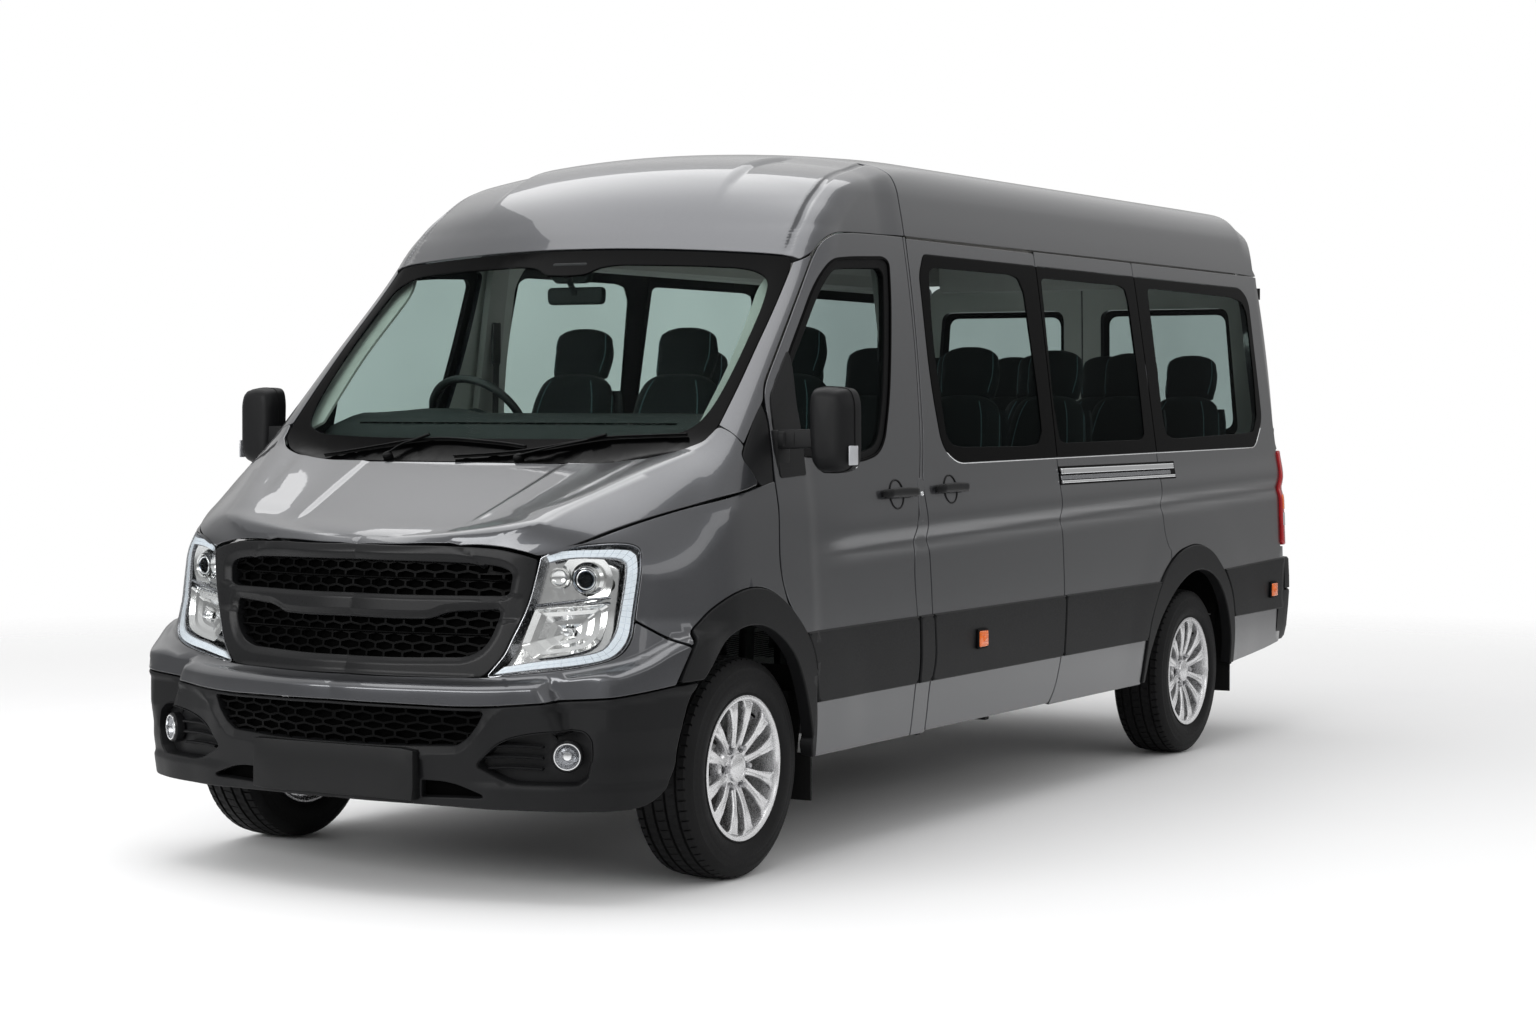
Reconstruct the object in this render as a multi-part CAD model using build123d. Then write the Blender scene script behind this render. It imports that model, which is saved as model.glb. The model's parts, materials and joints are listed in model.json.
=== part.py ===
from build123d import *
import os
import math

os.makedirs("parts", exist_ok=True)

# Minibus. Millimetres. +X forward, +Y left, +Z up. Origin on the ground under the
# middle of the bounding box. Places measured from mid-wheelbase are moved by DX.
DX = 185.0
WHEELBASE = 3760.0
X_FRONT_AXLE = WHEELBASE / 2 + DX
X_REAR_AXLE = -WHEELBASE / 2 + DX
X_NOSE, X_TAIL = 2915.0, -2915.0
X_REAR_FACE = -2795.0
Z_TOP = 2430.0
TYRE_R, TYRE_W, RIM_R = 350.0, 226.0, 222.0
TRACK_Y = 867.0            # tyre centre
KINGPIN_Y = 735.0
STEER_DEG = 35.0
T_WALL = 55.0              # whole wall or door
T_GLASS = 6.0
GAP = 6.0                  # shut line between panels
Z_SILL = 339.0
Z_GUTTER = 2082.0
Z_FLOOR = 560.0

NODES = {}


def keep(name, shape):
    NODES[name] = shape


def P(x, z):
    """side-view point given in metres from mid-wheelbase"""
    return (x * 1000 + DX, z * 1000)


def face3(pts):
    return Face(Wire.make_polygon([Vector(*p) for p in pts], close=True))


def prism_y(pts, y0=-1300.0, y1=1300.0):
    return Solid.extrude(face3([(x, y0, z) for x, z in pts]), Vector(0, y1 - y0, 0))


def prism_x(pts, x0, x1):
    return Solid.extrude(face3([(x0, y, z) for y, z in pts]), Vector(x1 - x0, 0, 0))


def prism_z(pts, z0, z1):
    return Solid.extrude(face3([(x, y, z0) for x, y in pts]), Vector(0, 0, z1 - z0))


def box(x0, x1, y0, y1, z0, z1):
    return Solid.make_box(x1 - x0, y1 - y0, z1 - z0, Plane(origin=(x0, y0, z0)))


def cyl(r, p0, p1):
    a, b = Vector(*p0), Vector(*p1)
    return Solid.make_cylinder(r, (b - a).length, Plane(origin=a, z_dir=(b - a)))


def cyl_y(r, x, z, y0, y1):
    return cyl(r, (x, y0, z), (x, y1, z))


def grow(pts, d):
    """the polygon moved outward by d (inward when d is negative)"""
    f = Face(Wire.make_polygon([Vector(x, z, 0) for x, z in pts], close=True))
    o = offset(f, d, kind=Kind.INTERSECTION)
    w = o.faces()[0].outer_wire()
    return [(v.X, v.Y) for v in [e @ 0 for e in w.order_edges()]]


def flip(s):
    k = [q.mirror(Plane.XZ) for q in (s.solids() if hasattr(s, "solids") else [s])]
    return k[0] if len(k) == 1 else Compound(children=k)


def solids(s):
    return s.solids() if hasattr(s, "solids") else [s]


def join(*parts):
    out = parts[0]
    for p in parts[1:]:
        out = out + p
    return out


def group(*parts):
    """separate solids that share a node"""
    out = []
    for p in parts:
        out += list(solids(p))
    return Compound(children=out) if len(out) > 1 else out[0]


def clean(s, least=2000.0):
    """drops slivers left by a cut"""
    k = [q for q in solids(s) if q.volume > least]
    return k[0] if len(k) == 1 else Compound(children=k)


# ---------------------------------------------------------------- outer form
# side wall: columns z, half width
SIDE = [(250, 955), (340, 985), (520, 1003), (750, 1012), (1000, 1000), (1280, 977), (2080, 872), (2260, 838)]
SHOULDER = (806, 2318)     # middle of the roof's shoulder arc
ROOF_EDGE = (740, 2347)


def wall_section(t, z_low):
    """closed cross-section of the body, inset by t"""
    left = [(y - t, z) for z, y in SIDE]
    left[0] = (left[0][0], z_low)
    top, rim = (0, Z_TOP - t), (ROOF_EDGE[0] - 0.4 * t, ROOF_EDGE[1] - 0.9 * t)
    sh = (SHOULDER[0] - 0.75 * t, SHOULDER[1] - 0.65 * t)
    v = lambda p, s: Vector(0, s * p[0], p[1])
    e = []
    for s in (1, -1):
        for a, b in zip(left, left[1:]):
            e.append(Edge.make_line(v(a, s), v(b, s)))
        e.append(Edge.make_three_point_arc(v(left[-1], s), v(sh, s), v(rim, s)))
    e.append(Edge.make_three_point_arc(v(rim, 1), Vector(0, 0, top[1]), v(rim, -1)))
    e.append(Edge.make_line(v(left[0], 1), v(left[0], -1)))
    return Face(Wire(e))


# windscreen and cab front: columns z, centre x, x where y is 890
SCREEN = [(1150, 2327, 2311), (2520, 1113, 907)]


def screen_form(t):
    secs = []
    for z, xc, xk in SCREEN:
        xc, xk = xc - 1.35 * t, xk - 1.35 * t
        drop = (xc - xk) * (1060 / 890) ** 2
        xe = xc - drop
        arc = Edge.make_three_point_arc(Vector(xe, -1060, z), Vector(xc, 0, z), Vector(xe, 1060, z))
        back = Wire.make_polygon([Vector(xe, 1060, z), Vector(-3200, 1060, z), Vector(-3200, -1060, z), Vector(xe, -1060, z)], close=False)
        secs.append(Wire([arc] + list(back.edges())))
    return Solid.make_loft(secs, ruled=True) + box(-3200, 2010 - t, -1060, 1060, 100, 1150)


# roof line of the cab front, then the rear face: side-view points
def length_profile(t):
    v = lambda x, z: Vector(x, -1300, z)
    zt = Z_TOP
    e = [Edge.make_line(v(3300, 0), v(3300, 2180 - t)),
         Edge.make_line(v(3300, 2180 - t), v(1462 - t, 2180 - t)),
         Edge.make_three_point_arc(v(1462 - t, 2180 - t), v(1135 - 0.5 * t, 2362 - t), v(560, zt + 30)),
         Edge.make_line(v(560, zt + 30), v(-2330 + t, zt + 30)),
         Edge.make_three_point_arc(v(-2330 + t, zt + 30), v(-2655 + t, 2340 - 0.7 * t), v(-2772 + t, 2120)),
         Edge.make_line(v(-2772 + t, 2120), v(X_REAR_FACE + t, 1700)),
         Edge.make_line(v(X_REAR_FACE + t, 1700), v(X_REAR_FACE + t, 0)),
         Edge.make_line(v(X_REAR_FACE + t, 0), v(3300, 0))]
    return Solid.extrude(Face(Wire(e)), Vector(0, 2600, 0))


# nose in plan: columns z, centre x, (x, y) end of the front arc, (x, y) mid corner, (x, y) where the side starts
NOSE = [
    (240, 2880, (2782, 715), (2705, 880), (2560, 985)),
    (590, 2915, (2800, 715), (2722, 893), (2574, 1012)),
    (665, 2836, (2742, 620), (2645, 878), (2450, 1013)),
    (1063, 2785, (2708, 630), (2551, 882), (2190, 1002)),
    (1500, 2740, (2663, 630), (2506, 882), (2145, 1002)),
]


def nose_form(t):
    out = None
    for a, b in zip(NOSE, NOSE[1:]):
        secs = []
        for z, xc, k, m, s in (a, b):
            xc, k, m, s = xc - t, (k[0] - t, k[1]), (m[0] - 0.8 * t, m[1] - 0.6 * t), (s[0] - 0.3 * t, s[1] - t)
            w = lambda p, q: Vector(p[0], q * p[1], z)
            e = [Edge.make_three_point_arc(w(k, -1), Vector(xc, 0, z), w(k, 1)),
                 Edge.make_three_point_arc(w(k, 1), w(m, 1), w(s, 1)),
                 Edge.make_line(w(s, 1), Vector(1600, s[1], z)),
                 Edge.make_line(Vector(1600, s[1], z), Vector(1600, -s[1], z)),
                 Edge.make_line(Vector(1600, -s[1], z), w(s, -1)),
                 Edge.make_three_point_arc(w(s, -1), w(m, -1), w(k, -1))]
            secs.append(Wire(e))
        slab = Solid.make_loft(secs, ruled=True)
        out = slab if out is None else out + slab
    return out


# top of the front end: columns x, centre z, then (y, drop) at the flat's edge, mid shoulder and side
HOODS = [
    (2785, 1063, (600, 6), (860, 78), (1010, 330)),
    (2050, 1392, (780, 2), (930, 36), (1010, 190)),
]


def hood_form(t):
    (xa, za, *ra), (xb, zb, *rb) = HOODS
    secs = []
    for x in (2960.0, 1900.0):
        k = (x - xa) / (xb - xa)
        zc = za + k * (zb - za) - t
        q = [(a[0] + k * (b[0] - a[0]), a[1] + k * (b[1] - a[1])) for a, b in zip(ra, rb)]
        q = [q[0], (q[1][0] - 0.6 * t, q[1][1]), (q[2][0] - t, q[2][1])]
        w = lambda p, s: Vector(x, s * p[0], zc - p[1])
        e = [Edge.make_three_point_arc(w(q[0], -1), Vector(x, 0, zc), w(q[0], 1)),
             Edge.make_three_point_arc(w(q[0], 1), w(q[1], 1), w(q[2], 1)),
             Edge.make_line(w(q[2], 1), Vector(x, q[2][0], 60)),
             Edge.make_line(Vector(x, q[2][0], 60), Vector(x, -q[2][0], 60)),
             Edge.make_line(Vector(x, -q[2][0], 60), w(q[2], -1)),
             Edge.make_three_point_arc(w(q[2], -1), w(q[1], -1), w(q[0], -1))]
        secs.append(Wire(e))
    return Solid.make_loft(secs, ruled=True)


MADE = {}


def forms(t, z_low):
    """the cab and rear form, and the front end's form, inset by t"""
    if (t, z_low) not in MADE:
        MADE[t, z_low] = build_forms(t, z_low)
    return MADE[t, z_low]


def build_forms(t, z_low):
    tube = Solid.extrude(wall_section(t, z_low), Vector(6400, 0, 0)).moved(Location((-3200, 0, 0)))
    cab = tube & screen_form(t) & length_profile(t)
    front = tube & nose_form(t) & hood_form(t)
    return cab, front


cab0, front0 = forms(0, 250)
cab_t, front_t = forms(T_WALL, 100)
cab_g, front_g = forms(T_GLASS, 250)
outer = cab0 + front0
inner = cab_t + front_t
skin_g = cab_g + front_g
shell = outer - inner


# ---------------------------------------------------------------- side outlines
DOOR = [P(1.720, 1.505), P(1.583, 1.650), P(1.409, 1.832), P(1.272, 1.975), P(1.180, 2.035), P(1.080, 2.066), P(0.9, 2.078), P(0.612, 2.082),
        P(0.608, 1.717), P(0.651, 1.366), P(0.693, 1.227), P(0.745, 1.060), P(0.772, 0.900), P(0.768, 0.761), P(0.750, 0.600), P(0.765, 0.500), P(0.768, 0.339),
        P(1.448, 0.339), P(1.473, 0.529), P(1.502, 0.679), P(1.560, 0.750), P(1.655, 0.858), P(1.690, 0.930), P(1.705, 1.000), P(1.692, 1.150), P(1.700, 1.250)]
DOOR_PANE = [P(1.340, 1.850), P(1.201, 1.960), P(1.148, 1.978), P(0.830, 1.985), P(0.770, 1.950), P(0.765, 1.853), P(0.855, 1.420), P(0.967, 1.345),
             P(1.200, 1.310), P(1.600, 1.310), P(1.610, 1.560)]
SLIDE = [P(-0.485, 2.074), P(0.590, 2.078), P(0.592, 1.717), P(0.630, 1.366), P(0.672, 1.227), P(0.662, 1.000), P(0.655, 0.761), P(0.628, 0.600), P(0.655, 0.500), P(0.655, 0.345),
         P(-0.392, 0.345), P(-0.440, 0.400), P(-0.485, 0.560)]
BAND = [P(0.469, 2.026), P(-2.705, 2.016), P(-2.800, 1.965), P(-2.789, 1.419), P(-2.658, 1.298), P(0.388, 1.281), P(0.493, 1.339), P(0.528, 1.577), P(0.520, 1.949)]
PANES = [
    [P(0.400, 1.960), P(-0.300, 1.960), P(-0.300, 1.350), P(0.360, 1.350), P(0.420, 1.420)],
    [P(-0.560, 1.960), P(-1.355, 1.960), P(-1.355, 1.350), P(-0.560, 1.350)],
    [P(-1.610, 1.960), P(-2.600, 1.955), P(-2.670, 1.900), P(-2.670, 1.400), P(-2.620, 1.350), P(-1.610, 1.350)],
]
ARCH_F = [P(2.235, 0.339), P(2.230, 0.600), P(2.155, 0.744), P(2.045, 0.785), P(1.935, 0.802), P(1.842, 0.802), P(1.733, 0.760), P(1.635, 0.689), P(1.574, 0.603), P(1.532, 0.518), P(1.476, 0.342), P(1.476, 0.2), P(2.235, 0.2)]
TRIM_F = [P(2.330, 0.760), P(2.264, 0.805), P(2.143, 0.865), P(1.992, 0.911), P(1.856, 0.922), P(1.743, 0.897), P(1.649, 0.845), P(1.578, 0.775), P(1.520, 0.690), P(1.484, 0.562), P(1.456, 0.339), P(1.456, 0.200), P(2.345, 0.200)]
ARCH_R = [P(-1.345, 0.2), P(-1.345, 0.430), P(-1.372, 0.478), P(-1.456, 0.597), P(-1.604, 0.713), P(-1.783, 0.775), P(-1.928, 0.785), P(-2.061, 0.752), P(-2.198, 0.636), P(-2.300, 0.452), P(-2.320, 0.2)]
TRIM_R = [P(-1.315, 0.2), P(-1.318, 0.440), P(-1.342, 0.600), P(-1.415, 0.724), P(-1.519, 0.801), P(-1.689, 0.873), P(-1.896, 0.898), P(-2.059, 0.860), P(-2.179, 0.768), P(-2.265, 0.676), P(-2.325, 0.539), P(-2.355, 0.350), P(-2.355, 0.2)]
SAIL_FRONT = [P(1.728, 1.515), P(1.871, 1.355), P(1.886, 1.317), P(1.804, 1.234), P(1.706, 1.250)]
HOOD_SEAM = [P(1.780, 1.240), P(1.932, 1.213), P(2.176, 1.187), P(2.330, 1.150), P(2.440, 1.090), P(2.500, 1.050), P(2.700, 1.046)]
X_SEAM_ROOF = P(0.60, 0)[0]

g = GAP / 2


def above(line, top=2700):
    return prism_y([(line[0][0], top)] + line + [(line[-1][0], top)])


# ---------------------------------------------------------------- front doors
door_hole = grow(DOOR, g)
door_shape = grow(DOOR, -g)
door_left = shell & prism_y(door_shape, 300, 1300)
door_left = door_left - prism_y(DOOR_PANE)
pane = grow(DOOR_PANE, 12)
seat_g = prism_y(pane, 300, 1300) & (forms(20, 250)[0] - forms(20 + T_GLASS, 250)[0])
door_left = clean(door_left - seat_g)
glass_left = clean(seat_g & prism_y(grow(DOOR_PANE, 11.5)))
keep("front_door_left", door_left)
keep("front_door_right", flip(door_left))
keep("front_door_glass_left", glass_left)
keep("front_door_glass_right", flip(glass_left))

# ---------------------------------------------------------------- hood, cowl, fenders
SPLIT_X = P(1.70, 0)[0]
hood_zone = above([(P(1.76, 0)[0], 1246)] + HOOD_SEAM[1:])
hood_zone_up = above([(x, z + GAP) for x, z in [(P(1.76, 0)[0], 1240)] + HOOD_SEAM[1:]])
cowl_cut = cab0.moved(Location((16, 0, 0)))
front_shell = front0 - front_t - cab0
hood = clean((front0 - front_t.moved(Location((0, 0, 12)))) & hood_zone_up - cowl_cut)
keep("hood", hood)

ARCH_CUT_F = prism_y(ARCH_F)
TRIM_CUT_F = prism_y(TRIM_F)

# steering sweep of a tyre, used to keep everything clear of it
sweep = None
for k in range(-3, 4):
    a = k * STEER_DEG / 3
    w = cyl_y(TYRE_R + 16, X_FRONT_AXLE, TYRE_R + 4, TRACK_Y - TYRE_W / 2 - 14, TRACK_Y + TYRE_W / 2 + 14)
    w = w.moved(Location((-X_FRONT_AXLE, -KINGPIN_Y, 0))).moved(Location((0, 0, 0), (0, 0, 1), a)).moved(Location((X_FRONT_AXLE, KINGPIN_Y, 0)))
    sweep = w if sweep is None else sweep + w
sweep2 = sweep + flip(sweep)

# front bumper: everything low at the nose; upper strip in body colour above a stepped line
Z_STRIP_LOW, Z_STRIP_TOP = 586.0, 663.0
bumper_low = (front0 - front_t) & box(2480, 3000, -1300, 1300, 250, Z_STRIP_LOW - 0.5)
bumper_low = bumper_low - prism_y(grow(TRIM_F, 0.5)) - sweep2
lower_grille = [(-640, 575), (-430, 470), (430, 470), (640, 575)]
bumper_low = bumper_low - (prism_x(lower_grille, 2700, 3000) - forms(22, 250)[1])
keep("front_bumper", clean(bumper_low))
bumper_up = (front0 - front_t) & box(2480, 3000, -1300, 1300, Z_STRIP_LOW, Z_STRIP_TOP)
bumper_up = bumper_up - prism_y(grow(TRIM_F, 0.5)) - sweep2
keep("bumper_upper", clean(bumper_up))

# grille surround, front view
GRILLE = [(-640, 1040), (-560, 700), (-470, 664), (470, 664), (560, 700), (640, 1040)]
grille_holes = [[(-520, 990), (-500, 925), (500, 925), (520, 990)],
                [(-500, 860), (-400, 730), (400, 730), (500, 860), (300, 835), (-300, 835)]]
nose_zone = box(2400, 3000, -1300, 1300, Z_STRIP_TOP + 0.5, 1600) - hood_zone
grille = (front0 - front_t) & nose_zone & prism_x(GRILLE, 2500, 3000)
for h in grille_holes:
    grille = grille - (prism_x(h, 2500, 3000) - forms(30, 250)[1])
keep("front_grille", clean(grille))

# headlamps: front view wedge outside the grille
LAMP = [(642, 1055), (563, 699), (500, 667), (893, 700), (905, 800), (905, 1068)]
LAMP_BACK = prism_y([P(2.436 - 0.03, 0.66), P(2.350, 1.075), P(2.480, 1.052), P(2.80, 1.05), P(2.80, 0.66)])
lamp = (front0 - front_t) & nose_zone & prism_x(LAMP, 2400, 3000) & LAMP_BACK
lamp = clean(lamp - prism_x(grow(GRILLE, 1), 2500, 3000))
keep("headlamps", group(lamp, flip(lamp)))

# fenders
fender = (front0 + cab0 - front_t) & box(SPLIT_X - 80, 2700, 0, 1300, 339, 1600)
fender = fender - hood_zone - prism_y(door_hole) - prism_y(grow(TRIM_F, 0.5))
fender = fender - box(2300, 3000, 0, 1300, 0, Z_STRIP_TOP + 0.5)
fender = fender - prism_x(grow(GRILLE, 1), 2400, 3000) - (prism_x(grow(LAMP, 1), 2400, 3000) & prism_y(grow([P(2.406, 0.66), P(2.350, 1.075), P(2.480, 1.052), P(2.80, 1.05), P(2.80, 0.66)], 1)))
fender = fender - inner - prism_y(grow(SAIL_FRONT, 0.5)) - sweep
fender = fender - prism_y([P(1.728, 1.515), P(1.80, 1.236), P(1.60, 1.236), P(1.5, 1.7)])
fender = fender & prism_y([P(1.40, 0.3), P(1.40, 1.245), P(1.80, 1.237), P(2.80, 1.237), P(2.80, 0.3)])
fender = clean(fender, 20000)
keep("front_fenders", group(fender, flip(fender)))

# arch trims, front and rear, standing 16 mm proud
proud = forms(-16, 250)
proud_body = proud[0] + proud[1]
trim_f = ((proud_body - inner) & prism_y(TRIM_F, 0, 1300)) - ARCH_CUT_F - prism_y(door_hole) - box(2520, 3000, 0, 1300, 0, 2600)
trim_f = clean((trim_f & box(1500, 2600, 800, 1300, 339, 1200)) - sweep, 20000)
trim_r = ((proud_body - inner) & prism_y(TRIM_R, 0, 1300)) - prism_y(ARCH_R)
trim_r = clean(trim_r & box(-2300, -1000, 800, 1300, 345, 1200), 20000)
keep("arch_trims", group(trim_f, flip(trim_f), trim_r, flip(trim_r)))

# windscreen frame: both pillars and the beam below the glass
SCREEN_VIEW = [(-862, 1412), (-700, 1352), (-400, 1328), (0, 1320), (400, 1328), (700, 1352), (862, 1412), (782, 1985), (500, 2008), (0, 2020), (-500, 2008), (-782, 1985)]
ws = (cab0 - cab_g) & prism_x(SCREEN_VIEW, 1400, 2400)
keep("windscreen", clean(ws))
frame_zone = prism_y([P(0.30, 2.60), P(0.30, Z_GUTTER / 1000), P(0.61, Z_GUTTER / 1000), P(1.08, 2.066), P(1.720, 1.505), P(1.716, 1.247), P(2.30, 1.247), P(2.30, 2.6)])
frame = (cab0 - cab_t) & frame_zone
frame = frame - prism_y(door_hole) - prism_x(SCREEN_VIEW, 1400, 2400)
frame = frame - box(-3200, X_SEAM_ROOF, -1300, 1300, 0, 2700)
cap = frame & prism_x([(-782, 2004), (782, 2004), (782, 2700), (-782, 2700)], 700, 1900)
frame = frame - prism_x([(-783, 2003), (783, 2003), (783, 2700), (-783, 2700)], 700, 1900)
keep("roof_front", clean(cap, 20000))
keep("windscreen_frame", clean(frame, 20000))

# ---------------------------------------------------------------- rear body
rear_zone = box(-3000, X_SEAM_ROOF - 0.5, -1300, 1300, 0, 2700)
roof = shell & rear_zone & box(-3000, 3000, -1300, 1300, Z_GUTTER + 0.5, 2700)
keep("roof", clean(roof, 20000))

band_skin = outer - skin_g


def dress(panel, sel):
    """rebate for the flush side glass, and the clear openings"""
    panel = panel - (prism_y(grow(BAND, 1)) & band_skin)
    for i in sel:
        panel = panel - prism_y(PANES[i])
    return panel


side = shell & box(-3000, X_SEAM_ROOF + 400, 0, 1300, Z_SILL, Z_GUTTER)
side = side - box(-3000, X_REAR_FACE + T_WALL + 1, 0, 905, 0, 2600)
side = side - prism_y(door_hole) - prism_y(grow(TRIM_R, 0.5)) - prism_y(TRIM_F)
side = side - box(P(0.78, 0)[0], 3000, 0, 1300, 0, 2600)
side = side - prism_y([P(-2.344, 0.30), P(-2.344, 0.351), P(-2.83, 0.386), P(-3.1, 0.43), P(-3.1, 0.30)])
side_r = clean(dress(side, (0, 1, 2)), 20000)
side_l = clean(dress(side - prism_y(grow(SLIDE, g)), (1, 2)), 20000)
REAR_DOOR_Y = 868.0

# rear doors: front view outline, the outer edge leans with the body side
REAR_DOOR = [(4, 668), (720, 668), (748, 812), (866, 812), (866, 1280), (800, 2040), (760, 2062), (4, 2062)]
rd = (outer - inner) & box(-3000, X_REAR_FACE + 200, 0, 1300, 0, 2600) & prism_x(REAR_DOOR, -3000, X_REAR_FACE + T_WALL)
REAR_PANE = [(95, 1345), (790, 1345), (735, 1935), (95, 1935)]
rd = rd - prism_x(REAR_PANE, -3100, -2500)
rg = (outer - skin_g) & prism_x(grow(REAR_PANE, 25), -3000, X_REAR_FACE + T_WALL)
rd = clean(rd - rg, 20000)
# two hinges a door: the door's knuckle turns between the frame's two, on one vertical pin line
REAR_HINGE = (-2830.0, 930.0)
frame_knuckles = None
# columns: foot height, door leaf's foot (y from, to), frame's foot y
for z, f0, f1, fr in ((1330, 826, 856, 880), (1890, 776, 804, 832)):
    hx, hy = REAR_HINGE
    rd = rd + cyl(12, (hx, hy, z + 31), (hx, hy, z + 59)) + box(hx - 6, hx + 6, f0, hy, z + 31, z + 59) + box(hx - 6, X_REAR_FACE + 30, f0, f1, z + 31, z + 59)
    for z0 in (z, z + 62):
        kn_b = cyl(12, (hx, hy, z0), (hx, hy, z0 + 28)) + box(hx, hx + 12, fr, hy, z0, z0 + 28) + box(hx, X_REAR_FACE + 30, fr, fr + 28, z0, z0 + 28)
        frame_knuckles = kn_b if frame_knuckles is None else frame_knuckles + kn_b
rd = clean(rd, 20000)
rg = clean(rg & prism_x(grow(REAR_PANE, 24), -3000, X_REAR_FACE + T_WALL))
keep("rear_door_left", rd)
keep("rear_door_right", flip(rd))
keep("rear_door_glass_left", rg)
keep("rear_door_glass_right", flip(rg))

# rear frame around the doors, joined to each side wall
rear_frame = shell & box(-3000, X_REAR_FACE + T_WALL + 1, 0, 1300, Z_SILL, Z_GUTTER)
rear_frame = rear_frame - prism_x([(-10, 560), (725, 560), (752, 804), (874, 804), (874, 1281), (808, 2045), (765, 2070), (-10, 2070)], -3000, -2500)
rear_frame = rear_frame - box(-3000, -2500, 0, 700, 0, 700)
TAIL = [(884, 840), (1100, 840), (1100, 1285), (884, 1285)]
lamp_r = (outer - forms(28, 250)[0]) & prism_x(TAIL, -3000, X_REAR_FACE + 42)
rear_frame = rear_frame - (prism_x(grow(TAIL, 1), -3000, X_REAR_FACE + 43) & (outer - forms(29, 250)[0]))
rear_frame = clean(rear_frame, 20000)
keep("tail_lamps", group(clean(lamp_r), clean(flip(lamp_r))))
lamp_hole = prism_x(grow(TAIL, 1), -3000, X_REAR_FACE + 43) & (outer - forms(29, 250)[0])
side_l = (side_l + rear_frame) - lamp_hole
side_r = (side_r + rear_frame) - lamp_hole
side_l = clean(side_l, 20000)
side_r = clean(side_r, 20000)
knuckle_blocks = [q for q in solids(frame_knuckles)]
for q in knuckle_blocks:
    side_l, side_r = side_l + q, side_r + q
keep("body_side_left", clean(side_l, 20000))
keep("body_side_right", flip(clean(side_r, 20000)))

sliding = clean(dress(shell & prism_y(grow(SLIDE, -g), 300, 1300), (0,)), 20000)
keep("sliding_door", sliding)

# flush glass, three panes a side, split at the panel seams
glass = []
SEAMS = [P(-0.485, 0)[0], P(-1.480, 0)[0]]
for s, gap in ((1, g + 1), (-1, 2)):
    for x0, x1 in ((SEAMS[0] + gap, 2000), (SEAMS[1] + 2, SEAMS[0] - gap), (-3000, SEAMS[1] - 2)):
        q = band_skin & prism_y(BAND, 300, 1300) & box(x0, x1, 300, 1300, 1000, 2300)
        q = clean(q)
        glass.append(q if s > 0 else flip(q))
keep("side_glass", group(*glass))

# mouldings on the fixed panels and the doors, 12 mm proud
bead = forms(-11, 250)[0] - cab0
mould = lambda pts, s=1: clean(bead & prism_y(pts, 300, 1300), 500)
m_slide = mould([P(0.630, 0.525), P(0.645, 0.757), P(-0.478, 0.757), P(-0.478, 0.540)])
m_mid = mould([P(-0.495, 0.540), P(-0.495, 0.757), P(-1.430, 0.757), P(-1.355, 0.640), P(-1.322, 0.545)])
m_back = mould([P(-2.240, 0.765), P(-2.945, 0.788), P(-2.945, 0.560), P(-2.335, 0.545), P(-2.320, 0.600)])
m_side = mould([P(0.740, 0.525), P(0.755, 0.757), P(-1.430, 0.757), P(-1.355, 0.640), P(-1.322, 0.545)])
keep("side_mouldings", group(m_slide, m_mid, m_back, flip(m_side), flip(m_back)))
m_door = mould([P(0.775, 0.527), P(0.782, 0.757), P(1.545, 0.737), P(1.520, 0.705), P(1.495, 0.529)])
m_door = clean(m_door - prism_y(grow(TRIM_F, GAP)))
keep("front_door_left", clean(NODES["front_door_left"] + m_door))
keep("front_door_right", flip(NODES["front_door_left"]))

# rear bumper
bump = prism_z([(X_REAR_FACE + 140, -1008), (X_REAR_FACE - 60, -985), (X_TAIL + 20, -880), (X_TAIL, -600), (X_TAIL, 600), (X_TAIL + 20, 880), (X_REAR_FACE - 60, 985), (X_REAR_FACE + 140, 1008)], 405, 790)
bump = bump - box(-3000, -2000, -712, 712, 645, 900)
bump = bump - (outer & box(-3000, -2500, -1300, 1300, 0, 2600)) - box(X_REAR_FACE + 1, -2000, -930, 930, 0, 2600)
bump = bump - box(X_REAR_FACE + T_WALL, -2000, -2000, 2000, 0, 2600)
bump = bump - prism_x([(-756, 645), (756, 645), (760, 900), (-760, 900)], -3000, -2500)
keep("rear_bumper", clean(bump, 20000))

# ---------------------------------------------------------------- chassis
floor = box(X_REAR_FACE + T_WALL + 12, P(1.62, 0)[0], -925, 925, Z_FLOOR - 40, Z_FLOOR)
floor = floor - prism_y(grow(ARCH_R, 18), 600, 1300) - prism_y(grow(ARCH_R, 18), -1300, -600)
floor = floor - box(X_REAR_AXLE - 430, X_REAR_AXLE + 430, 560, 1300, 0, 900) - box(X_REAR_AXLE - 430, X_REAR_AXLE + 430, -1300, -560, 0, 900)
for s in (1, -1):
    floor = floor + box(-2700, 2480, s * 430 - 35, s * 430 + 35, 400, Z_FLOOR - 40 + 0.0)
JACK_X, JACK_Z = (1450, -2350), 385
for x in JACK_X:
    for s in (1, -1):
        floor = floor + box(x - 45, x + 45, s * 430 - 30, s * 430 + 30, JACK_Z, 410)
for x in (-2500, -1050, -300, 500, 1250):
    floor = floor + box(x - 40, x + 40, -900 if x in (-300, 500) else -420, 900 if x in (-300, 500) else 420, 430, Z_FLOOR - 30)
wells = []
for s in (1, -1):
    o = box(X_REAR_AXLE - 455, X_REAR_AXLE + 455, 560 if s > 0 else -925, 925 if s > 0 else -560, Z_FLOOR - 40, 850)
    i = box(X_REAR_AXLE - 430, X_REAR_AXLE + 430, 585 if s > 0 else -940, 940 if s > 0 else -585, 0, 825)
    floor = floor + (o - i)
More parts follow.
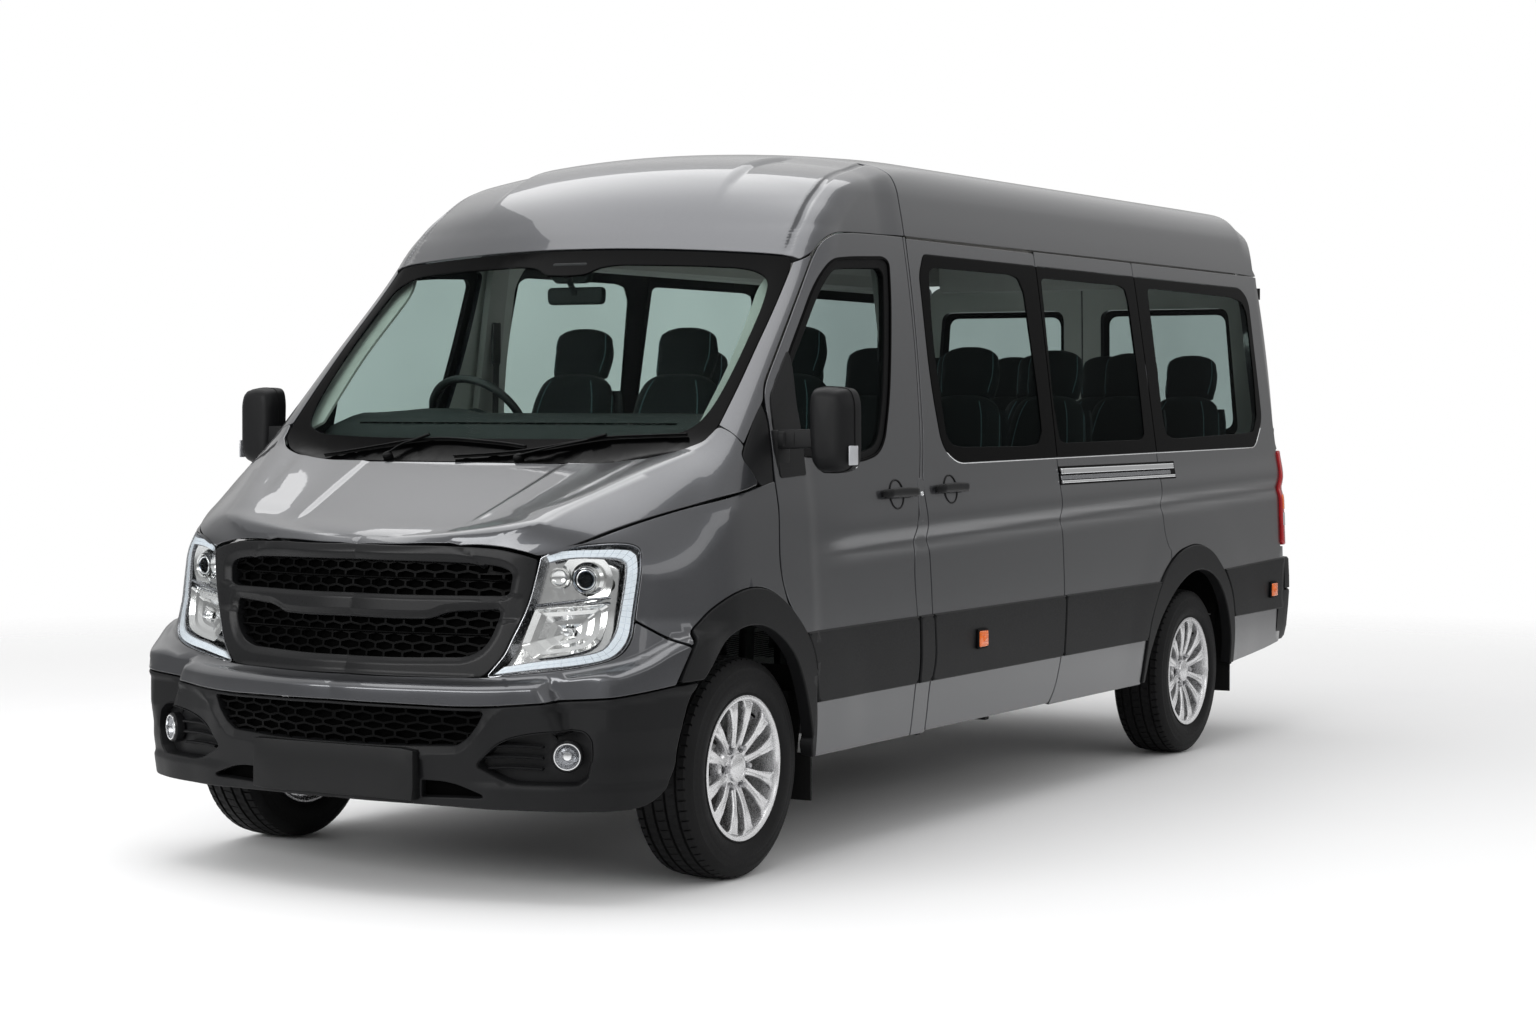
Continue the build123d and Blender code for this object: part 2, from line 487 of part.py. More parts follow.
floor = floor + box(1780, 1985, -540, 540, Z_FLOOR - 40, Z_FLOOR) + box(1985, 2005, -540, 540, Z_FLOOR - 40, 1235) + box(1985, 2005, -860, 860, 800, 1235)
floor = floor - sweep2
keep("chassis_floor", clean(floor, 20000))

keep("engine_block", box(2080, 2660, -270, 300, 480, 960))

sub = box(X_FRONT_AXLE - 110, X_FRONT_AXLE + 110, -390, 390, 300, 395)
for s in (1, -1):
    sub = sub + prism_z([(X_FRONT_AXLE - 180, s * 380), (X_FRONT_AXLE + 150, s * 380), (X_FRONT_AXLE + 42, s * 660), (X_FRONT_AXLE - 42, s * 660)], 255, 305)
    sub = sub + box(X_FRONT_AXLE - 100, X_FRONT_AXLE + 100, s * 380 - 12, s * 380 + 12, 270, 395)
    sub = sub + prism_z([(X_FRONT_AXLE - 42, s * 650), (X_FRONT_AXLE + 42, s * 650), (X_FRONT_AXLE + 14, s * KINGPIN_Y), (X_FRONT_AXLE - 14, s * KINGPIN_Y)], 262, 298)
    sub = sub + cyl(14, (X_FRONT_AXLE, s * KINGPIN_Y, 262), (X_FRONT_AXLE, s * KINGPIN_Y, 302))
sub = sub - box(2075, 2660, -275, 305, 475, 960)
keep("front_subframe", clean(sub, 20000))

axle = cyl_y(52, X_REAR_AXLE, TYRE_R, -740, 740) + Solid.make_sphere(150, Plane(origin=(X_REAR_AXLE, 0, TYRE_R)), -90, 90, 360)
axle = axle + cyl((34), (X_REAR_AXLE + 60, 0, TYRE_R), (1300, 0, 400))
for s in (1, -1):
    y = s * 520
    spring = prism_y([(X_REAR_AXLE - 700, 430), (X_REAR_AXLE - 350, 320), (X_REAR_AXLE, 285), (X_REAR_AXLE + 350, 320), (X_REAR_AXLE + 700, 430),
                      (X_REAR_AXLE + 700, 450), (X_REAR_AXLE + 350, 350), (X_REAR_AXLE, 325), (X_REAR_AXLE - 350, 350), (X_REAR_AXLE - 700, 450)], y - 35, y + 35)
    axle = axle + spring + cyl_y(26, X_REAR_AXLE - 700, 440, y - 50, y + 36) + cyl_y(26, X_REAR_AXLE + 700, 440, y - 50, y + 36)
    axle = axle + cyl_y(120, X_REAR_AXLE, TYRE_R, s * 700 - 12, s * 700 + 12)
axle = axle - floor
keep("rear_axle", clean(axle, 20000))

keep("fuel_tank", box(-200, 900, 485, 860, 300, 425))
ex = cyl(32, (1250, -600, 335), (-420, -600, 335))
ex = ex + box(-1000, -420, -700, -520, 270, 400) + cyl(30, (-1000, -640, 320), (-1160, -900, 300))
keep("exhaust", ex)
flap = [box(P(1.47, 0)[0], P(1.47, 0)[0] + 10, 760, 985, 200, 640), box(P(-2.335, 0)[0], P(-2.335, 0)[0] + 10, 740, 985, 225, 560)]
flap = [clean(f - sweep - sweep.moved(Location((-9, 0, 0))) - trim_f - trim_r - side_l - NODES["front_door_left"].moved(Location((8, 0, 0))) - NODES["front_door_left"] - floor, 1000) for f in flap]
keep("mudflaps", group(*flap, *[flip(f) for f in flap]))

# ---------------------------------------------------------------- wheels
def wheel(x, s, driven):
    y0, y1 = s * (TRACK_Y - TYRE_W / 2), s * (TRACK_Y + TYRE_W / 2)
    lo, hi = min(y0, y1), max(y0, y1)
    t = cyl_y(TYRE_R, x, TYRE_R, lo, hi) - cyl_y(RIM_R + 8, x, TYRE_R, lo - 1, hi + 1)
    t = t.chamfer(26, None, [e for e in t.edges() if e.geom_type == GeomType.CIRCLE and abs(e.radius - TYRE_R) < 1])
    lo2, hi2 = lo + 8, hi - 8
    r = cyl_y(RIM_R + 8, x, TYRE_R, lo2, hi2) - cyl_y(RIM_R - 14, x, TYRE_R, lo2 - 1, hi2 + 1)
    disc = cyl_y(RIM_R - 10, x, TYRE_R, min(s * (TRACK_Y + 40), s * (TRACK_Y + 80)), max(s * (TRACK_Y + 40), s * (TRACK_Y + 80)))
    for k in range(6):
        a = k * math.pi / 3 + math.pi / 6
        disc = disc - cyl_y(44, x + 145 * math.cos(a), TYRE_R + 145 * math.sin(a), -1300, 1300)
    bore = cyl_y(33, x, TYRE_R, -1300, 1300)
    r = r + disc + cyl_y(85, x, TYRE_R, min(s * (TRACK_Y - 0), s * (TRACK_Y + 80)), max(s * (TRACK_Y - 0), s * (TRACK_Y + 80)))
    r = r - cyl_y(33, x, TYRE_R, min(s * (TRACK_Y - 10), s * (TRACK_Y + 60)), max(s * (TRACK_Y - 10), s * (TRACK_Y + 60)))
    return t, r


for name, x, s in (("front_left", X_FRONT_AXLE, 1), ("front_right", X_FRONT_AXLE, -1), ("rear_left", X_REAR_AXLE, 1), ("rear_right", X_REAR_AXLE, -1)):
    t, r = wheel(x, s, "rear" in name)
    keep("tyre_" + name, t)
    keep("wheel_" + name, r)

# knuckles: hub stub and upright inside the wheel, with the brake disc
kn = cyl_y(32.95, X_FRONT_AXLE, TYRE_R, KINGPIN_Y - 20, TRACK_Y + 50) + cyl(34, (X_FRONT_AXLE, KINGPIN_Y - 30, 310), (X_FRONT_AXLE, KINGPIN_Y - 30, 560))
kn = kn + box(X_FRONT_AXLE - 45, X_FRONT_AXLE + 45, KINGPIN_Y - 55, KINGPIN_Y + 10, 305 + 3, 430) + cyl_y(140, X_FRONT_AXLE, TYRE_R, TRACK_Y - 70, TRACK_Y - 40)
kn = kn & box(0, 4000, KINGPIN_Y - 64, 1300, 0, 2000)
kn = kn + cyl(13, (X_FRONT_AXLE, KINGPIN_Y, 420), (X_FRONT_AXLE, KINGPIN_Y, 470))
keep("knuckle_left", kn)
keep("knuckle_right", flip(kn))
stub = cyl_y(32.95, X_REAR_AXLE, TYRE_R, 735, TRACK_Y + 50)
keep("rear_axle", clean(NODES["rear_axle"] + stub + flip(stub)))

# ---------------------------------------------------------------- cab and cabin
dash = prism_y([(1720, 960), (1640, 1100), (1650, 1250), (1690, 1330), (1960, 1330), (2080, 1200), (2080, 960)], -840, 840)
dash = dash + prism_y([(1650, 1250), (1690, 1400), (1740, 1455), (1790, 1465), (1950, 1425), (2060, 1330), (2080, 1200)], -790, 790)
dash = dash + prism_y([(1640, 1250), (1605, 1440), (1645, 1500), (1770, 1490), (1810, 1320)], -640, -260)
dash = dash + box(1600, 1900, -130, 130, Z_FLOOR + 20, 1000)
dash = dash & cab_t.moved(Location((-20, 0, 0)))
COL_A = math.radians(33)    # column's rise towards the driver
HUB = (1500.0, -450.0, 1420.0)
ax = (-math.cos(COL_A), 0.0, math.sin(COL_A))
rim = Solid.make_torus(190, 15, Plane(origin=HUB, z_dir=ax))
w0 = tuple(HUB[i] - 60 * ax[i] for i in range(3))
sw = rim + cyl(42, tuple(HUB[i] - 60 * ax[i] for i in range(3)), tuple(HUB[i] + 5 * ax[i] for i in range(3)))
pl = Plane(origin=w0, z_dir=ax, x_dir=(0, 1, 0))
for a in (0, 180, 270):
    d = Vector(math.cos(math.radians(a)), math.sin(math.radians(a)), 0)
    q = pl.from_local_coords(d * 185 + Vector(0, 0, 52))
    q0 = pl.from_local_coords(d * 30 + Vector(0, 0, 36))
    sw = sw + cyl(12, (q0.X, q0.Y, q0.Z), (q.X, q.Y, q.Z))
keep("steering_wheel", sw)
c0 = tuple(HUB[i] - 66 * ax[i] for i in range(3))
c1 = tuple(HUB[i] - 330 * ax[i] for i in range(3))
keep("dashboard", clean((dash + cyl(30, c0, c1)) - floor, 20000))


def seat(x, y, w, z=Z_FLOOR, head=1, lift=0, tall=0):
    """cushion, back and head-rest on a pedestal; x is the back's foot"""
    h = w / 2
    c = z + lift
    s = box(x + 40, x + 480, y - h, y + h, c + 330, c + 450)
    s = s + prism_y([(x + 60, c + 360), (x - 60, c + 360), (x - 190, c + 960 + tall), (x - 115, c + 970 + tall)], y - h, y + h)
    for k in range(head):
        yc = y + (k - (head - 1) / 2) * w / head
        s = s + prism_y([(x - 120, c + 950 + tall), (x - 195, c + 950 + tall), (x - 235, c + 1160), (x - 155, c + 1170)], yc - 125, yc + 125)
        s = s + box(x + 100, x + 420, yc - 150, yc + 150, z, c + 340)
    return s


cab_seats = [seat(1085, -400, 440, lift=45, tall=30), seat(1085, 275, 900, head=2, lift=45, tall=30)]
keep("cab_seats", group(*cab_seats))
ROWS = [-20.0, -820.0, -1620.0, -2330.0]
rows = []
for i, x in enumerate(ROWS):
    rows.append(seat(x, 445, 840, head=2))
    rows.append(seat(x, -560, 440) if i < 3 else seat(x, -445, 840, head=2))
rows = [max(solids(r - floor), key=lambda q: q.volume) for r in rows]
keep("passenger_seats", group(*rows))

keep("interior_mirror", box(1540, 1570, -110, 110, 1830, 1895) + cyl(10, (1565, 0, 1880), (1605, 0, 1905)))

# wipers lie on the glass
def wiper(p0, p1):
    return cyl(8, p0, p1)


keep("wipers", group(wiper((2131, -600, 1366), (2143, 10, 1386)), wiper((2149, 30, 1378), (2117, 640, 1392))))

# door mirrors
mir = prism_z([(1790, 1095), (1805, 1085), (1860, 1085), (1885, 1110), (1860, 1225), (1800, 1240), (1790, 1232)], 1272, 1552)
mir = mir + prism_z([(1815, 1100), (1868, 1100), (1878, 930), (1835, 930)], 1352, 1412) - outer
keep("door_mirror_left", clean(mir))
keep("door_mirror_right", flip(clean(mir)))

# runner cover behind the sliding door
rail = (forms(-8, 250)[0] - cab0) & prism_y([P(-0.500, 1.183), P(-0.500, 1.255), P(-1.630, 1.250), P(-1.630, 1.180)], 300, 1300)
keep("slide_rail_cover", clean(rail))

for name, shape in NODES.items():
    export_step(shape, "parts/%s.step" % name)
print(len(NODES), "nodes")
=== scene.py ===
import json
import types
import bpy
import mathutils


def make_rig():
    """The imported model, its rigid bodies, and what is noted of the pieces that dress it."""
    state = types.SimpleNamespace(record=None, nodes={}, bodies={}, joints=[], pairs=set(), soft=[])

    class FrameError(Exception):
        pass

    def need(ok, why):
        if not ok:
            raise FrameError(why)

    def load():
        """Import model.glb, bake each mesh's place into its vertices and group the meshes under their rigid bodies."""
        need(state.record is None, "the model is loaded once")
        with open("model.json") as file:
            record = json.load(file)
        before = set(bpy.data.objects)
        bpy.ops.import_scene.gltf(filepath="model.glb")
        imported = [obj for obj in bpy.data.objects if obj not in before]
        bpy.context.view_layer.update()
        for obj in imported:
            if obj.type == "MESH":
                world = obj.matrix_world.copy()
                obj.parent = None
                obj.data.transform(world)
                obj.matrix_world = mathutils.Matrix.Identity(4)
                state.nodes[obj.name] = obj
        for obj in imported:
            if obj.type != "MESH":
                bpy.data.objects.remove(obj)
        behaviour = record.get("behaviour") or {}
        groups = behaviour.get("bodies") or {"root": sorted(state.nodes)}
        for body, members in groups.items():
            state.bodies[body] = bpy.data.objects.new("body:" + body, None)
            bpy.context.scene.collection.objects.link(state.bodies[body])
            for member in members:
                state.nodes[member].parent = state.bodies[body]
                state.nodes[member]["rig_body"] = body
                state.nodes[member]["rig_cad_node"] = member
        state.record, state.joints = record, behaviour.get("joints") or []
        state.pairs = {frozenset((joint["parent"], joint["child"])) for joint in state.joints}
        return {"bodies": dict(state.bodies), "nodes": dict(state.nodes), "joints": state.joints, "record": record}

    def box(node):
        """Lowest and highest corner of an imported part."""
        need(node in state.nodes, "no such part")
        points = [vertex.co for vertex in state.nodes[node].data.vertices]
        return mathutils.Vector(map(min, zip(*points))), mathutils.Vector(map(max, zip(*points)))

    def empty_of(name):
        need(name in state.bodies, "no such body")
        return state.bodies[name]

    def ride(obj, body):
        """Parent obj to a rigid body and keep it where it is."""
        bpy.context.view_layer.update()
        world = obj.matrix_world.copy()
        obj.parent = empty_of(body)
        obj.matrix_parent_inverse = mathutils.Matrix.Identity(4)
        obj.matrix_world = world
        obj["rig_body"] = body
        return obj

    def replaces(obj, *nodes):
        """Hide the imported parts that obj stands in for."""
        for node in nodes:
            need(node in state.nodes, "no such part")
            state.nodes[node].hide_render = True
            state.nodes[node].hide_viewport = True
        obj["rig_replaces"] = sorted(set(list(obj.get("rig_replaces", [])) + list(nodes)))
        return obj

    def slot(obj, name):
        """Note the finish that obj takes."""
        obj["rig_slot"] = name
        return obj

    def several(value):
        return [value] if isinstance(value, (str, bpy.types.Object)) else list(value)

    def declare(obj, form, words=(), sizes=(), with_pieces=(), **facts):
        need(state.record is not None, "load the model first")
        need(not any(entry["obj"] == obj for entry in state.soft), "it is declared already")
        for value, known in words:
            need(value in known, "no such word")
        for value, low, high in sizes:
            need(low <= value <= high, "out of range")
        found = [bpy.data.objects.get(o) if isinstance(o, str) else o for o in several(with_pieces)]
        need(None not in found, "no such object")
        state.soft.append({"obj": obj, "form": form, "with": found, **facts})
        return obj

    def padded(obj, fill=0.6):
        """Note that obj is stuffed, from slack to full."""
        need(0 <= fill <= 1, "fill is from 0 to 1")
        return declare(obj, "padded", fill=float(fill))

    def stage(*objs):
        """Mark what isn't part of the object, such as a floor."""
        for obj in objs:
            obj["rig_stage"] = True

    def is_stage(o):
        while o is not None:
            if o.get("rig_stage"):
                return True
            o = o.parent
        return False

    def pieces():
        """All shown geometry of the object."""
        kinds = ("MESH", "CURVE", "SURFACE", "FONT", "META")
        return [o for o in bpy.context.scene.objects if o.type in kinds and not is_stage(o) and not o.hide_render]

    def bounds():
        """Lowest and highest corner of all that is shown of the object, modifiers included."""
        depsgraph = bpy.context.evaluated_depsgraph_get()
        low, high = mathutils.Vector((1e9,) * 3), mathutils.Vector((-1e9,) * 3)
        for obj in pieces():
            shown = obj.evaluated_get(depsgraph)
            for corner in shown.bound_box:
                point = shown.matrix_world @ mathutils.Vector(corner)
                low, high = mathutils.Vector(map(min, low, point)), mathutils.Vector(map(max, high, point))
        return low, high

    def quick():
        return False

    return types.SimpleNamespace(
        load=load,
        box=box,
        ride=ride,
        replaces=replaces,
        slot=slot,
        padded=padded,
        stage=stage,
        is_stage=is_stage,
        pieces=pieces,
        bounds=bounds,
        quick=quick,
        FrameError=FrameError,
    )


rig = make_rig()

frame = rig.load()
CAD_BOX = [list(map(float, p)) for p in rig.bounds()]

import bpy, bmesh, json, math
import numpy as np
from mathutils import Vector, Matrix
from mathutils.geometry import delaunay_2d_cdt

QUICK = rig.quick()
rnd = np.random.RandomState(7)
W, H = 1536, 1024

# ------------------------------------------------------------------ camera
CAM = np.array([9.7403, 5.4758, 1.4987]); YAW, PITCH, ROLL, FPX = 0.5225, 0.0386, 0.0008, 2846.18


def make_camera():
    cd = bpy.data.cameras.new("camera")
    cd.sensor_fit = 'HORIZONTAL'; cd.sensor_width = 36.0; cd.lens = FPX * 36.0 / W
    cd.clip_start = 0.1; cd.clip_end = 200
    co = bpy.data.objects.new("camera", cd)
    bpy.context.scene.collection.objects.link(co)
    d = Vector((-math.cos(YAW) * math.cos(PITCH), -math.sin(YAW) * math.cos(PITCH), -math.sin(PITCH)))
    r = d.cross(Vector((0, 0, 1))).normalized(); u = r.cross(d)
    r2 = r * math.cos(ROLL) + u * math.sin(ROLL); u2 = -r * math.sin(ROLL) + u * math.cos(ROLL)
    m = Matrix((r2, u2, -d)).transposed().to_4x4(); m.translation = Vector(CAM)
    co.matrix_world = m
    bpy.context.scene.camera = co


make_camera()

# ------------------------------------------------------------------ the body's surface, f = 0, in metres
def pchip(xs, ys):
    """monotone cubic through a short table; straight beyond its ends"""
    x = np.asarray(xs, float); y = np.asarray(ys, float)
    h = np.diff(x); d = np.diff(y) / h
    m = np.zeros(len(x)); m[0], m[-1] = d[0], d[-1]
    for i in range(1, len(x) - 1):
        if d[i - 1] * d[i] > 0:
            w1, w2 = 2 * h[i] + h[i - 1], h[i] + 2 * h[i - 1]
            m[i] = (w1 + w2) / (w1 / d[i - 1] + w2 / d[i])
    def f(q):
        q = np.asarray(q, float)
        i = np.clip(np.searchsorted(x, q) - 1, 0, len(h) - 1)
        t = (q - x[i]) / h[i]
        tc = np.clip(t, 0, 1)
        a = (1 + 2 * tc) * (1 - tc) ** 2 * y[i] + tc * (1 - tc) ** 2 * h[i] * m[i] + tc * tc * (3 - 2 * tc) * y[i + 1] + tc * tc * (tc - 1) * h[i] * m[i + 1]
        return a + np.where(t < 0, (q - x[0]) * m[0], 0) + np.where(t > 1, (q - x[-1]) * m[-1], 0)
    return f

def sstep(a, b, v):
    t = np.clip((v - a) / (b - a), 0, 1)
    return t * t * (3 - 2 * t)

def smax(a, b, k):
    h = np.maximum(k - np.abs(a - b), 0) / k
    return np.maximum(a, b) + h * h * k * 0.25

def smin(a, b, k):
    return -smax(-a, -b, k)

XF, XR = 2.065, -1.695
# half-width of the side by height
YS = pchip([0.20, 0.34, 0.52, 0.75, 1.00, 1.12, 1.28, 1.70, 2.08, 2.26, 2.36], [0.955, 0.985, 1.003, 1.011, 1.002, 0.996, 0.977, 0.925, 0.872, 0.838, 0.815])
# centre line of windscreen and cab roof: height, x
XC = pchip([1.00, 1.31, 1.66, 2.005, 2.03, 2.10, 2.20, 2.28, 2.33, 2.365, 2.40, 2.425, 2.44], [2.460, 2.185, 1.877, 1.572, 1.556, 1.512, 1.435, 1.330, 1.225, 1.105, 0.930, 0.730, 0.40])
# plan radius of the nose about (AX, 0), by angle from straight ahead: rows of height
AX = 2.10
PHI = np.radians([0, 20, 40, 52, 62, 74, 90])

def _plan(pts):
    """radius at the angles PHI of a smooth plan curve through a few (x, y)"""
    p = np.array(pts, float)
    ang = np.arctan2(p[:, 1], p[:, 0] - AX); r = np.hypot(p[:, 0] - AX, p[:, 1])
    o = np.argsort(ang)
    f = pchip(ang[o], r[o])
    return f

NOSE = [  # height, plan points front to side
    (0.25, [(2.880, 0), (2.862, 0.30), (2.800, 0.62), (2.740, 0.80), (2.660, 0.905), (2.500, 0.962), (2.10, 0.965)]),
    (0.52, [(2.915, 0), (2.893, 0.30), (2.822, 0.62), (2.765, 0.80), (2.690, 0.925), (2.540, 0.996), (2.10, 1.003)]),
    (0.66, [(2.838, 0), (2.818, 0.30), (2.752, 0.62), (2.665, 0.83), (2.580, 0.930), (2.430, 1.000), (2.10, 1.010)]),
    (0.85, [(2.812, 0), (2.792, 0.30), (2.722, 0.62), (2.616, 0.84), (2.500, 0.935), (2.340, 0.990), (2.10, 1.009)]),
    (1.06, [(2.785, 0), (2.765, 0.30), (2.702, 0.62), (2.580, 0.85), (2.450, 0.935), (2.300, 0.978), (2.10, 0.999)]),
    (1.45, [(2.740, 0), (2.720, 0.30), (2.655, 0.62), (2.530, 0.83), (2.400, 0.905), (2.260, 0.940), (2.10, 0.955)]),
]
_rows = [(z, _plan(p)) for z, p in NOSE]
# the strip over the bumper: an upright face, then a ledge that climbs towards the wheel arch
_mix = pchip([0.52, 0.590, 0.634, 0.6400, 0.668, 0.672], [0.0, 0.02, 0.06, 0.12, 0.97, 1.0])
_climb = pchip([0.0, 0.55, 0.80, 0.915, 1.0, 1.084, 1.17, 1.224, 1.40], [0.0, 0.002, 0.014, 0.034, 0.050, 0.074, 0.112, 0.128, 0.16])

def nose_r(phi, z):
    phi = np.clip(np.abs(phi), 0, np.pi / 2)
    zs = [r[0] for r in _rows]
    v = np.stack([r[1](phi) for r in _rows])
    out = v[0] + (z - zs[0]) / (zs[1] - zs[0]) * (v[1] - v[0])
    m = np.clip(_mix(z - _climb(phi)), 0, 1)
    up = v[2] + (z - zs[2]) / (zs[3] - zs[2]) * (v[3] - v[2])
    for i in (3, 4):
        t = (z - zs[i]) / (zs[i + 1] - zs[i])
        up = np.where(z > zs[i], v[i] + t * (v[i + 1] - v[i]), up)
    out = np.where(z > zs[1], v[1] + m * (up - v[1]), out)
    # near the flank the radius meets the side's own half-width
    w = sstep(np.radians(74), np.radians(90), phi)
    return out * (1 - w) + w * YS(z)

# hood: centre height by x, and the crease that bounds its raised middle
ZH = pchip([1.80, 2.185, 2.45, 2.62, 2.72, 2.785, 2.90], [1.445, 1.312, 1.205, 1.135, 1.096, 1.066, 1.000])

def hood_z(x, y):
    a = np.abs(y)
    x = np.minimum(x, 2.80)
    z = ZH(x) + 0.012 * np.cos(np.clip(a / 0.6, 0, 1) * np.pi) * 0
    # raised middle bounded by a U: half-width of the U at x
    u = CW(np.minimum(x, 2.745))
    out = a - u
    fall = np.where(out > 0, 0.34 * out + 2.3 * np.clip(out, 0, 1) ** 2, 0)
    z = z + 0.020 * sstep(-0.30, -0.02, out) * sstep(2.80, 2.66, x) - fall
    return z

CW = pchip([1.95, 2.20, 2.40, 2.55, 2.66, 2.72, 2.75], [0.90, 0.825, 0.745, 0.690, 0.625, 0.50, 0.30])

def f_parts(P):
    x, y, z = P[..., 0], P[..., 1], P[..., 2]
    a = np.abs(y)
    side = a - side_y(x, z)
    roof = z - (2.432 - 0.150 * y * y)
    xx = XC(np.maximum(z + 0.08 * y * y * sstep(2.0, 2.2, z), 1.16))
    D = 0.038 + 0.1392 * np.clip(z - 1.31, -0.2, 0.79)
    e = 1e-3
    sl = (XC(z + e) - XC(z - e)) / (2 * e)
    screen = (x - (xx - D * (y / 0.89) ** 2)) / np.sqrt(1 + sl * sl)
    rear = rear_g(x, y, z)
    cab = smax(side, screen, 0.11)
    cab = smax(cab, roof, 0.10)
    cab = smax(cab, rear, 0.055)
    # front end
    phi = np.arctan2(a, x - AX)
    r = np.hypot(x - AX, a)
    nose = np.where(x > AX, r - nose_r(phi, z), side)
    hood = (z - hood_z(x, y)) / 1.12
    front = smax(nose, hood, 0.035 + 0.06 * sstep(2.65, 2.3, x))
    front = np.maximum(front, 1.7 - x)
    return cab, front, side, screen, hood, nose, roof

def side_y(x, z):
    y = YS(z)
    # swell over the wheel arches
    for xc, amp in ((XF, 0.004), (XR, 0.003)):
        r = np.hypot(x - xc, (z - 0.36))
        y = y + amp * sstep(0.80, 0.60, r) * sstep(0.25, 0.45, z)
    # character line: a shallow hollow under a soft shoulder
    zl = 1.052 + (0.60 + 0.185 - x) * 0.024
    s = (z - zl)
    y = y - 0.010 * np.exp(-((s + 0.030) / 0.030) ** 2) * sstep(1.70, 1.35, x)
    y = y + 0.004 * np.exp(-((s - 0.045) / 0.05) ** 2) * sstep(1.70, 1.35, x)
    return y

XREAR = pchip([0.3, 1.30, 1.70, 2.00, 2.15, 2.25, 2.33, 2.39], [-2.806, -2.810, -2.806, -2.797, -2.780, -2.750, -2.692, -2.600])

def rear_g(x, y, z):
    # gently crowned in plan
    return (XREAR(z) - x) + 0.014 * (y / 0.9) ** 2

def f(P):
    cab, front, *_ = f_parts(P)
    return smin(cab, front, 0.03)

def grad(P, e=4e-4):
    g = np.zeros(P.shape)
    for i in range(3):
        d = np.zeros(3); d[i] = e
        g[..., i] = (f(P + d) - f(P - d)) / (2 * e)
    return g / np.maximum(np.linalg.norm(g, axis=-1, keepdims=True), 1e-9)

def hit(O, D, t0, t1, n=60):
    """farthest crossing from inside to outside along each ray, t in t0..t1"""
    O = np.broadcast_to(O, D.shape) if O.ndim < D.ndim else O
    ts = np.linspace(t1, t0, n)
    lo = np.full(O.shape[0], t0, float); hi = np.full(O.shape[0], t1, float)
    found = np.zeros(O.shape[0], bool)
    prev = np.full(O.shape[0], t1, float)
    for t in ts:
        v = f(O + D * t)
        ins = (v < 0) & ~found
        lo[ins] = t; hi[ins] = prev[ins]; found |= ins
        prev = np.where(found, prev, t)
    for _ in range(26):
        m = (lo + hi) / 2
        v = f(O + D * m[:, None])
        lo = np.where(v < 0, m, lo); hi = np.where(v < 0, hi, m)
    return O + D * ((lo + hi) / 2)[:, None], found


# ------------------------------------------------------------------ tools
R0 = 0.8
CEN = R0 * math.pi / 2


def solve(O, D, t0, t1, n=36):
    """outermost point of the body along each ray"""
    lo = np.full(len(O), t0, float); hi = np.full(len(O), t1, float)
    found = np.zeros(len(O), bool); prev = np.full(len(O), t1, float)
    for t in np.linspace(t1, t0, n):
        m = ~found
        if not m.any(): break
        v = f(O[m] + D[m] * t)
        idx = np.where(m)[0]; ins = idx[v < 0]; out = idx[v >= 0]
        lo[ins] = t; hi[ins] = prev[ins]; found[ins] = True
        prev[out] = t
    for _ in range(22):
        m = (lo + hi) / 2
        v = f(O + D * m[:, None])
        lo = np.where(v < 0, m, lo); hi = np.where(v < 0, hi, m)
    return O + D * ((lo + hi) / 2)[:, None]


def pull(P, k=3):
    """moves points near the surface onto it"""
    for _ in range(k):
        N = grad(P); P = P - N * f(P)[:, None]
    return P


def col(a, b, c): return np.stack([a + 0 * b + 0 * c, b + 0 * a + 0 * c, c + 0 * a + 0 * b], -1)


class Side:
    """x, z: seen from the left"""
    def pts(s, U): return solve(col(U[:, 0], 0 * U[:, 0], U[:, 1]), col(0 * U[:, 0], 1 + 0 * U[:, 0], 0 * U[:, 0]), 0.3, 1.3)
    def inv(s, P): return P[:, [0, 2]]


class Wrap:
    """c, z: round the nose, c measured from the centre line, positive to the left"""
    def pts(s, U):
        c, z = U[:, 0], U[:, 1]; a = np.abs(c); sg = np.where(c < 0, -1.0, 1.0)
        ph = np.minimum(a / R0, math.pi / 2); x = AX - np.maximum(a - CEN, 0)
        return solve(col(x, 0 * x, z), col(np.cos(ph), sg * np.sin(ph), 0 * x), 0.2, 1.35)
    def inv(s, P):
        x, y, z = P.T; a = np.abs(y); sg = np.where(y < 0, -1.0, 1.0)
        c = np.where(x > AX, np.arctan2(a, x - AX) * R0, CEN + AX - x)
        return np.stack([sg * c, z], 1)


class Top:
    """x, y: seen from above"""
    def pts(s, U): return solve(col(U[:, 0], U[:, 1], 0.9 + 0 * U[:, 0]), col(0 * U[:, 0], 0 * U[:, 0], 1 + 0 * U[:, 0]), 0.0, 0.75)
    def inv(s, P): return P[:, :2]


class Roof:
    """x, q: across the roof, q measured over it; the rays lean back near the tail"""
    XB, Z0, RR, RB = -2.45, 1.70, 0.85, 0.5
    def pts(s, U):
        u, q = U.T; th = q / s.RR; x = np.maximum(u, s.XB); ps = np.maximum(s.XB - u, 0) / s.RB
        return solve(col(x, 0 * x, s.Z0 + 0 * x), col(-np.sin(ps), np.cos(ps) * np.sin(th), np.cos(ps) * np.cos(th)), 0.2, 1.3)
    def inv(s, P):
        x, y, z = P.T; q = np.arctan2(y, z - s.Z0) * s.RR
        L = np.sqrt((x - s.XB) ** 2 + y * y + (z - s.Z0) ** 2)
        u = np.where(x > s.XB, x, s.XB - np.arcsin(np.clip((s.XB - x) / L, -1, 1)) * s.RB)
        return np.stack([u, q], 1)


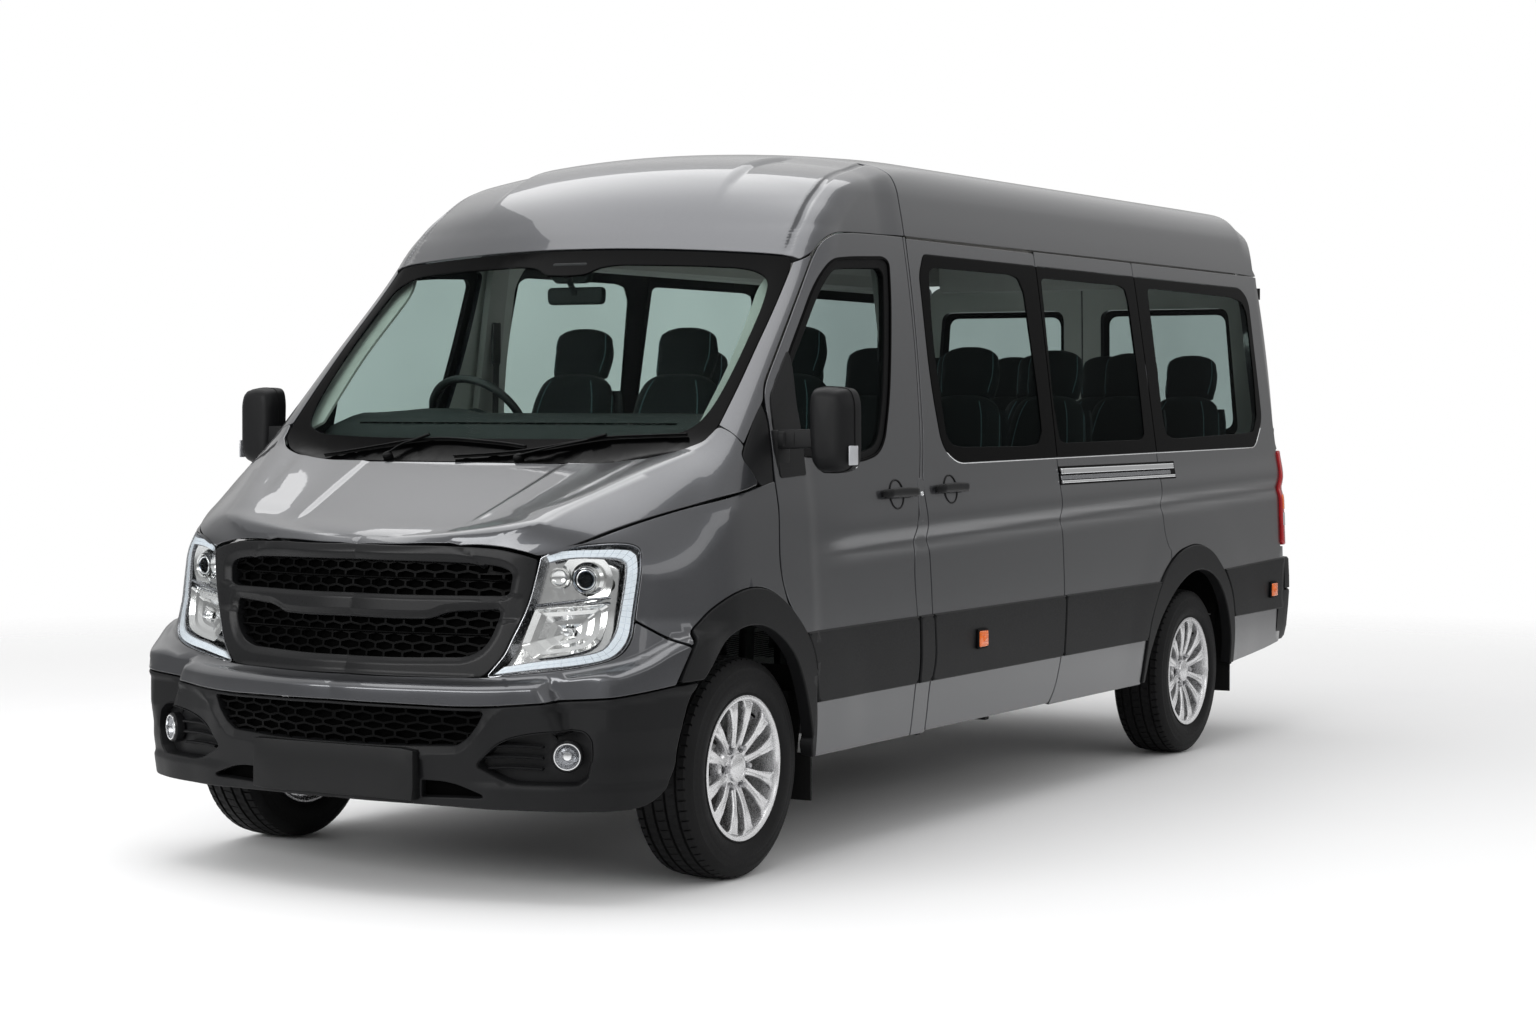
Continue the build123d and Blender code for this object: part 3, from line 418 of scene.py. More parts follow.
class Screen:
    """y, z: seen from the front"""
    def pts(s, U): return solve(col(0.4 + 0 * U[:, 0], U[:, 0], U[:, 1]), col(1 + 0 * U[:, 0], 0 * U[:, 0], 0 * U[:, 0]), 0.0, 2.0, 60)
    def inv(s, P): return P[:, 1:]


class Pillar:
    """w, z: round the front corner of the cab, by angle from a line behind the screen"""
    def x0(s, z): return XC(np.maximum(z, 1.16)) - 0.75
    def pts(s, U):
        w, z = U.T; a = w / 0.9; x = s.x0(z)
        return solve(col(x, 0 * x, z), col(np.cos(a), np.sin(a), 0 * x), 0.3, 1.6)
    def inv(s, P):
        x, y, z = P.T
        return np.stack([np.arctan2(y, x - s.x0(z)) * 0.9, z], 1)


class Rear:
    """y, z: seen from the back"""
    def pts(s, U): return solve(col(-1.8 + 0 * U[:, 0], U[:, 0], U[:, 1]), col(-1 + 0 * U[:, 0], 0 * U[:, 0], 0 * U[:, 0]), 0.5, 1.3)
    def inv(s, P): return P[:, 1:]


class Quarter:
    """s, z: along the left side, then round the rear corner"""
    XB, YB, RB = -2.60, 0.70, 0.30
    def pts(s, U):
        u, z = U.T; x = np.maximum(u, s.XB); ph = np.maximum(s.XB - u, 0) / s.RB
        return solve(col(x, s.YB + 0 * x, z), col(-np.sin(ph), np.cos(ph), 0 * x), 0.05, 0.6)
    def inv(s, P):
        x, y, z = P.T
        return np.stack([np.where(x > s.XB, x, s.XB - np.arctan2(s.XB - x, np.maximum(y - s.YB, 1e-4)) * s.RB), z], 1)


SIDE_M, WRAP, TOP, ROOF, SCR, PIL, REAR, QUA = Side(), Wrap(), Top(), Roof(), Screen(), Pillar(), Rear(), Quarter()


def P_(x, z): return (x + 0.185, z)


def rounded(pts, r=0.02, step=0.010, closed=True):
    """closed outline with its corners rounded; a point may carry its own radius"""
    n = len(pts); out = []
    p = [np.array(q[:2], float) for q in pts]
    for i in range(n):
        a, b, c = p[i - 1], p[i], p[(i + 1) % n]
        if not closed and i in (0, n - 1):
            out.append(b); continue
        la, lc = np.linalg.norm(a - b), np.linalg.norm(c - b)
        if la < 1e-6 or lc < 1e-6: continue
        ua, uc = (a - b) / la, (c - b) / lc
        turn = math.acos(max(-1, min(1, -float(ua @ uc))))
        rr = pts[i][2] if len(pts[i]) > 2 else r
        full = 0.5 * min(la, lc)
        if rr == 0: out.append(b); continue
        L = full if turn < math.radians(32) else min(full, rr * math.tan(turn / 2))
        k = max(2, int(turn / math.radians(9)) + 1, int(2 * L / step))
        for j in range(k + 1):
            t = j / k
            out.append((1 - t) ** 2 * (b + ua * L) + 2 * t * (1 - t) * b + t * t * (b + uc * L))
    q = [out[0]]
    for v in out[1:]:
        if np.linalg.norm(v - q[-1]) > 1e-5: q.append(v)
    if closed and np.linalg.norm(q[0] - q[-1]) < 1e-5: q.pop()
    q = np.array(q + ([q[0]] if closed else []))
    d = np.r_[0, np.cumsum(np.linalg.norm(np.diff(q, axis=0), axis=1))]
    # keep the tight corners' own points, and split the long runs
    res = []
    for i in range(len(q) - 1):
        m = max(1, int(round((d[i + 1] - d[i]) / step)))
        for j in range(m): res.append(q[i] + (q[i + 1] - q[i]) * j / m)
    if not closed: res.append(q[-1])
    res = np.array(res)
    keep = [0]
    for i in range(1, len(res)):
        if np.linalg.norm(res[i] - res[keep[-1]]) > step * 0.28: keep.append(i)
    if closed and np.linalg.norm(res[keep[-1]] - res[0]) < step * 0.28: keep.pop()
    return res[keep]


def area2(q): return float(np.sum(q[:, 0] * np.roll(q[:, 1], -1) - np.roll(q[:, 0], -1) * q[:, 1]))


def inside(poly, pts):
    x, y = pts[:, 0][:, None], pts[:, 1][:, None]
    x1, y1 = poly[:, 0][None], poly[:, 1][None]; x2, y2 = np.roll(x1, -1, 1), np.roll(y1, -1, 1)
    c = ((y1 > y) != (y2 > y)) & (x < (x2 - x1) * (y - y1) / np.where(y2 == y1, 1e-12, y2 - y1) + x1)
    return (c.sum(1) % 2) == 1


def near(poly, pts):
    if len(pts) * len(poly) > 400000:
        k = max(1, 400000 // len(poly)); return np.concatenate([near(poly, pts[i:i + k]) for i in range(0, len(pts), k)])
    a = poly[None]; b = np.roll(poly, -1, 0)[None]; p = pts[:, None]
    ab = b - a; t = np.clip(((p - a) * ab).sum(-1) / np.maximum((ab * ab).sum(-1), 1e-12), 0, 1)
    return np.sqrt((((a + ab * t[..., None]) - p) ** 2).sum(-1)).min(1)


def link(o):
    bpy.context.scene.collection.objects.link(o); return o


def mesh_from(name, verts, faces, mats, mi=None, normals=None, smooth=True):
    me = bpy.data.meshes.new(name)
    me.from_pydata([tuple(map(float, v)) for v in verts], [], [tuple(int(i) for i in q) for q in faces])
    for m in mats: me.materials.append(m)
    if mi is not None: me.polygons.foreach_set("material_index", np.array(mi, np.int32))
    me.polygons.foreach_set("use_smooth", [smooth] * len(me.polygons))
    me.update()
    if normals is not None and smooth:
        me.normals_split_custom_set([tuple(map(float, n)) for n in normals])
    return link(bpy.data.objects.new(name, me))


def cdt(ring_list, inner):
    """triangles inside the first ring and outside the others; returns points and triangles"""
    V = []; E = []; k = 0
    for r in ring_list:
        n = len(r); V += list(r); E += [(k + i, k + (i + 1) % n) for i in range(n)]; k += n
    nb = k; V += list(inner)
    vo, eo, fo, ov, oe, of_ = delaunay_2d_cdt([Vector((float(a), float(b))) for a, b in V], E, [], 0, 1e-7)
    back = {}
    P2 = np.array([tuple(v) for v in vo])
    idx = np.array([o[0] if o else -1 for o in ov])
    T = np.array([t for t in fo if len(t) == 3])
    c = P2[T].mean(1)
    ok = inside(ring_list[0], c)
    for h in ring_list[1:]: ok &= ~inside(h, c)
    T = T[ok]
    if (idx[T] < 0).any(): T = T[(idx[T] >= 0).all(1)]
    return np.array(V), idx[T], nb


PANELS = {}


def panel(name, mp, outline, holes=(), step=(0.04, 0.04), es=0.010, depth=0.03, lip=0.0025, off=0.0, mats=None, r=0.02, shape=None,
          rows=(), rs=0.012, disp=None):
    """a closed shell over part of the body: outer skin, rounded edges and inner skin; rows are lines the mesh follows"""
    mats = mats or [M['paint'], M['inner']]
    rings2 = [rounded(outline, r, es)] + [rounded(h, r, es) for h in holes]
    if area2(rings2[0]) < 0: rings2[0] = rings2[0][::-1]
    for i in range(1, len(rings2)):
        if area2(rings2[i]) > 0: rings2[i] = rings2[i][::-1]
    edge, N, S, r0, uv0 = [], [], [], [], []
    for q in rings2:
        P = mp.pts(q); n = grad(P)
        T = np.roll(P, -1, 0) - np.roll(P, 1, 0); T /= np.maximum(np.linalg.norm(T, axis=1, keepdims=True), 1e-9)
        s = np.cross(n, T); s /= np.maximum(np.linalg.norm(s, axis=1, keepdims=True), 1e-9)
        # inward: rings run so that the solid is on the left in the map
        test = mp.inv(pull(P + s * 0.004, 2)) - q
        d = np.roll(q, -1, 0) - np.roll(q, 1, 0); left = np.stack([-d[:, 1], d[:, 0]], 1)
        sgn = 1.0 if np.median((test * left).sum(1)) > 0 else -1.0
        s = s * sgn
        P0 = pull(P + s * lip, 2)
        edge.append(P); N.append(n); S.append(s); r0.append(P0); uv0.append(mp.inv(P0))
    lo, hi = rings2[0].min(0), rings2[0].max(0)
    ROW = None
    if len(rows):
        rr = []
        for line in rows:
            a = np.asarray(line, float); d = np.r_[0, np.cumsum(np.linalg.norm(np.diff(a, axis=0), axis=1))]
            s = np.linspace(0, d[-1], max(2, int(d[-1] / rs) + 1)); rr.append(np.stack([np.interp(s, d, a[:, i]) for i in (0, 1)], 1))
        rr = np.concatenate(rr); rr = rr[inside(uv0[0], rr)]
        for h in uv0[1:]: rr = rr[~inside(h, rr)]
        if len(rr):
            dm = np.full(len(rr), 9.0)
            for h in uv0: dm = np.minimum(dm, near(h, rr))
            rr = rr[dm > 0.0022]
        key = set(); kp = []
        for i, q in enumerate(rr):
            c = (round(q[0] / 0.0012), round(q[1] / 0.0012))
            if c not in key: key.add(c); kp.append(i)
        ROW = rr[kp] if len(kp) else None
    gx = np.arange(lo[0] + step[0] * 0.5, hi[0], step[0]); gy = np.arange(lo[1] + step[1] * 0.5, hi[1], step[1])
    G = np.stack(np.meshgrid(gx, gy), -1).reshape(-1, 2)
    if len(G):
        G = G[inside(uv0[0], G)]
        for h in uv0[1:]: G = G[~inside(h, G)]
        allb = np.concatenate(uv0)
        if len(G):
            k = np.zeros(len(G), bool); 
            for i in range(0, len(G), 4000):
                g = G[i:i + 4000]; dmin = np.full(len(g), 9.0)
                for h in uv0: dmin = np.minimum(dmin, near(h, g))
                k[i:i + 4000] = dmin > min(0.6 * es + 0.002, 0.45 * min(step))
            G = G[k]
    if ROW is not None:
        if len(G):
            far = np.full(len(G), 9.0)
            for i in range(0, len(ROW), 300): far = np.minimum(far, np.sqrt(((G[:, None] - ROW[None, i:i + 300]) ** 2).sum(-1)).min(1))
            G = G[far > 0.62 * rs]
        G = np.concatenate([G, ROW]) if len(G) else ROW
    V2, T, nb = cdt(uv0, G)
    P = np.concatenate([np.concatenate(r0), mp.pts(G)]) if len(G) else np.concatenate(r0)
    Nn = grad(P)
    edge, Nb, S, rr0 = np.concatenate(edge), np.concatenate(N), np.concatenate(S), np.concatenate(r0)
    if disp is not None:
        d = disp(P); P = P + Nn * d[:, None]; de = disp(edge); edge = edge + Nb * de[:, None]; rr0 = rr0 + Nn[:nb] * d[:nb, None]
        # shade by the displaced form
        Nn = displaced_normals(P, Nn, disp)
    C = edge + S * lip - Nb * lip
    r1 = C + (Nb - S) * lip * 0.70711; r2 = C - S * lip
    dep = depth
    r3 = edge - Nb * dep
    o = Nn * off
    shift = Nb * off
    nv = len(P)
    inner_v = P - Nn * dep
    V = np.concatenate([P + o, r1 + shift, r2 + shift, r3 + shift, inner_v[nb:] + o[nb:]])
    i1, i2, i3, i4 = nv, nv + nb, nv + 2 * nb, nv + 3 * nb
    flipw = False
    t = T[len(T) // 2]
    g = np.cross(P[T][:, 1] - P[T][:, 0], P[T][:, 2] - P[T][:, 0])
    if (g * Nn[T[:, 0]]).sum() < 0: T = T[:, ::-1]; flipw = True
    faces = [tuple(q) for q in T]; mi = [0] * len(T); LN = [Nn[i] for q in T for i in q]
    n45 = (Nb - S); n45 /= np.linalg.norm(n45, axis=1, keepdims=True)
    k = 0
    for q in rings2:
        n = len(q)
        for i in range(n):
            a, b = k + i, k + (i + 1) % n
            for (A, NA), (B, NB) in (((0, Nn), (i1, n45)), ((i1, n45), (i2, -S)), ((i2, -S), (i3, -S))):
                quad = [(B + a, NB[a]), (B + b, NB[b]), (A + b, NA[b]), (A + a, NA[a])]
                if flipw: quad = quad[::-1]
                faces.append(tuple(v for v, _ in quad)); LN += [w for _, w in quad]; mi.append(0)
        k += n
    inn = lambda i: i3 + i if i < nb else i4 + i - nb
    for q in T:
        z = q[::-1]
        faces.append(tuple(inn(i) for i in z)); LN += [-Nn[i] for i in z]; mi.append(1)
    ob = mesh_from(name, V, faces, mats, mi, LN)
    PANELS[name] = ob
    return ob


def displaced_normals(P, N, disp, e=1e-3):
    T = np.cross(N, np.where(np.abs(N[:, :1]) < 0.7, np.array([[1.0, 0, 0]]), np.array([[0, 1.0, 0]])))
    T /= np.linalg.norm(T, axis=1, keepdims=True); B = np.cross(N, T)
    dt = (disp(P + T * e) - disp(P - T * e)) / (2 * e); db = (disp(P + B * e) - disp(P - B * e)) / (2 * e)
    n = N - T * dt[:, None] - B * db[:, None]
    return n / np.linalg.norm(n, axis=1, keepdims=True)


def mirror(ob, name):
    """the same piece on the right"""
    me = ob.data.copy(); me.name = name
    n = len(me.vertices); co = np.empty(n * 3); me.vertices.foreach_get("co", co); co = co.reshape(-1, 3)
    L = len(me.loops); nr = np.empty(L * 3)
    try: me.corner_normals.foreach_get("vector", nr)
    except Exception: nr = None
    polys = [tuple(p.vertices) for p in me.polygons]; starts = [p.loop_start for p in me.polygons]
    mi = [p.material_index for p in me.polygons]
    sm = me.polygons[0].use_smooth if len(me.polygons) else True
    co[:, 1] *= -1
    faces = [p[::-1] for p in polys]
    LN = None
    if nr is not None and sm:
        nr = nr.reshape(-1, 3).copy(); nr[:, 1] *= -1
        LN = []
        for p, s in zip(polys, starts): LN += [nr[s + i] for i in range(len(p) - 1, -1, -1)]
    return mesh_from(name, co, faces, list(ob.data.materials), mi, LN, sm)


def own(ob, body, slot, *nodes):
    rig.ride(ob, body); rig.slot(ob, slot)
    if nodes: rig.replaces(ob, *nodes)
    return ob


def join_objs(name, obs):
    """several meshes become one piece, keeping their normals"""
    V, F, MI, LN, mats = [], [], [], [], []
    k = 0
    for o in obs:
        me = o.data; n = len(me.vertices); co = np.empty(n * 3); me.vertices.foreach_get("co", co)
        mw = np.array(o.matrix_world); co = co.reshape(-1, 3) @ mw[:3, :3].T + mw[:3, 3]
        V.append(co)
        nr = np.empty(len(me.loops) * 3); me.corner_normals.foreach_get("vector", nr); nr = nr.reshape(-1, 3) @ np.linalg.inv(mw[:3, :3])
        LN.append(nr)
        mm = []
        for m in me.materials:
            if m not in mats: mats.append(m)
            mm.append(mats.index(m))
        for p in me.polygons:
            F.append(tuple(v + k for v in p.vertices)); MI.append(mm[p.material_index] if mm else 0)
        k += n
        bpy.data.objects.remove(o)
    return mesh_from(name, np.concatenate(V), F, mats, MI, np.concatenate(LN))


def auto_normals(ob, angle=35):
    """smooth where faces meet gently, crisp elsewhere; baked to corner normals"""
    me = ob.data
    me.polygons.foreach_set("use_smooth", [True] * len(me.polygons))
    bm = bmesh.new(); bm.from_mesh(me)
    lim = math.radians(angle)
    for e in bm.edges: e.smooth = e.calc_face_angle(0.0) < lim if len(e.link_faces) == 2 else False
    bm.to_mesh(me); bm.free(); me.update()
    return ob


def obj_bm(name, bm, mats, angle=35):
    me = bpy.data.meshes.new(name); bm.to_mesh(me); bm.free()
    for m in mats: me.materials.append(m)
    o = link(bpy.data.objects.new(name, me))
    return auto_normals(o, angle)


def rbox(name, lo, hi, mat, bevel=0.006, seg=3, mats=None):
    """a block with rounded edges"""
    bm = bmesh.new(); bmesh.ops.create_cube(bm, size=1)
    lo, hi = Vector(lo), Vector(hi)
    for v in bm.verts: v.co = Vector(((v.co.x + .5) * (hi.x - lo.x) + lo.x, (v.co.y + .5) * (hi.y - lo.y) + lo.y, (v.co.z + .5) * (hi.z - lo.z) + lo.z))
    if bevel: bmesh.ops.bevel(bm, geom=bm.edges[:], offset=bevel, segments=seg, profile=0.5, affect='EDGES', clamp_overlap=True)
    return obj_bm(name, bm, mats or [mat], 40)


def prism(name, poly, axis, a, b, mat, bevel=0.004, seg=2, r=0.01, es=0.02, do_round=True):
    """a flat outline carried along an axis, edges rounded. axis 'x': outline (y, z); 'y': (x, z); 'z': (x, y)"""
    q = rounded(poly, r, es) if do_round else np.array([p[:2] for p in poly])
    put = {'x': lambda u, v, t: (t, u, v), 'y': lambda u, v, t: (u, t, v), 'z': lambda u, v, t: (u, v, t)}[axis]
    bm = bmesh.new()
    A = [bm.verts.new(put(u, v, a)) for u, v in q]; B = [bm.verts.new(put(u, v, b)) for u, v in q]
    n = len(q)
    fa = bm.faces.new(A); fb = bm.faces.new(B[::-1])
    for i in range(n): bm.faces.new((A[(i + 1) % n], A[i], B[i], B[(i + 1) % n]))
    bmesh.ops.recalc_face_normals(bm, faces=bm.faces[:])
    if bevel:
        ed = [e for e in bm.edges if e in set(fa.edges) | set(fb.edges)]
        bmesh.ops.bevel(bm, geom=ed, offset=bevel, segments=seg, profile=0.5, affect='EDGES', clamp_overlap=True)
    bmesh.ops.triangulate(bm, faces=[f_ for f_ in bm.faces if len(f_.verts) > 4])
    return obj_bm(name, bm, [mat], 40)


def lathe(name, prof, axis_o, axis_d, mat, n=64, closed=False, mats=None, mi=None, angle=30, ref=None):
    """profile (distance along the axis, radius) turned about it"""
    d = Vector(axis_d).normalized(); o = Vector(axis_o)
    u = Vector(ref).normalized() if ref is not None else d.orthogonal().normalized()
    u = (u - d * u.dot(d)).normalized(); w = d.cross(u)
    V = []; F = []; MI = []
    m = len(prof)
    for j in range(n):
        a = 2 * math.pi * j / n; e = u * math.cos(a) + w * math.sin(a)
        for t, r in prof: V.append(o + d * t + e * r)
    for j in range(n):
        k = (j + 1) % n
        for i in range(m - (0 if closed else 1)):
            i2 = (i + 1) % m
            F.append((j * m + i, j * m + i2, k * m + i2, k * m + i)); MI.append(mi[i] if mi else 0)
    bm = bmesh.new(); vs = [bm.verts.new(v) for v in V]
    for q, mm in zip(F, MI):
        try: fc = bm.faces.new([vs[i] for i in q]); fc.material_index = mm
        except ValueError: pass
    bmesh.ops.remove_doubles(bm, verts=bm.verts[:], dist=1e-6)
    bmesh.ops.recalc_face_normals(bm, faces=bm.faces[:])
    return obj_bm(name, bm, mats or [mat], angle)


def tube(name, pts, r, mat, n=12, cap=True, smooth_path=0, ends=None, flat=1.0, up=(0, 0, 1)):
    """a round bar along a path; r may be a list; flat squeezes it across 'up'"""
    P = [Vector(p) for p in pts]
    if smooth_path:
        Q = []
        m = len(P)
        for i in range(m - 1):
            p0, p1, p2, p3 = P[max(i - 1, 0)], P[i], P[i + 1], P[min(i + 2, m - 1)]
            for j in range(smooth_path):
                t = j / smooth_path
                Q.append(0.5 * ((2 * p1) + (p2 - p0) * t + (2 * p0 - 5 * p1 + 4 * p2 - p3) * t * t + (3 * p1 - p0 - 3 * p2 + p3) * t ** 3))
        Q.append(P[-1]); 
        rr = r if not isinstance(r, (list, tuple)) else list(np.interp(np.linspace(0, len(P) - 1, len(Q)), range(len(P)), r))
        P, r = Q, rr
    rs = r if isinstance(r, (list, tuple)) else [r] * len(P)
    up = Vector(up); V = []; F = []
    prev = None
    for i, p in enumerate(P):
        t = (P[min(i + 1, len(P) - 1)] - P[max(i - 1, 0)]).normalized()
        a = t.cross(up)
        if a.length < 1e-3: a = prev or t.orthogonal()
        a.normalize(); prev = a; b = a.cross(t).normalized()
        for j in range(n):
            c = 2 * math.pi * j / n
            V.append(p + a * math.cos(c) * rs[i] + b * math.sin(c) * rs[i] * flat)
    m = len(P)
    for i in range(m - 1):
        for j in range(n):
            F.append((i * n + j, i * n + (j + 1) % n, (i + 1) * n + (j + 1) % n, (i + 1) * n + j))
    if cap:
        F.append(tuple(range(n))[::-1]); F.append(tuple((m - 1) * n + j for j in range(n)))
    bm = bmesh.new(); vs = [bm.verts.new(v) for v in V]
    for q in F: bm.faces.new([vs[i] for i in q])
    bmesh.ops.recalc_face_normals(bm, faces=bm.faces[:])
    return obj_bm(name, bm, [mat], 45)


def curve(pts, n):
    """evenly spaced points along a smooth run through the given ones"""
    q = []
    p = [np.array(a, float) for a in pts]
    for i in range(len(p) - 1):
        p0, p1, p2, p3 = p[max(i - 1, 0)], p[i], p[i + 1], p[min(i + 2, len(p) - 1)]
        for j in range(12):
            t = j / 12
            q.append(0.5 * ((2 * p1) + (p2 - p0) * t + (2 * p0 - 5 * p1 + 4 * p2 - p3) * t * t + (3 * p1 - p0 - 3 * p2 + p3) * t ** 3))
    q.append(p[-1]); q = np.array(q)
    d = np.r_[0, np.cumsum(np.linalg.norm(np.diff(q, axis=0), axis=1))]
    s = np.linspace(0, d[-1], n)
    return np.stack([np.interp(s, d, q[:, i]) for i in range(q.shape[1])], 1)



# ------------------------------------------------------------------ materials
M = {}


class NT:
    def __init__(s, name):
        m = bpy.data.materials.new(name); m.use_nodes = True
        s.m, s.t = m, m.node_tree; s.t.nodes.clear()
        s.out = s.t.nodes.new('ShaderNodeOutputMaterial')
        s.co = s.t.nodes.new('ShaderNodeTexCoord').outputs['Object']
    def n(s, kind, **k):
        q = s.t.nodes.new(kind)
        for a, b in k.items(): setattr(q, a, b)
        return q
    def l(s, a, b): s.t.links.new(a, b)
    def noise(s, scale, detail=3, rough=0.5, vec=None):
        q = s.n('ShaderNodeTexNoise'); q.inputs['Scale'].default_value = scale; q.inputs['Detail'].default_value = detail
        q.inputs['Roughness'].default_value = rough; s.l(vec or s.co, q.inputs['Vector']); return q.outputs['Fac']
    def mapping(s, scale=(1, 1, 1), rot=(0, 0, 0), vec=None):
        q = s.n('ShaderNodeMapping'); q.inputs['Scale'].default_value = scale; q.inputs['Rotation'].default_value = rot
        s.l(vec or s.co, q.inputs['Vector']); return q.outputs['Vector']
    def ramp(s, fac, stops, interp='LINEAR'):
        q = s.n('ShaderNodeValToRGB'); q.color_ramp.interpolation = interp
        e = q.color_ramp.elements
        e[0].position, e[0].color = stops[0][0], (*stops[0][1], 1)
        e[1].position, e[1].color = stops[-1][0], (*stops[-1][1], 1)
        for p, c in stops[1:-1]:
            x = e.new(p); x.color = (*c, 1)
        s.l(fac, q.inputs['Fac']); return q.outputs['Color']
    def rng(s, fac, a, b, lo=0.0, hi=1.0):
        q = s.n('ShaderNodeMapRange'); q.inputs['From Min'].default_value = lo; q.inputs['From Max'].default_value = hi
        q.inputs['To Min'].default_value = a; q.inputs['To Max'].default_value = b; s.l(fac, q.inputs['Value']); return q.outputs['Result']
    def mix(s, fac, a, b, kind='MIX'):
        q = s.n('ShaderNodeMix', data_type='RGBA', blend_type=kind)
        for v, i in ((a, 6), (b, 7)):
            if isinstance(v, tuple): q.inputs[i].default_value = (*v, 1)
            else: s.l(v, q.inputs[i])
        if isinstance(fac, (int, float)): q.inputs[0].default_value = fac
        else: s.l(fac, q.inputs[0])
        return q.outputs[2]
    def math(s, op, a, b=None, c=None):
        q = s.n('ShaderNodeMath', operation=op)
        for i, v in enumerate((a, b, c)):
            if v is None: continue
            if isinstance(v, (int, float)): q.inputs[i].default_value = v
            else: s.l(v, q.inputs[i])
        return q.outputs[0]
    def bump(s, h, strength=0.2, dist=0.001, prev=None):
        q = s.n('ShaderNodeBump'); q.inputs['Strength'].default_value = strength; q.inputs['Distance'].default_value = dist
        s.l(h, q.inputs['Height'])
        if prev is not None: s.l(prev, q.inputs['Normal'])
        return q.outputs['Normal']
    def bsdf(s, **k):
        q = s.n('ShaderNodeBsdfPrincipled')
        for a, b in k.items():
            key = {'color': 'Base Color', 'rough': 'Roughness', 'metal': 'Metallic', 'coat': 'Coat Weight', 'coat_rough': 'Coat Roughness', 'ior': 'IOR',
                   'spec': 'Specular IOR Level', 'sheen': 'Sheen Weight', 'normal': 'Normal', 'trans': 'Transmission Weight', 'alpha': 'Alpha',
                   'emit': 'Emission Color', 'emits': 'Emission Strength', 'sub': 'Subsurface Weight', 'sheen_rough': 'Sheen Roughness'}[a]
            i = q.inputs[key]
            if isinstance(b, tuple): i.default_value = (*b, 1) if len(b) == 3 else b
            elif isinstance(b, (int, float)): i.default_value = b
            else: s.l(b, i)
        return q
    def done(s, sh):
        s.l(sh.outputs[0], s.out.inputs['Surface']); return s.m


def tint(c, k): return tuple(min(1.0, max(0.0, v * k)) for v in c)


def paint(name, c, flake=0.22):
    t = NT(name)
    fl = t.noise(900, 2, 0.6); big = t.noise(1.3, 2)
    a = t.ramp(fl, [(0.30, tint(c, 1 - flake)), (0.55, c), (0.75, tint(c, 1 + 1.6 * flake))])
    a = t.mix(t.rng(big, 0.0, 0.10, 0.3, 0.7), a, tint(c, 0.8))
    v = t.n('ShaderNodeTexVoronoi'); v.inputs['Scale'].default_value = 1400; t.l(t.co, v.inputs['Vector'])
    r = t.rng(v.outputs['Distance'], 0.24, 0.36, 0, 0.8)
    n1 = t.bump(fl, 0.10, 0.0003)
    peel = t.bump(t.noise(45, 1), 0.018, 0.002)
    b = t.bsdf(color=a, metal=0.82, rough=r, coat=1.0, coat_rough=0.025, spec=0.5, normal=n1)
    t.l(peel, b.inputs['Coat Normal'])
    return t.done(b)


def plastic(name, c, rough=0.55, var=0.12, vs=6, grain=420, gs=0.25, dist=0.0004, spec=0.45, coat=0.0, edge=None, dust=0.0):
    t = NT(name)
    a = t.ramp(t.noise(vs, 4), [(0.3, tint(c, 1 - var)), (0.7, tint(c, 1 + var))])
    if dust:
        z = t.n('ShaderNodeSeparateXYZ'); t.l(t.co, z.inputs[0])
        low = t.rng(z.outputs['Z'], 1.0, 0.0, 0.1, 0.9)
        a = t.mix(t.math('MULTIPLY', t.math('MULTIPLY', low, t.noise(9, 5, 0.65)), dust), a, (0.19, 0.18, 0.17))
    g = t.noise(grain, 2, 0.6)
    r = t.rng(t.noise(grain * 0.3, 3), rough - 0.06, rough + 0.06, 0.3, 0.7)
    b = t.bsdf(color=a, rough=r, spec=spec, normal=t.bump(g, gs, dist), coat=coat, coat_rough=0.05)
    return t.done(b)


def metal(name, c, rough=0.3, var=0.08, vs=8, grain=260, gs=0.06, m=1.0, coat=0.0, dist=0.0005):
    t = NT(name)
    a = t.ramp(t.noise(vs, 4), [(0.3, tint(c, 1 - var)), (0.7, tint(c, 1 + var))])
    r = t.rng(t.noise(grain * 0.4, 3), max(rough - 0.07, 0.02), rough + 0.07, 0.3, 0.7)
    b = t.bsdf(color=a, rough=r, metal=m, normal=t.bump(t.noise(grain, 2), gs, dist), coat=coat, coat_rough=0.04)
    return t.done(b)


def fabric(name, c, scale=520, var=0.25, sheen=0.4, gs=0.5):
    t = NT(name)
    w = t.n('ShaderNodeTexWave', wave_type='BANDS', bands_direction='DIAGONAL'); w.inputs['Scale'].default_value = scale * 0.6; w.inputs['Distortion'].default_value = 1.2
    t.l(t.co, w.inputs['Vector'])
    w2 = t.n('ShaderNodeTexWave', wave_type='BANDS', bands_direction='Z'); w2.inputs['Scale'].default_value = scale * 0.6; w2.inputs['Distortion'].default_value = 1.0
    t.l(t.co, w2.inputs['Vector'])
    h = t.math('MULTIPLY', w.outputs['Fac'], w2.outputs['Fac'])
    a = t.ramp(t.math('ADD', t.math('MULTIPLY', h, 0.6), t.math('MULTIPLY', t.noise(14, 4), 0.5)), [(0.2, tint(c, 1 - var)), (0.9, tint(c, 1 + 1.4 * var))])
    b = t.bsdf(color=a, rough=0.85, spec=0.25, sheen=sheen, sheen_rough=0.5, normal=t.bump(h, gs, 0.0006))
    return t.done(b)


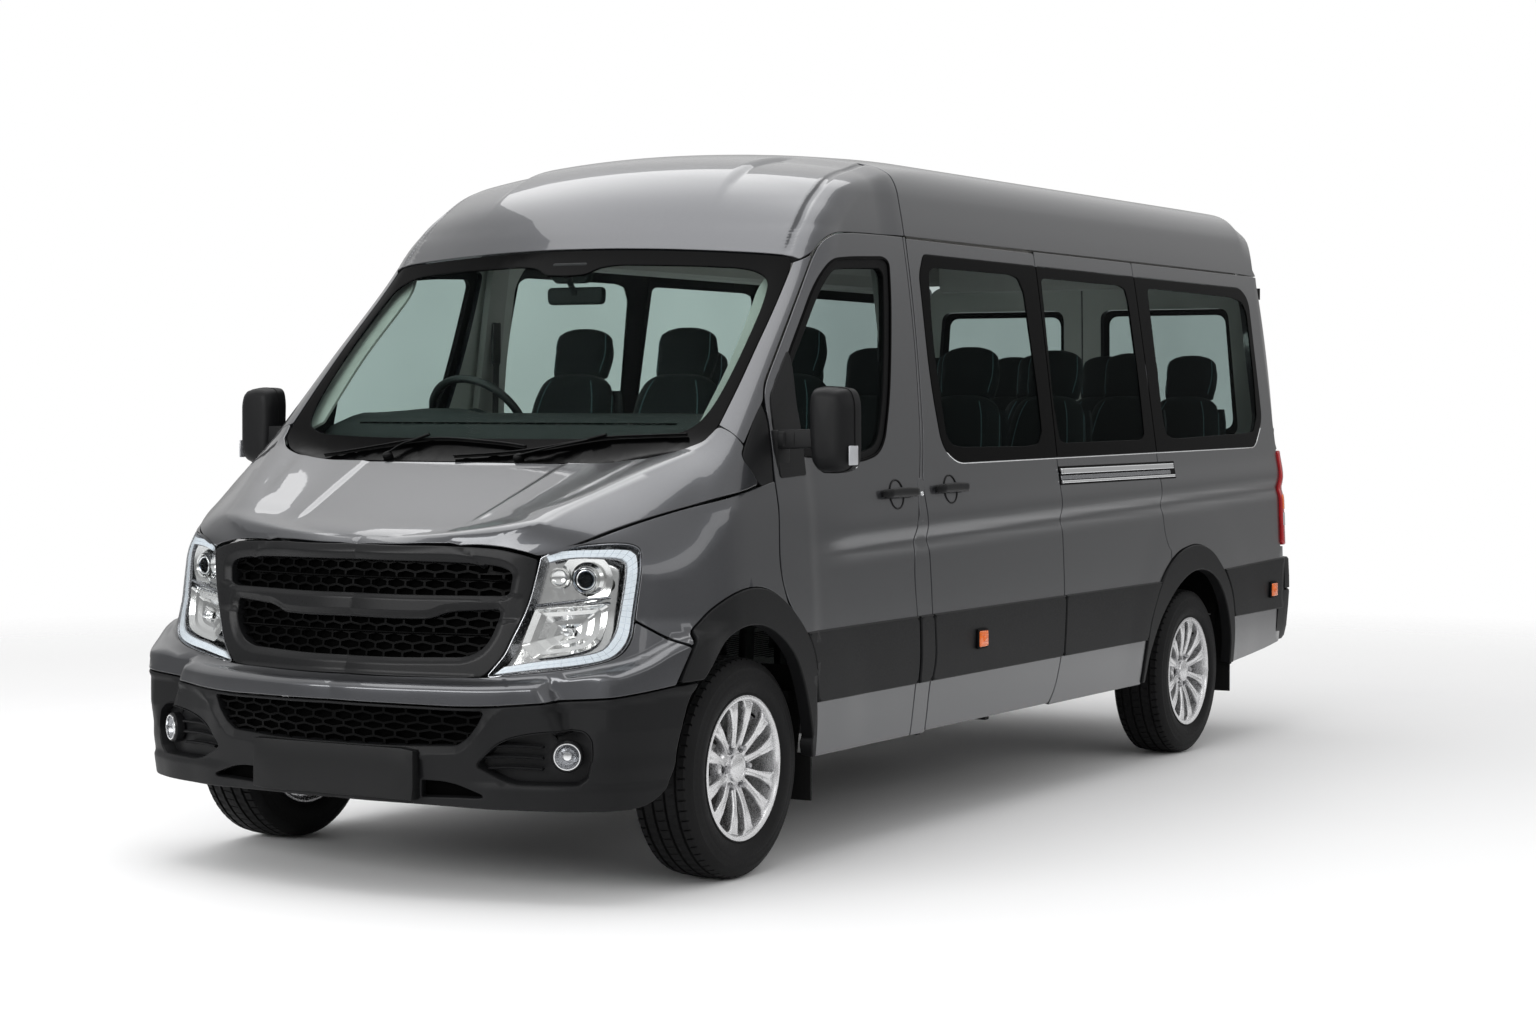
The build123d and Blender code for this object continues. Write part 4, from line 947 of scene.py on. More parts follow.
def glass(name, c, gloss=0.06, edge=0.35, rough=0.01, smear=True, body=0.0, bodyc=(0.01, 0.012, 0.013)):
    """clear pane: what is behind it shows tinted, and it mirrors more at a slant"""
    t = NT(name)
    tr = t.n('ShaderNodeBsdfTransparent')
    col_ = t.ramp(t.noise(1.1, 2), [(0.3, tint(c, 0.97)), (0.7, tint(c, 1.03))]); t.l(col_, tr.inputs['Color'])
    gl = t.bsdf(color=bodyc, rough=rough, spec=0.5, ior=1.5)
    lw = t.n('ShaderNodeLayerWeight'); lw.inputs['Blend'].default_value = 0.5
    fac = t.rng(t.math('POWER', lw.outputs['Facing'], 4.0), gloss, edge)
    if body: fac = t.math('MAXIMUM', fac, t.rng(t.noise(0.9, 2), body * 0.95, body * 1.05, 0.3, 0.7))
    if smear:
        n = t.bump(t.noise(1.6, 1), 0.02, 0.01); t.l(n, gl.inputs['Normal'])
    mx = t.n('ShaderNodeMixShader'); t.l(fac, mx.inputs[0]); t.l(tr.outputs[0], mx.inputs[1]); t.l(gl.outputs[0], mx.inputs[2])
    # a mirror-like skin over the pane
    t.l(mx.outputs[0], t.out.inputs['Surface'])
    return t.m


def glow(name, c, e, strength, rough=0.3):
    t = NT(name)
    a = t.ramp(t.noise(60, 2), [(0.3, tint(c, 0.95)), (0.7, tint(c, 1.05))])
    b = t.bsdf(color=a, rough=rough, emit=e, emits=strength)
    return t.done(b)


PAINT_C = (0.062, 0.064, 0.070)
M['paint'] = paint('paint_grey_metallic', PAINT_C)
M['inner'] = plastic('trim_lining', (0.58, 0.58, 0.55), 0.7, 0.06, 3, 600, 0.3)
M['inner_dark'] = plastic('trim_dark', (0.028, 0.029, 0.031), 0.6, 0.1, 5, 500, 0.3)
M['headliner'] = fabric('headliner', (0.44, 0.43, 0.41), 700, 0.08, 0.2, 0.25)
M['jamb'] = paint('paint_jamb', tint(PAINT_C, 0.8))
M['char'] = plastic('charcoal_plastic', (0.0080, 0.0082, 0.0088), 0.46, 0.10, 4, 900, 0.22, 0.0003, 0.15)
M['char_gloss'] = plastic('charcoal_satin', (0.0090, 0.0092, 0.0098), 0.32, 0.08, 4, 900, 0.08, 0.0002, 0.16)
M['black'] = plastic('gloss_black_ceramic', (0.0009, 0.0009, 0.0010), 0.16, 0.05, 4, 120, 0.01, 0.0002, 0.03)
M['mesh'] = plastic('grille_black', (0.0014, 0.0014, 0.0015), 0.34, 0.10, 8, 600, 0.1, 0.0002, 0.045)
# near-black, matte and almost without gloss: painted shade, put as sheets, blocks and discs in openings where the space
# behind would be dark
M['void'] = plastic('recess_black', (0.0010, 0.0010, 0.0010), 0.8, 0.1, 8, 300, 0.1, 0.0004, 0.02)
M['seal'] = plastic('rubber_seal', (0.0030, 0.0030, 0.0033), 0.6, 0.1, 8, 500, 0.15, 0.0004, 0.10)
M['rubber'] = plastic('flap_rubber', (0.007, 0.007, 0.007), 0.75, 0.18, 9, 380, 0.35, 0.0006, 0.12)
M['chassis'] = plastic('chassis_black', (0.007, 0.007, 0.0073), 0.55, 0.2, 9, 120, 0.25, 0.001, 0.15)
M['under'] = plastic('underbody_coat', (0.008, 0.008, 0.008), 0.8, 0.25, 5, 90, 0.5, 0.0015, 0.1)
M['cast'] = metal('cast_iron', (0.055, 0.052, 0.050), 0.62, 0.25, 9, 150, 0.35, 0.6, 0.0, 0.0012)
M['alu'] = metal('cast_aluminium', (0.38, 0.38, 0.39), 0.5, 0.12, 7, 180, 0.3, 0.9, 0.0, 0.001)
M['steel'] = metal('exhaust_steel', (0.16, 0.15, 0.14), 0.42, 0.25, 6, 140, 0.2, 1.0, 0.0, 0.0008)
M['disc'] = metal('brake_disc', (0.42, 0.42, 0.42), 0.34, 0.1, 30, 600, 0.1, 1.0)
M['alloy'] = metal('alloy_silver', (0.70, 0.70, 0.71), 0.26, 0.03, 10, 500, 0.03, 0.75, 0.7, 0.0002)
M['alloy_dark'] = metal('alloy_shadow', (0.16, 0.16, 0.17), 0.5, 0.08, 10, 300, 0.1, 0.8)
M['nut'] = metal('wheel_nut', (0.45, 0.45, 0.46), 0.35, 0.1, 40, 500, 0.1, 1.0)
M['chrome'] = metal('chrome', (0.86, 0.87, 0.88), 0.06, 0.02, 10, 200, 0.01, 1.0)
M['reflector'] = metal('lamp_reflector', (0.80, 0.80, 0.79), 0.12, 0.02, 40, 120, 0.05, 1.0, 0.0, 0.002)
M['silver'] = metal('lamp_bezel', (0.30, 0.305, 0.32), 0.24, 0.04, 20, 200, 0.03, 0.9)
M['tank'] = plastic('tank_plastic', (0.014, 0.014, 0.015), 0.5, 0.15, 6, 200, 0.3, 0.0008)
M['plate'] = plastic('plate_blank', (0.0088, 0.0090, 0.0094), 0.42, 0.08, 6, 700, 0.12, 0.0004, 0.16)
M['dash'] = plastic('dash_grained', (0.013, 0.015, 0.0155), 0.62, 0.12, 6, 700, 0.35, 0.0005, 0.2)
M['leather'] = plastic('wheel_leather', (0.010, 0.011, 0.012), 0.45, 0.12, 20, 420, 0.35, 0.0006, 0.45)
M['seat'] = fabric('seat_fabric', (0.0085, 0.0115, 0.0125), 520, 0.30, 0.12)
M['seat_side'] = plastic('seat_side_vinyl', (0.012, 0.015, 0.017), 0.5, 0.15, 12, 380, 0.35, 0.0005, 0.4)
M['piping'] = fabric('seat_piping', (0.11, 0.19, 0.20), 900, 0.12, 0.1, 0.3)
M['plinth'] = plastic('seat_frame', (0.02, 0.02, 0.021), 0.5, 0.1, 8, 300, 0.2)
M['carpet'] = fabric('floor_covering', (0.045, 0.045, 0.046), 420, 0.25, 0.3, 0.6)
M['tyre'] = plastic('tyre_rubber', (0.0078, 0.0078, 0.0082), 0.60, 0.16, 7, 500, 0.25, 0.0006, 0.13, dust=0.0)
M['amber'] = plastic('amber_lens', (0.85, 0.16, 0.008), 0.16, 0.06, 60, 320, 0.12, 0.0008, 0.6, 0.6)
M['redlens'] = plastic('red_lens', (0.40, 0.006, 0.010), 0.12, 0.08, 40, 240, 0.08, 0.0008, 0.6, 0.7)
M['white_lens'] = plastic('white_lens', (0.42, 0.43, 0.45), 0.15, 0.04, 40, 260, 0.1, 0.0006, 0.6, 0.6)
M['led'] = glow('led_guide', (0.52, 0.56, 0.60), (0.88, 0.95, 1.0), 0.32, 0.25)
M['lens_clear'] = glass('lamp_lens_clear', (0.97, 0.98, 0.985), 0.03, 0.35, 0.01, False)
M['glass_screen'] = glass('glass_windscreen', (0.80, 0.86, 0.84), 0.012, 0.16, 0.01, False)
M['glass_door'] = glass('glass_door', (0.68, 0.725, 0.72), 0.012, 0.20, 0.01, False)
M['glass_side'] = glass('glass_privacy', (0.69, 0.735, 0.728), 0.012, 0.20, 0.01, False)
M['projector'] = glass('projector_lens', (0.55, 0.60, 0.66), 0.25, 0.9, 0.01, False)
M['lamp_cover'] = plastic('ceiling_lamp', (0.85, 0.85, 0.83), 0.3, 0.03, 30, 300, 0.05)
M['mirror_glass'] = metal('mirror_glass', (0.85, 0.87, 0.88), 0.03, 0.01, 10, 60, 0.004, 1.0)

# ------------------------------------------------------------------ body panels, left side then mirrored
# outlines: x forward, z up, metres
DOOR = [(0.797, 2.082, .006), (0.970, 2.081), (1.190, 2.077), (1.294, 2.068), (1.350, 2.050), (1.390, 2.024), (1.433, 1.981), (1.537, 1.871), (1.628, 1.780), (1.716, 1.693),
        (1.801, 1.608), (1.845, 1.562), (1.872, 1.525), (1.886, 1.490), (1.889, 1.450), (1.889, 1.416), (1.894, 1.362), (1.900, 1.315), (1.903, 1.258), (1.898, 1.200), (1.896, 1.151),
        (1.912, 1.001), (1.901, 0.932), (1.869, 0.860), (1.753, 0.751), (1.701, 0.680), (1.662, 0.529), (1.638, 0.339, .012),
        (0.953, 0.339, .012), (0.948, 0.500), (0.930, 0.599), (0.945, 0.760), (0.965, 0.901), (0.933, 1.060), (0.879, 1.227), (0.838, 1.366), (0.799, 1.717)]
SLIDE = [(-0.300, 2.074, .02), (0.775, 2.078, .006), (0.783, 1.717), (0.817, 1.366), (0.858, 1.227), (0.848, 1.100), (0.839, 1.000), (0.832, 0.760), (0.808, 0.599), (0.838, 0.500), (0.840, 0.345, .012),
         (-0.207, 0.345, .03), (-0.253, 0.400, .04), (-0.300, 0.560, .1)]
BAND = [(0.657, 2.026, .05), (-2.515, 2.016, .09), (-2.603, 1.965, .09), (-2.600, 1.419, .12), (-2.472, 1.298, .12), (0.573, 1.281, .12), (0.679, 1.339, .12), (0.718, 1.577, .3), (0.710, 1.949, .09)]
ARCH_F = [(2.431, 0.341), (2.433, 0.520), (2.400, 0.640), (2.322, 0.735), (2.238, 0.783), (2.145, 0.805), (2.040, 0.802), (1.930, 0.761), (1.833, 0.690), (1.775, 0.605), (1.734, 0.520), (1.664, 0.342)]
TRIM_F = [(2.520, 0.640), (2.480, 0.715), (2.408, 0.801), (2.312, 0.864), (2.196, 0.912), (2.067, 0.924), (1.955, 0.899), (1.863, 0.847), (1.782, 0.777), (1.718, 0.691), (1.672, 0.562), (1.644, 0.339)]
ARCH_R = [(-1.150, 0.345), (-1.160, 0.440), (-1.190, 0.500), (-1.270, 0.610), (-1.425, 0.722), (-1.592, 0.780), (-1.731, 0.788), (-1.885, 0.751), (-2.013, 0.640), (-2.090, 0.500), (-2.115, 0.350)]
TRIM_R = [(-1.120, 0.345), (-1.124, 0.441), (-1.156, 0.600), (-1.237, 0.724), (-1.325, 0.806), (-1.485, 0.876), (-1.680, 0.901), (-1.853, 0.863), (-1.992, 0.768), (-2.082, 0.676), (-2.138, 0.539), (-2.165, 0.350)]
MID_SEAM = [(-1.269, 2.076), (-1.287, 1.70), (-1.305, 1.290), (-1.320, 1.05), (-1.333, 0.955), (-1.360, 0.905), (-1.392, 0.880)]
PANE_D = [(0.930, 1.985, .045), (0.971, 2.001, .05), (1.215, 1.990), (1.344, 1.978, .05), (1.421, 1.930), (1.493, 1.869), (1.576, 1.784), (1.705, 1.655, .02), (1.772, 1.575, .02), (1.835, 1.500), (1.868, 1.440, .03), (1.860, 1.335, .03), (1.30, 1.298), (1.168, 1.322, .05), (1.109, 1.369, .05), (1.045, 1.506), (0.993, 1.678), (0.950, 1.853)]
SAIL_B = [(1.705, 1.668, .006), (1.790, 1.583), (1.850, 1.520, .01), (1.868, 1.470, .02), (1.872, 1.30, .01), (1.870, 1.255, .02), (1.700, 1.262, .01), (1.706, 1.42), (1.702, 1.55)]
SAIL_F = [(1.899, 1.497, .004), (1.945, 1.452), (2.029, 1.362), (2.056, 1.333, .015), (2.058, 1.308, .02), (2.010, 1.250), (1.985, 1.232, .02), (1.912, 1.228, .01), (1.910, 1.300), (1.901, 1.36), (1.895, 1.42)]
HOOD_SIDE = [(1.891, 1.251), (2.126, 1.213), (2.280, 1.186), (2.409, 1.155), (2.536, 1.119)]
G = 0.0025          # half a shut line
ULAMP = lambda z: float(np.interp(z, [0.842, 1.06, 1.283], [-2.712, -2.716, -2.742]))   # front edge of the tail lamp


def off_poly(poly, d, step=0.01, r=0.02):
    """a rounded outline moved outward by d"""
    q = rounded(poly, r, step)
    s = 1.0 if area2(q) > 0 else -1.0
    t = np.roll(q, -1, 0) - np.roll(q, 1, 0); t /= np.maximum(np.linalg.norm(t, axis=1, keepdims=True), 1e-9)
    o = q + np.stack([t[:, 1], -t[:, 0]], 1) * s * d
    return [tuple(v) for v in o]


def cut_at(poly, x, keep_low):
    """part of a closed outline on one side of x (columns 0)"""
    out = []; n = len(poly)
    for i in range(n):
        a, b = poly[i], poly[(i + 1) % n]
        ina, inb = (a[0] < x) == keep_low, (b[0] < x) == keep_low
        if ina: out.append(a)
        if ina != inb:
            t = (x - a[0]) / (b[0] - a[0]); out.append((x, a[1] + t * (b[1] - a[1]), 0.004))
    return out


def hood_fall(P): return 0 * P[:, 0]


BODY = 'body'
fine = 0.5 if not QUICK else 1.0
ST = (0.05, 0.022) if not QUICK else (0.09, 0.035)


def paint_panel(name, mp, outline, holes=(), step=None, **k):
    return panel(name, mp, outline, holes, step or ST, **k)


# front doors: the window frame is part of the panel
door_out = off_poly(DOOR, -G)
dl = paint_panel('front_door_skin_left', SIDE_M, door_out, [off_poly(PANE_D, 0.0)], r=0.004, depth=0.045, mats=[M['paint'], M['inner']])
dr = mirror(dl, 'front_door_skin_right')
own(dl, 'front_door_left', 'body_paint', 'front_door_left'); own(dr, 'front_door_right', 'body_paint', 'front_door_right')

# sliding door, the fixed panel and rear quarter behind it
band_hole = lambda a, b: off_poly(cut_at(cut_at([(p[0], p[1], p[2]) for p in BAND], b, True), a, False), 0.0, r=0.004)
sl = paint_panel('sliding_door_skin', SIDE_M, off_poly(SLIDE, -G), [band_hole(-0.285, 2.0)], r=0.004, depth=0.045, mats=[M['paint'], M['inner']])
own(sl, BODY, 'body_paint', 'sliding_door')


def side_panels(tag, sgn, x_front):
    """panels behind the door, from seam to seam"""
    obs = []
    mid_top = (-0.3 - G if sgn > 0 else x_front, 2.078)
    xs = [x_front]
    mid = [(-0.300 - G, 2.078, .004), (-0.300 - G, 0.560, .1), (-0.253 - G, 0.400, .04), (-0.207 - G, 0.341, .004)] if sgn > 0 else \
          [(0.797 - 2 * G, 2.078, .004)] + [(x - 2 * G, z) for x, z in ((0.799, 1.717), (0.838, 1.366), (0.879, 1.227), (0.933, 1.060), (0.965, 0.901), (0.945, 0.760), (0.930, 0.599), (0.948, 0.500))] + [(0.953 - 2 * G, 0.341, .004)]
    arch = [(x, z) for x, z in TRIM_R if x > -1.39]
    a = mid + [(-1.118, 0.341, .004)] + [(x + 0.002, z) for x, z in TRIM_R if x > -1.38 and z < 0.86 and z > 0.36] + [(-1.392 + G, 0.843, .004)] + [(x + G, z) for x, z in MID_SEAM[::-1]]
    hole = band_hole(-1.29, -0.315) if sgn > 0 else band_hole(-1.29, 2.0)
    o = paint_panel('body_side_mid_' + tag, SIDE_M, a, [hole], r=0.01, depth=0.045, mats=[M['paint'], M['inner']])
    b = [(x - G, z) for x, z in MID_SEAM] + [(-1.392 - G, 0.845, .004)] + [(x, z + 0.002) for x, z in TRIM_R if x < -1.40 and z > 0.36] + [(-2.167, 0.352, .006), (-2.45, 0.372), (-2.62, 0.386), (-2.88, 0.420, .01)] \
        + [(-2.886, 0.60), (-2.878, 0.83, .01), (ULAMP(0.842), 0.842, .004), (ULAMP(1.06), 1.06), (ULAMP(1.283), 1.283, .004), (-2.865, 1.292, .01), (-2.896, 1.70), (-2.920, 2.00), (-2.905, 2.052, .03), (-2.86, 2.068), (-2.825, 2.072), (-2.70, 2.074)]
    o2 = paint_panel('body_side_rear_' + tag, QUA, b, [off_poly(cut_at([(p[0], p[1], p[2]) for p in BAND], -1.30, True), 0.0, r=0.004)], r=0.01, depth=0.045, mats=[M['paint'], M['inner']])
    return [o, o2]


L = side_panels('left', 1, -0.3)
if True:
    Rr = side_panels('rt', -1, 0.79)
    Rm = [mirror(o, o.name.replace('_rt', '_right')) for o in Rr]
    for o in Rr: bpy.data.objects.remove(o)
# the strip between front door and sliding door
strip = [(0.797 - G, 2.080, .003)] + [(x - G, z) for x, z in ((0.799, 1.717), (0.838, 1.366), (0.879, 1.227), (0.933, 1.060), (0.965, 0.901), (0.945, 0.760), (0.930, 0.599), (0.948, 0.500))] + [(0.953 - G, 0.341, .003), (0.840 + G, 0.341, .003)] \
    + [(x + G, z) for x, z in ((0.838, 0.500), (0.808, 0.599), (0.832, 0.760), (0.839, 1.000), (0.848, 1.100), (0.858, 1.227), (0.817, 1.366), (0.783, 1.717))] + [(0.777 + G, 2.080, .003)]
bp = paint_panel('door_post_left', SIDE_M, strip, r=0.01, step=(0.03, 0.03), depth=0.045, mats=[M['paint'], M['inner']])
body_l = join_objs('body_side_skin_left', L + [bp]); own(body_l, BODY, 'body_paint', 'body_side_left')
body_r = join_objs('body_side_skin_right', Rm); own(body_r, BODY, 'body_paint', 'body_side_right')

# roof and its front cap
q_gut = float(ROOF.inv(np.array([[0.0, 0.872, 2.082]]))[0, 1])
X_CAP = 0.783


def on(mp, pts3):
    """3-D points to a map's own coordinates, as an outline"""
    P = np.array([p[:3] for p in pts3], float); U = mp.inv(P)
    return [(float(u[0]), float(u[1])) + ((p[3],) if len(p) > 3 else ()) for u, p in zip(U, pts3)]


half = [(X_CAP - 0.003, 0.872, 2.0845, .004), (-0.5, 0.872, 2.0835), (-1.6, 0.8715, 2.083), (-2.45, 0.871, 2.080, .1), (-2.62, 0.868, 2.076, .1), (-2.735, 0.845, 2.064, .1), (-2.775, 0.800, 2.060, .1), (-2.785, 0.5, 2.062), (-2.787, 0.0, 2.062)]
full = half + [(x, -y, z) + tuple(r) for x, y, z, *r in half[::-1][1:]]
RO = on(ROOF, full)
groove = lambda y, c, w, d: -d * np.exp(-((y - c) / w) ** 2)


def roof_disp(P):
    x, y, z = P.T; a = np.abs(y)
    d = 0 * x
    # shallow swages along the roof
    m = sstep(0.70, 0.55, x) * sstep(-2.45, -2.30, x)
    for c in (0.0, 0.22, 0.44):
        d = d - 0.006 * m * (sstep(0.055, 0.035, np.abs(a - c)))
    return d


roof = panel('roof_skin', ROOF, RO, (), (0.06, 0.018) if not QUICK else (0.12, 0.04), depth=0.045, r=0.01, mats=[M['paint'], M['headliner']], disp=roof_disp)
own(roof, BODY, 'body_paint', 'roof')


CAPO = lambda x: np.interp(x, [0.78, 0.97, 1.07, 1.20, 1.28, 1.35, 1.42, 1.48], [0.690, 0.710, 0.723, 0.743, 0.749, 0.760, 0.767, 0.775])
CAPI = lambda x: np.interp(x, [0.90, 1.177, 1.30, 1.41], [0.43, 0.436, 0.448, 0.465])


def cap_disp(P):
    x, y, z = P.T; a = np.abs(y)
    xo, xi = CAPO(x), CAPI(x)
    # a narrow channel down each side, and the middle standing up between two folds
    d = -0.0055 * (np.clip((a - xo + 0.004) / 0.008, 0, 1) - np.clip((a - xo - 0.024) / 0.008, 0, 1)) * sstep(1.50, 1.44, x)
    d = d - 0.013 * np.clip((a - xi) / 0.022, 0, 1) * sstep(1.43, 1.20, x) * sstep(0.78, 0.95, x)
    return d


def over(mp, xs, ys, lo=0.0, hi=1.25):
    """map points of a line given by x and half-width"""
    xs = np.asarray(xs, float); qq = np.linspace(lo, hi, 64); n = len(xs)
    Y = mp.pts(np.stack([np.repeat(xs, 64), np.tile(qq, n)], 1))[:, 1].reshape(n, 64)
    return [(float(x), float(np.interp(y, row, qq))) for x, y, row in zip(xs, ys, Y)]


def both(lines): return list(lines) + [[(a, -b) for a, b in l] for l in lines]


_te = pchip([0.0, 0.10, 0.30, 0.483, 0.628, 0.767, 0.800], [2.0195, 2.0190, 2.0145, 2.0065, 1.9980, 1.9865, 1.9815])


def top_edge(off, n=34, y0=0.798):
    """upper edge of the windscreen, half, from the corner to the middle"""
    y = np.linspace(y0, 0.0, n); P = SCR.pts(np.stack([y, _te(y) + off], 1))
    return [tuple(p) for p in P]


cap_half = [(X_CAP + 0.003, 0.872, 2.0845, .004), (1.05, 0.872, 2.083), (1.19, 0.873, 2.080), (1.294, 0.872, 2.072), (1.350, 0.868, 2.054), (1.392, 0.864, 2.028, .01), (1.420, 0.852, 2.000, .01), (1.470, 0.828, 1.972, .006)] + top_edge(0.0045)
cap_full = cap_half + [(x, -y, z) + tuple(r) for x, y, z, *r in cap_half[::-1][1:]]
_xs = np.linspace(0.80, 1.47, 30); _xi = np.linspace(0.86, 1.42, 26)
cap_rows = both([over(ROOF, _xs, CAPO(_xs) + o_) for o_ in (-0.012, -0.004, 0.0, 0.004, 0.024, 0.028, 0.032, 0.040)] + [over(ROOF, _xi, CAPI(_xi) + o_) for o_ in (-0.014, 0.0, 0.011, 0.022, 0.036)])
cap = panel('roof_front_skin', ROOF, on(ROOF, cap_full), (), (0.02, 0.014) if not QUICK else (0.05, 0.03), depth=0.040, r=0.006, mats=[M['paint'], M['headliner']], disp=cap_disp, rows=cap_rows, rs=0.014)
own(cap, BODY, 'body_paint', 'roof_front')

# windscreen pillars
SCR_EDGE = [(1.489, 0.819, 1.963), (1.507, 0.821, 1.942), (1.557, 0.827, 1.891), (1.678, 0.840, 1.772), (1.789, 0.848, 1.666), (1.897, 0.855, 1.559), (1.962, 0.857, 1.495), (2.032, 0.858, 1.426)]
DOOR_EDGE = [(2.029, 0.950, 1.364), (1.975, 0.943, 1.422), (1.930, 0.938, 1.466), (1.888, 0.937, 1.503), (1.872, 0.928, 1.531), (1.848, 0.918, 1.566), (1.801, 0.911, 1.612), (1.716, 0.899, 1.697), (1.628, 0.886, 1.784), (1.537, 0.872, 1.875), (1.436, 0.860, 1.984), (1.420, 0.857, 1.998)]
po = on(PIL, [(x, y, z) + (((.004),) if i in (0, 7) else ()) for i, (x, y, z) in enumerate(SCR_EDGE)] + [(2.035, 0.905, 1.405), (2.030, 0.948, 1.368, .004)] + DOOR_EDGE[1:-1] + [(1.432, 0.862, 1.990, .004), (1.465, 0.836, 1.972, .004)])
pil = panel('pillar_l', PIL, po, (), (0.02, 0.02) if not QUICK else (0.04, 0.04), depth=0.030, r=0.01, mats=[M['paint'], M['headliner']])
pilr = mirror(pil, 'pillar_r')
fr = join_objs('windscreen_pillars', [pil, pilr]); own(fr, BODY, 'body_paint', 'windscreen_frame')

# black sail panels at the foot of the pillars
sf = panel('sail_front_l', SIDE_M, SAIL_F, (), (0.03, 0.03), depth=0.02, r=0.006, off=-0.001, mats=[M['char'], M['char']])
sfr = mirror(sf, 'sail_front_r')
o = join_objs('pillar_foot_covers', [sf, sfr]); own(o, BODY, 'charcoal_plastic')
sb = panel('mirror_sail_left', SIDE_M, SAIL_B, (), (0.03, 0.03), depth=0.03, r=0.006, off=0.0035, mats=[M['char'], M['char']])
sbr = mirror(sb, 'mirror_sail_right'); own(sb, 'front_door_left', 'charcoal_plastic'); own(sbr, 'front_door_right', 'charcoal_plastic')

# ------------------------------------------------------------------ front end; outlines in (c, z) round the nose, left half first
class Bonnet(Roof):
    XB, Z0, RR, RB = -9.0, 0.80, 0.80, 0.5
    def pts(s, U):
        u, q = U.T; th = q / s.RR
        return solve(col(u, 0 * u, s.Z0 + 0 * u), col(0 * u, np.sin(th), np.cos(th)), 0.10, 1.2)
    def inv(s, P):
        x, y, z = P.T
        return np.stack([x, np.arctan2(y, z - s.Z0) * s.RR], 1)


BON = Bonnet()


def sym(half):
    """left half from the centre line outward, closed on the right"""
    r = [(-p[0],) + tuple(p[1:]) for p in half[::-1] if abs(p[0]) > 1e-6]
    return list(half) + r


def sym3(half):
    return list(half) + [(p[0], -p[1]) + tuple(p[2:]) for p in half[::-1] if abs(p[1]) > 1e-6]


def side_to(mp, pts):
    P = SIDE_M.pts(np.array([p[:2] for p in pts], float))
    return [(float(u[0]), float(u[1])) + tuple(p[2:]) for u, p in zip(mp.inv(P), pts)]


hood3 = [(2.775, 0.0, 1.069), (2.773, 0.165, 1.068), (2.757, 0.305, 1.069), (2.737, 0.439, 1.066), (2.729, 0.507, 1.061), (2.718, 0.573, 1.050), (2.699, 0.634, 1.034, .02), (2.645, 0.738, 1.078), (2.536, 0.810, 1.121),
         (2.409, 0.872, 1.157), (2.280, 0.935, 1.188), (2.126, 0.986, 1.216), (2.012, 0.988, 1.240, .01), (2.062, 0.967, 1.311, .03), (2.059, 0.957, 1.335, .02), (2.036, 0.948, 1.358, .005), (2.038, 0.905, 1.396, .01), (2.040, 0.860, 1.418, .006),
         (2.070, 0.849, 1.392), (2.098, 0.840, 1.371), (2.121, 0.815, 1.357), (2.158, 0.780, 1.338), (2.190, 0.725, 1.322), (2.208, 0.660, 1.311), (2.214, 0.590, 1.304), (2.214, 0.3, 1.300), (2.214, 0.0, 1.300)]


# the fold that bounds the hood's raised middle, (x, half-width), and two swages inside it
UFOLD = [(2.742, 0.0), (2.741, 0.12), (2.737, 0.27), (2.727, 0.42), (2.710, 0.53), (2.672, 0.595), (2.579, 0.630), (2.450, 0.690), (2.326, 0.750), (2.220, 0.800), (2.123, 0.845), (2.040, 0.868)]
uf = curve(UFOLD, 60)
UF = np.array(over(BON, uf[:, 0], uf[:, 1]))
UF_IN = np.concatenate([UF, [(1.60, UF[-1, 1] + 0.02)], [(1.60, -UF[-1, 1] - 0.02)], (UF * [1, -1])[::-1]])
SW1 = lambda x: np.interp(x, [2.20, 2.42, 2.60, 2.70], [0.398, 0.366, 0.338, 0.325])
SW2 = lambda x: np.interp(x, [2.20, 2.40, 2.55], [0.672, 0.618, 0.568])


def offset_line(q, d):
    t = np.gradient(q, axis=0); t /= np.maximum(np.linalg.norm(t, axis=1, keepdims=True), 1e-9)
    return q + np.stack([t[:, 1], -t[:, 0]], 1) * d


def hood_disp(P):
    x, y, z = P.T; a = np.abs(y)
    U = BON.inv(P); s = near(UF_IN, U) * np.where(inside(UF_IN, U), 1.0, -1.0)
    i, o_ = np.maximum(s, 0), np.maximum(-s, 0)
    d = 0.17 * i * np.exp(-i / 0.045) - 0.30 * o_ * np.exp(-o_ / 0.035)
    d = d + 0.0042 * sstep(2.70, 2.56, x) * np.clip((a - SW1(x) + 0.008) / 0.020, 0, 1)
    d = d - 0.0040 * sstep(2.56, 2.44, x) * np.clip((a - SW2(x) + 0.012) / 0.028, 0, 1) * np.clip(s / 0.05, 0, 1)
    return d


_x1 = np.linspace(2.21, 2.70, 26); _x2 = np.linspace(2.21, 2.55, 18)
hood_rows = both([offset_line(UF, o_) for o_ in (-0.026, -0.012, -0.004, 0.0, 0.004, 0.012, 0.026)] + [over(BON, _x1, SW1(_x1) + o_) for o_ in (-0.016, -0.008, 0.002, 0.012, 0.020)] + [over(BON, _x2, SW2(_x2) + o_) for o_ in (-0.012, 0.002, 0.016)])
hood = panel('hood_skin', BON, on(BON, sym3(hood3)), (), (0.022, 0.02) if not QUICK else (0.05, 0.04), es=0.010, depth=0.028, r=0.006, lip=0.003, mats=[M['paint'], M['jamb']], disp=hood_disp, rows=hood_rows, rs=0.014)
own(hood, 'hood', 'body_paint', 'hood')

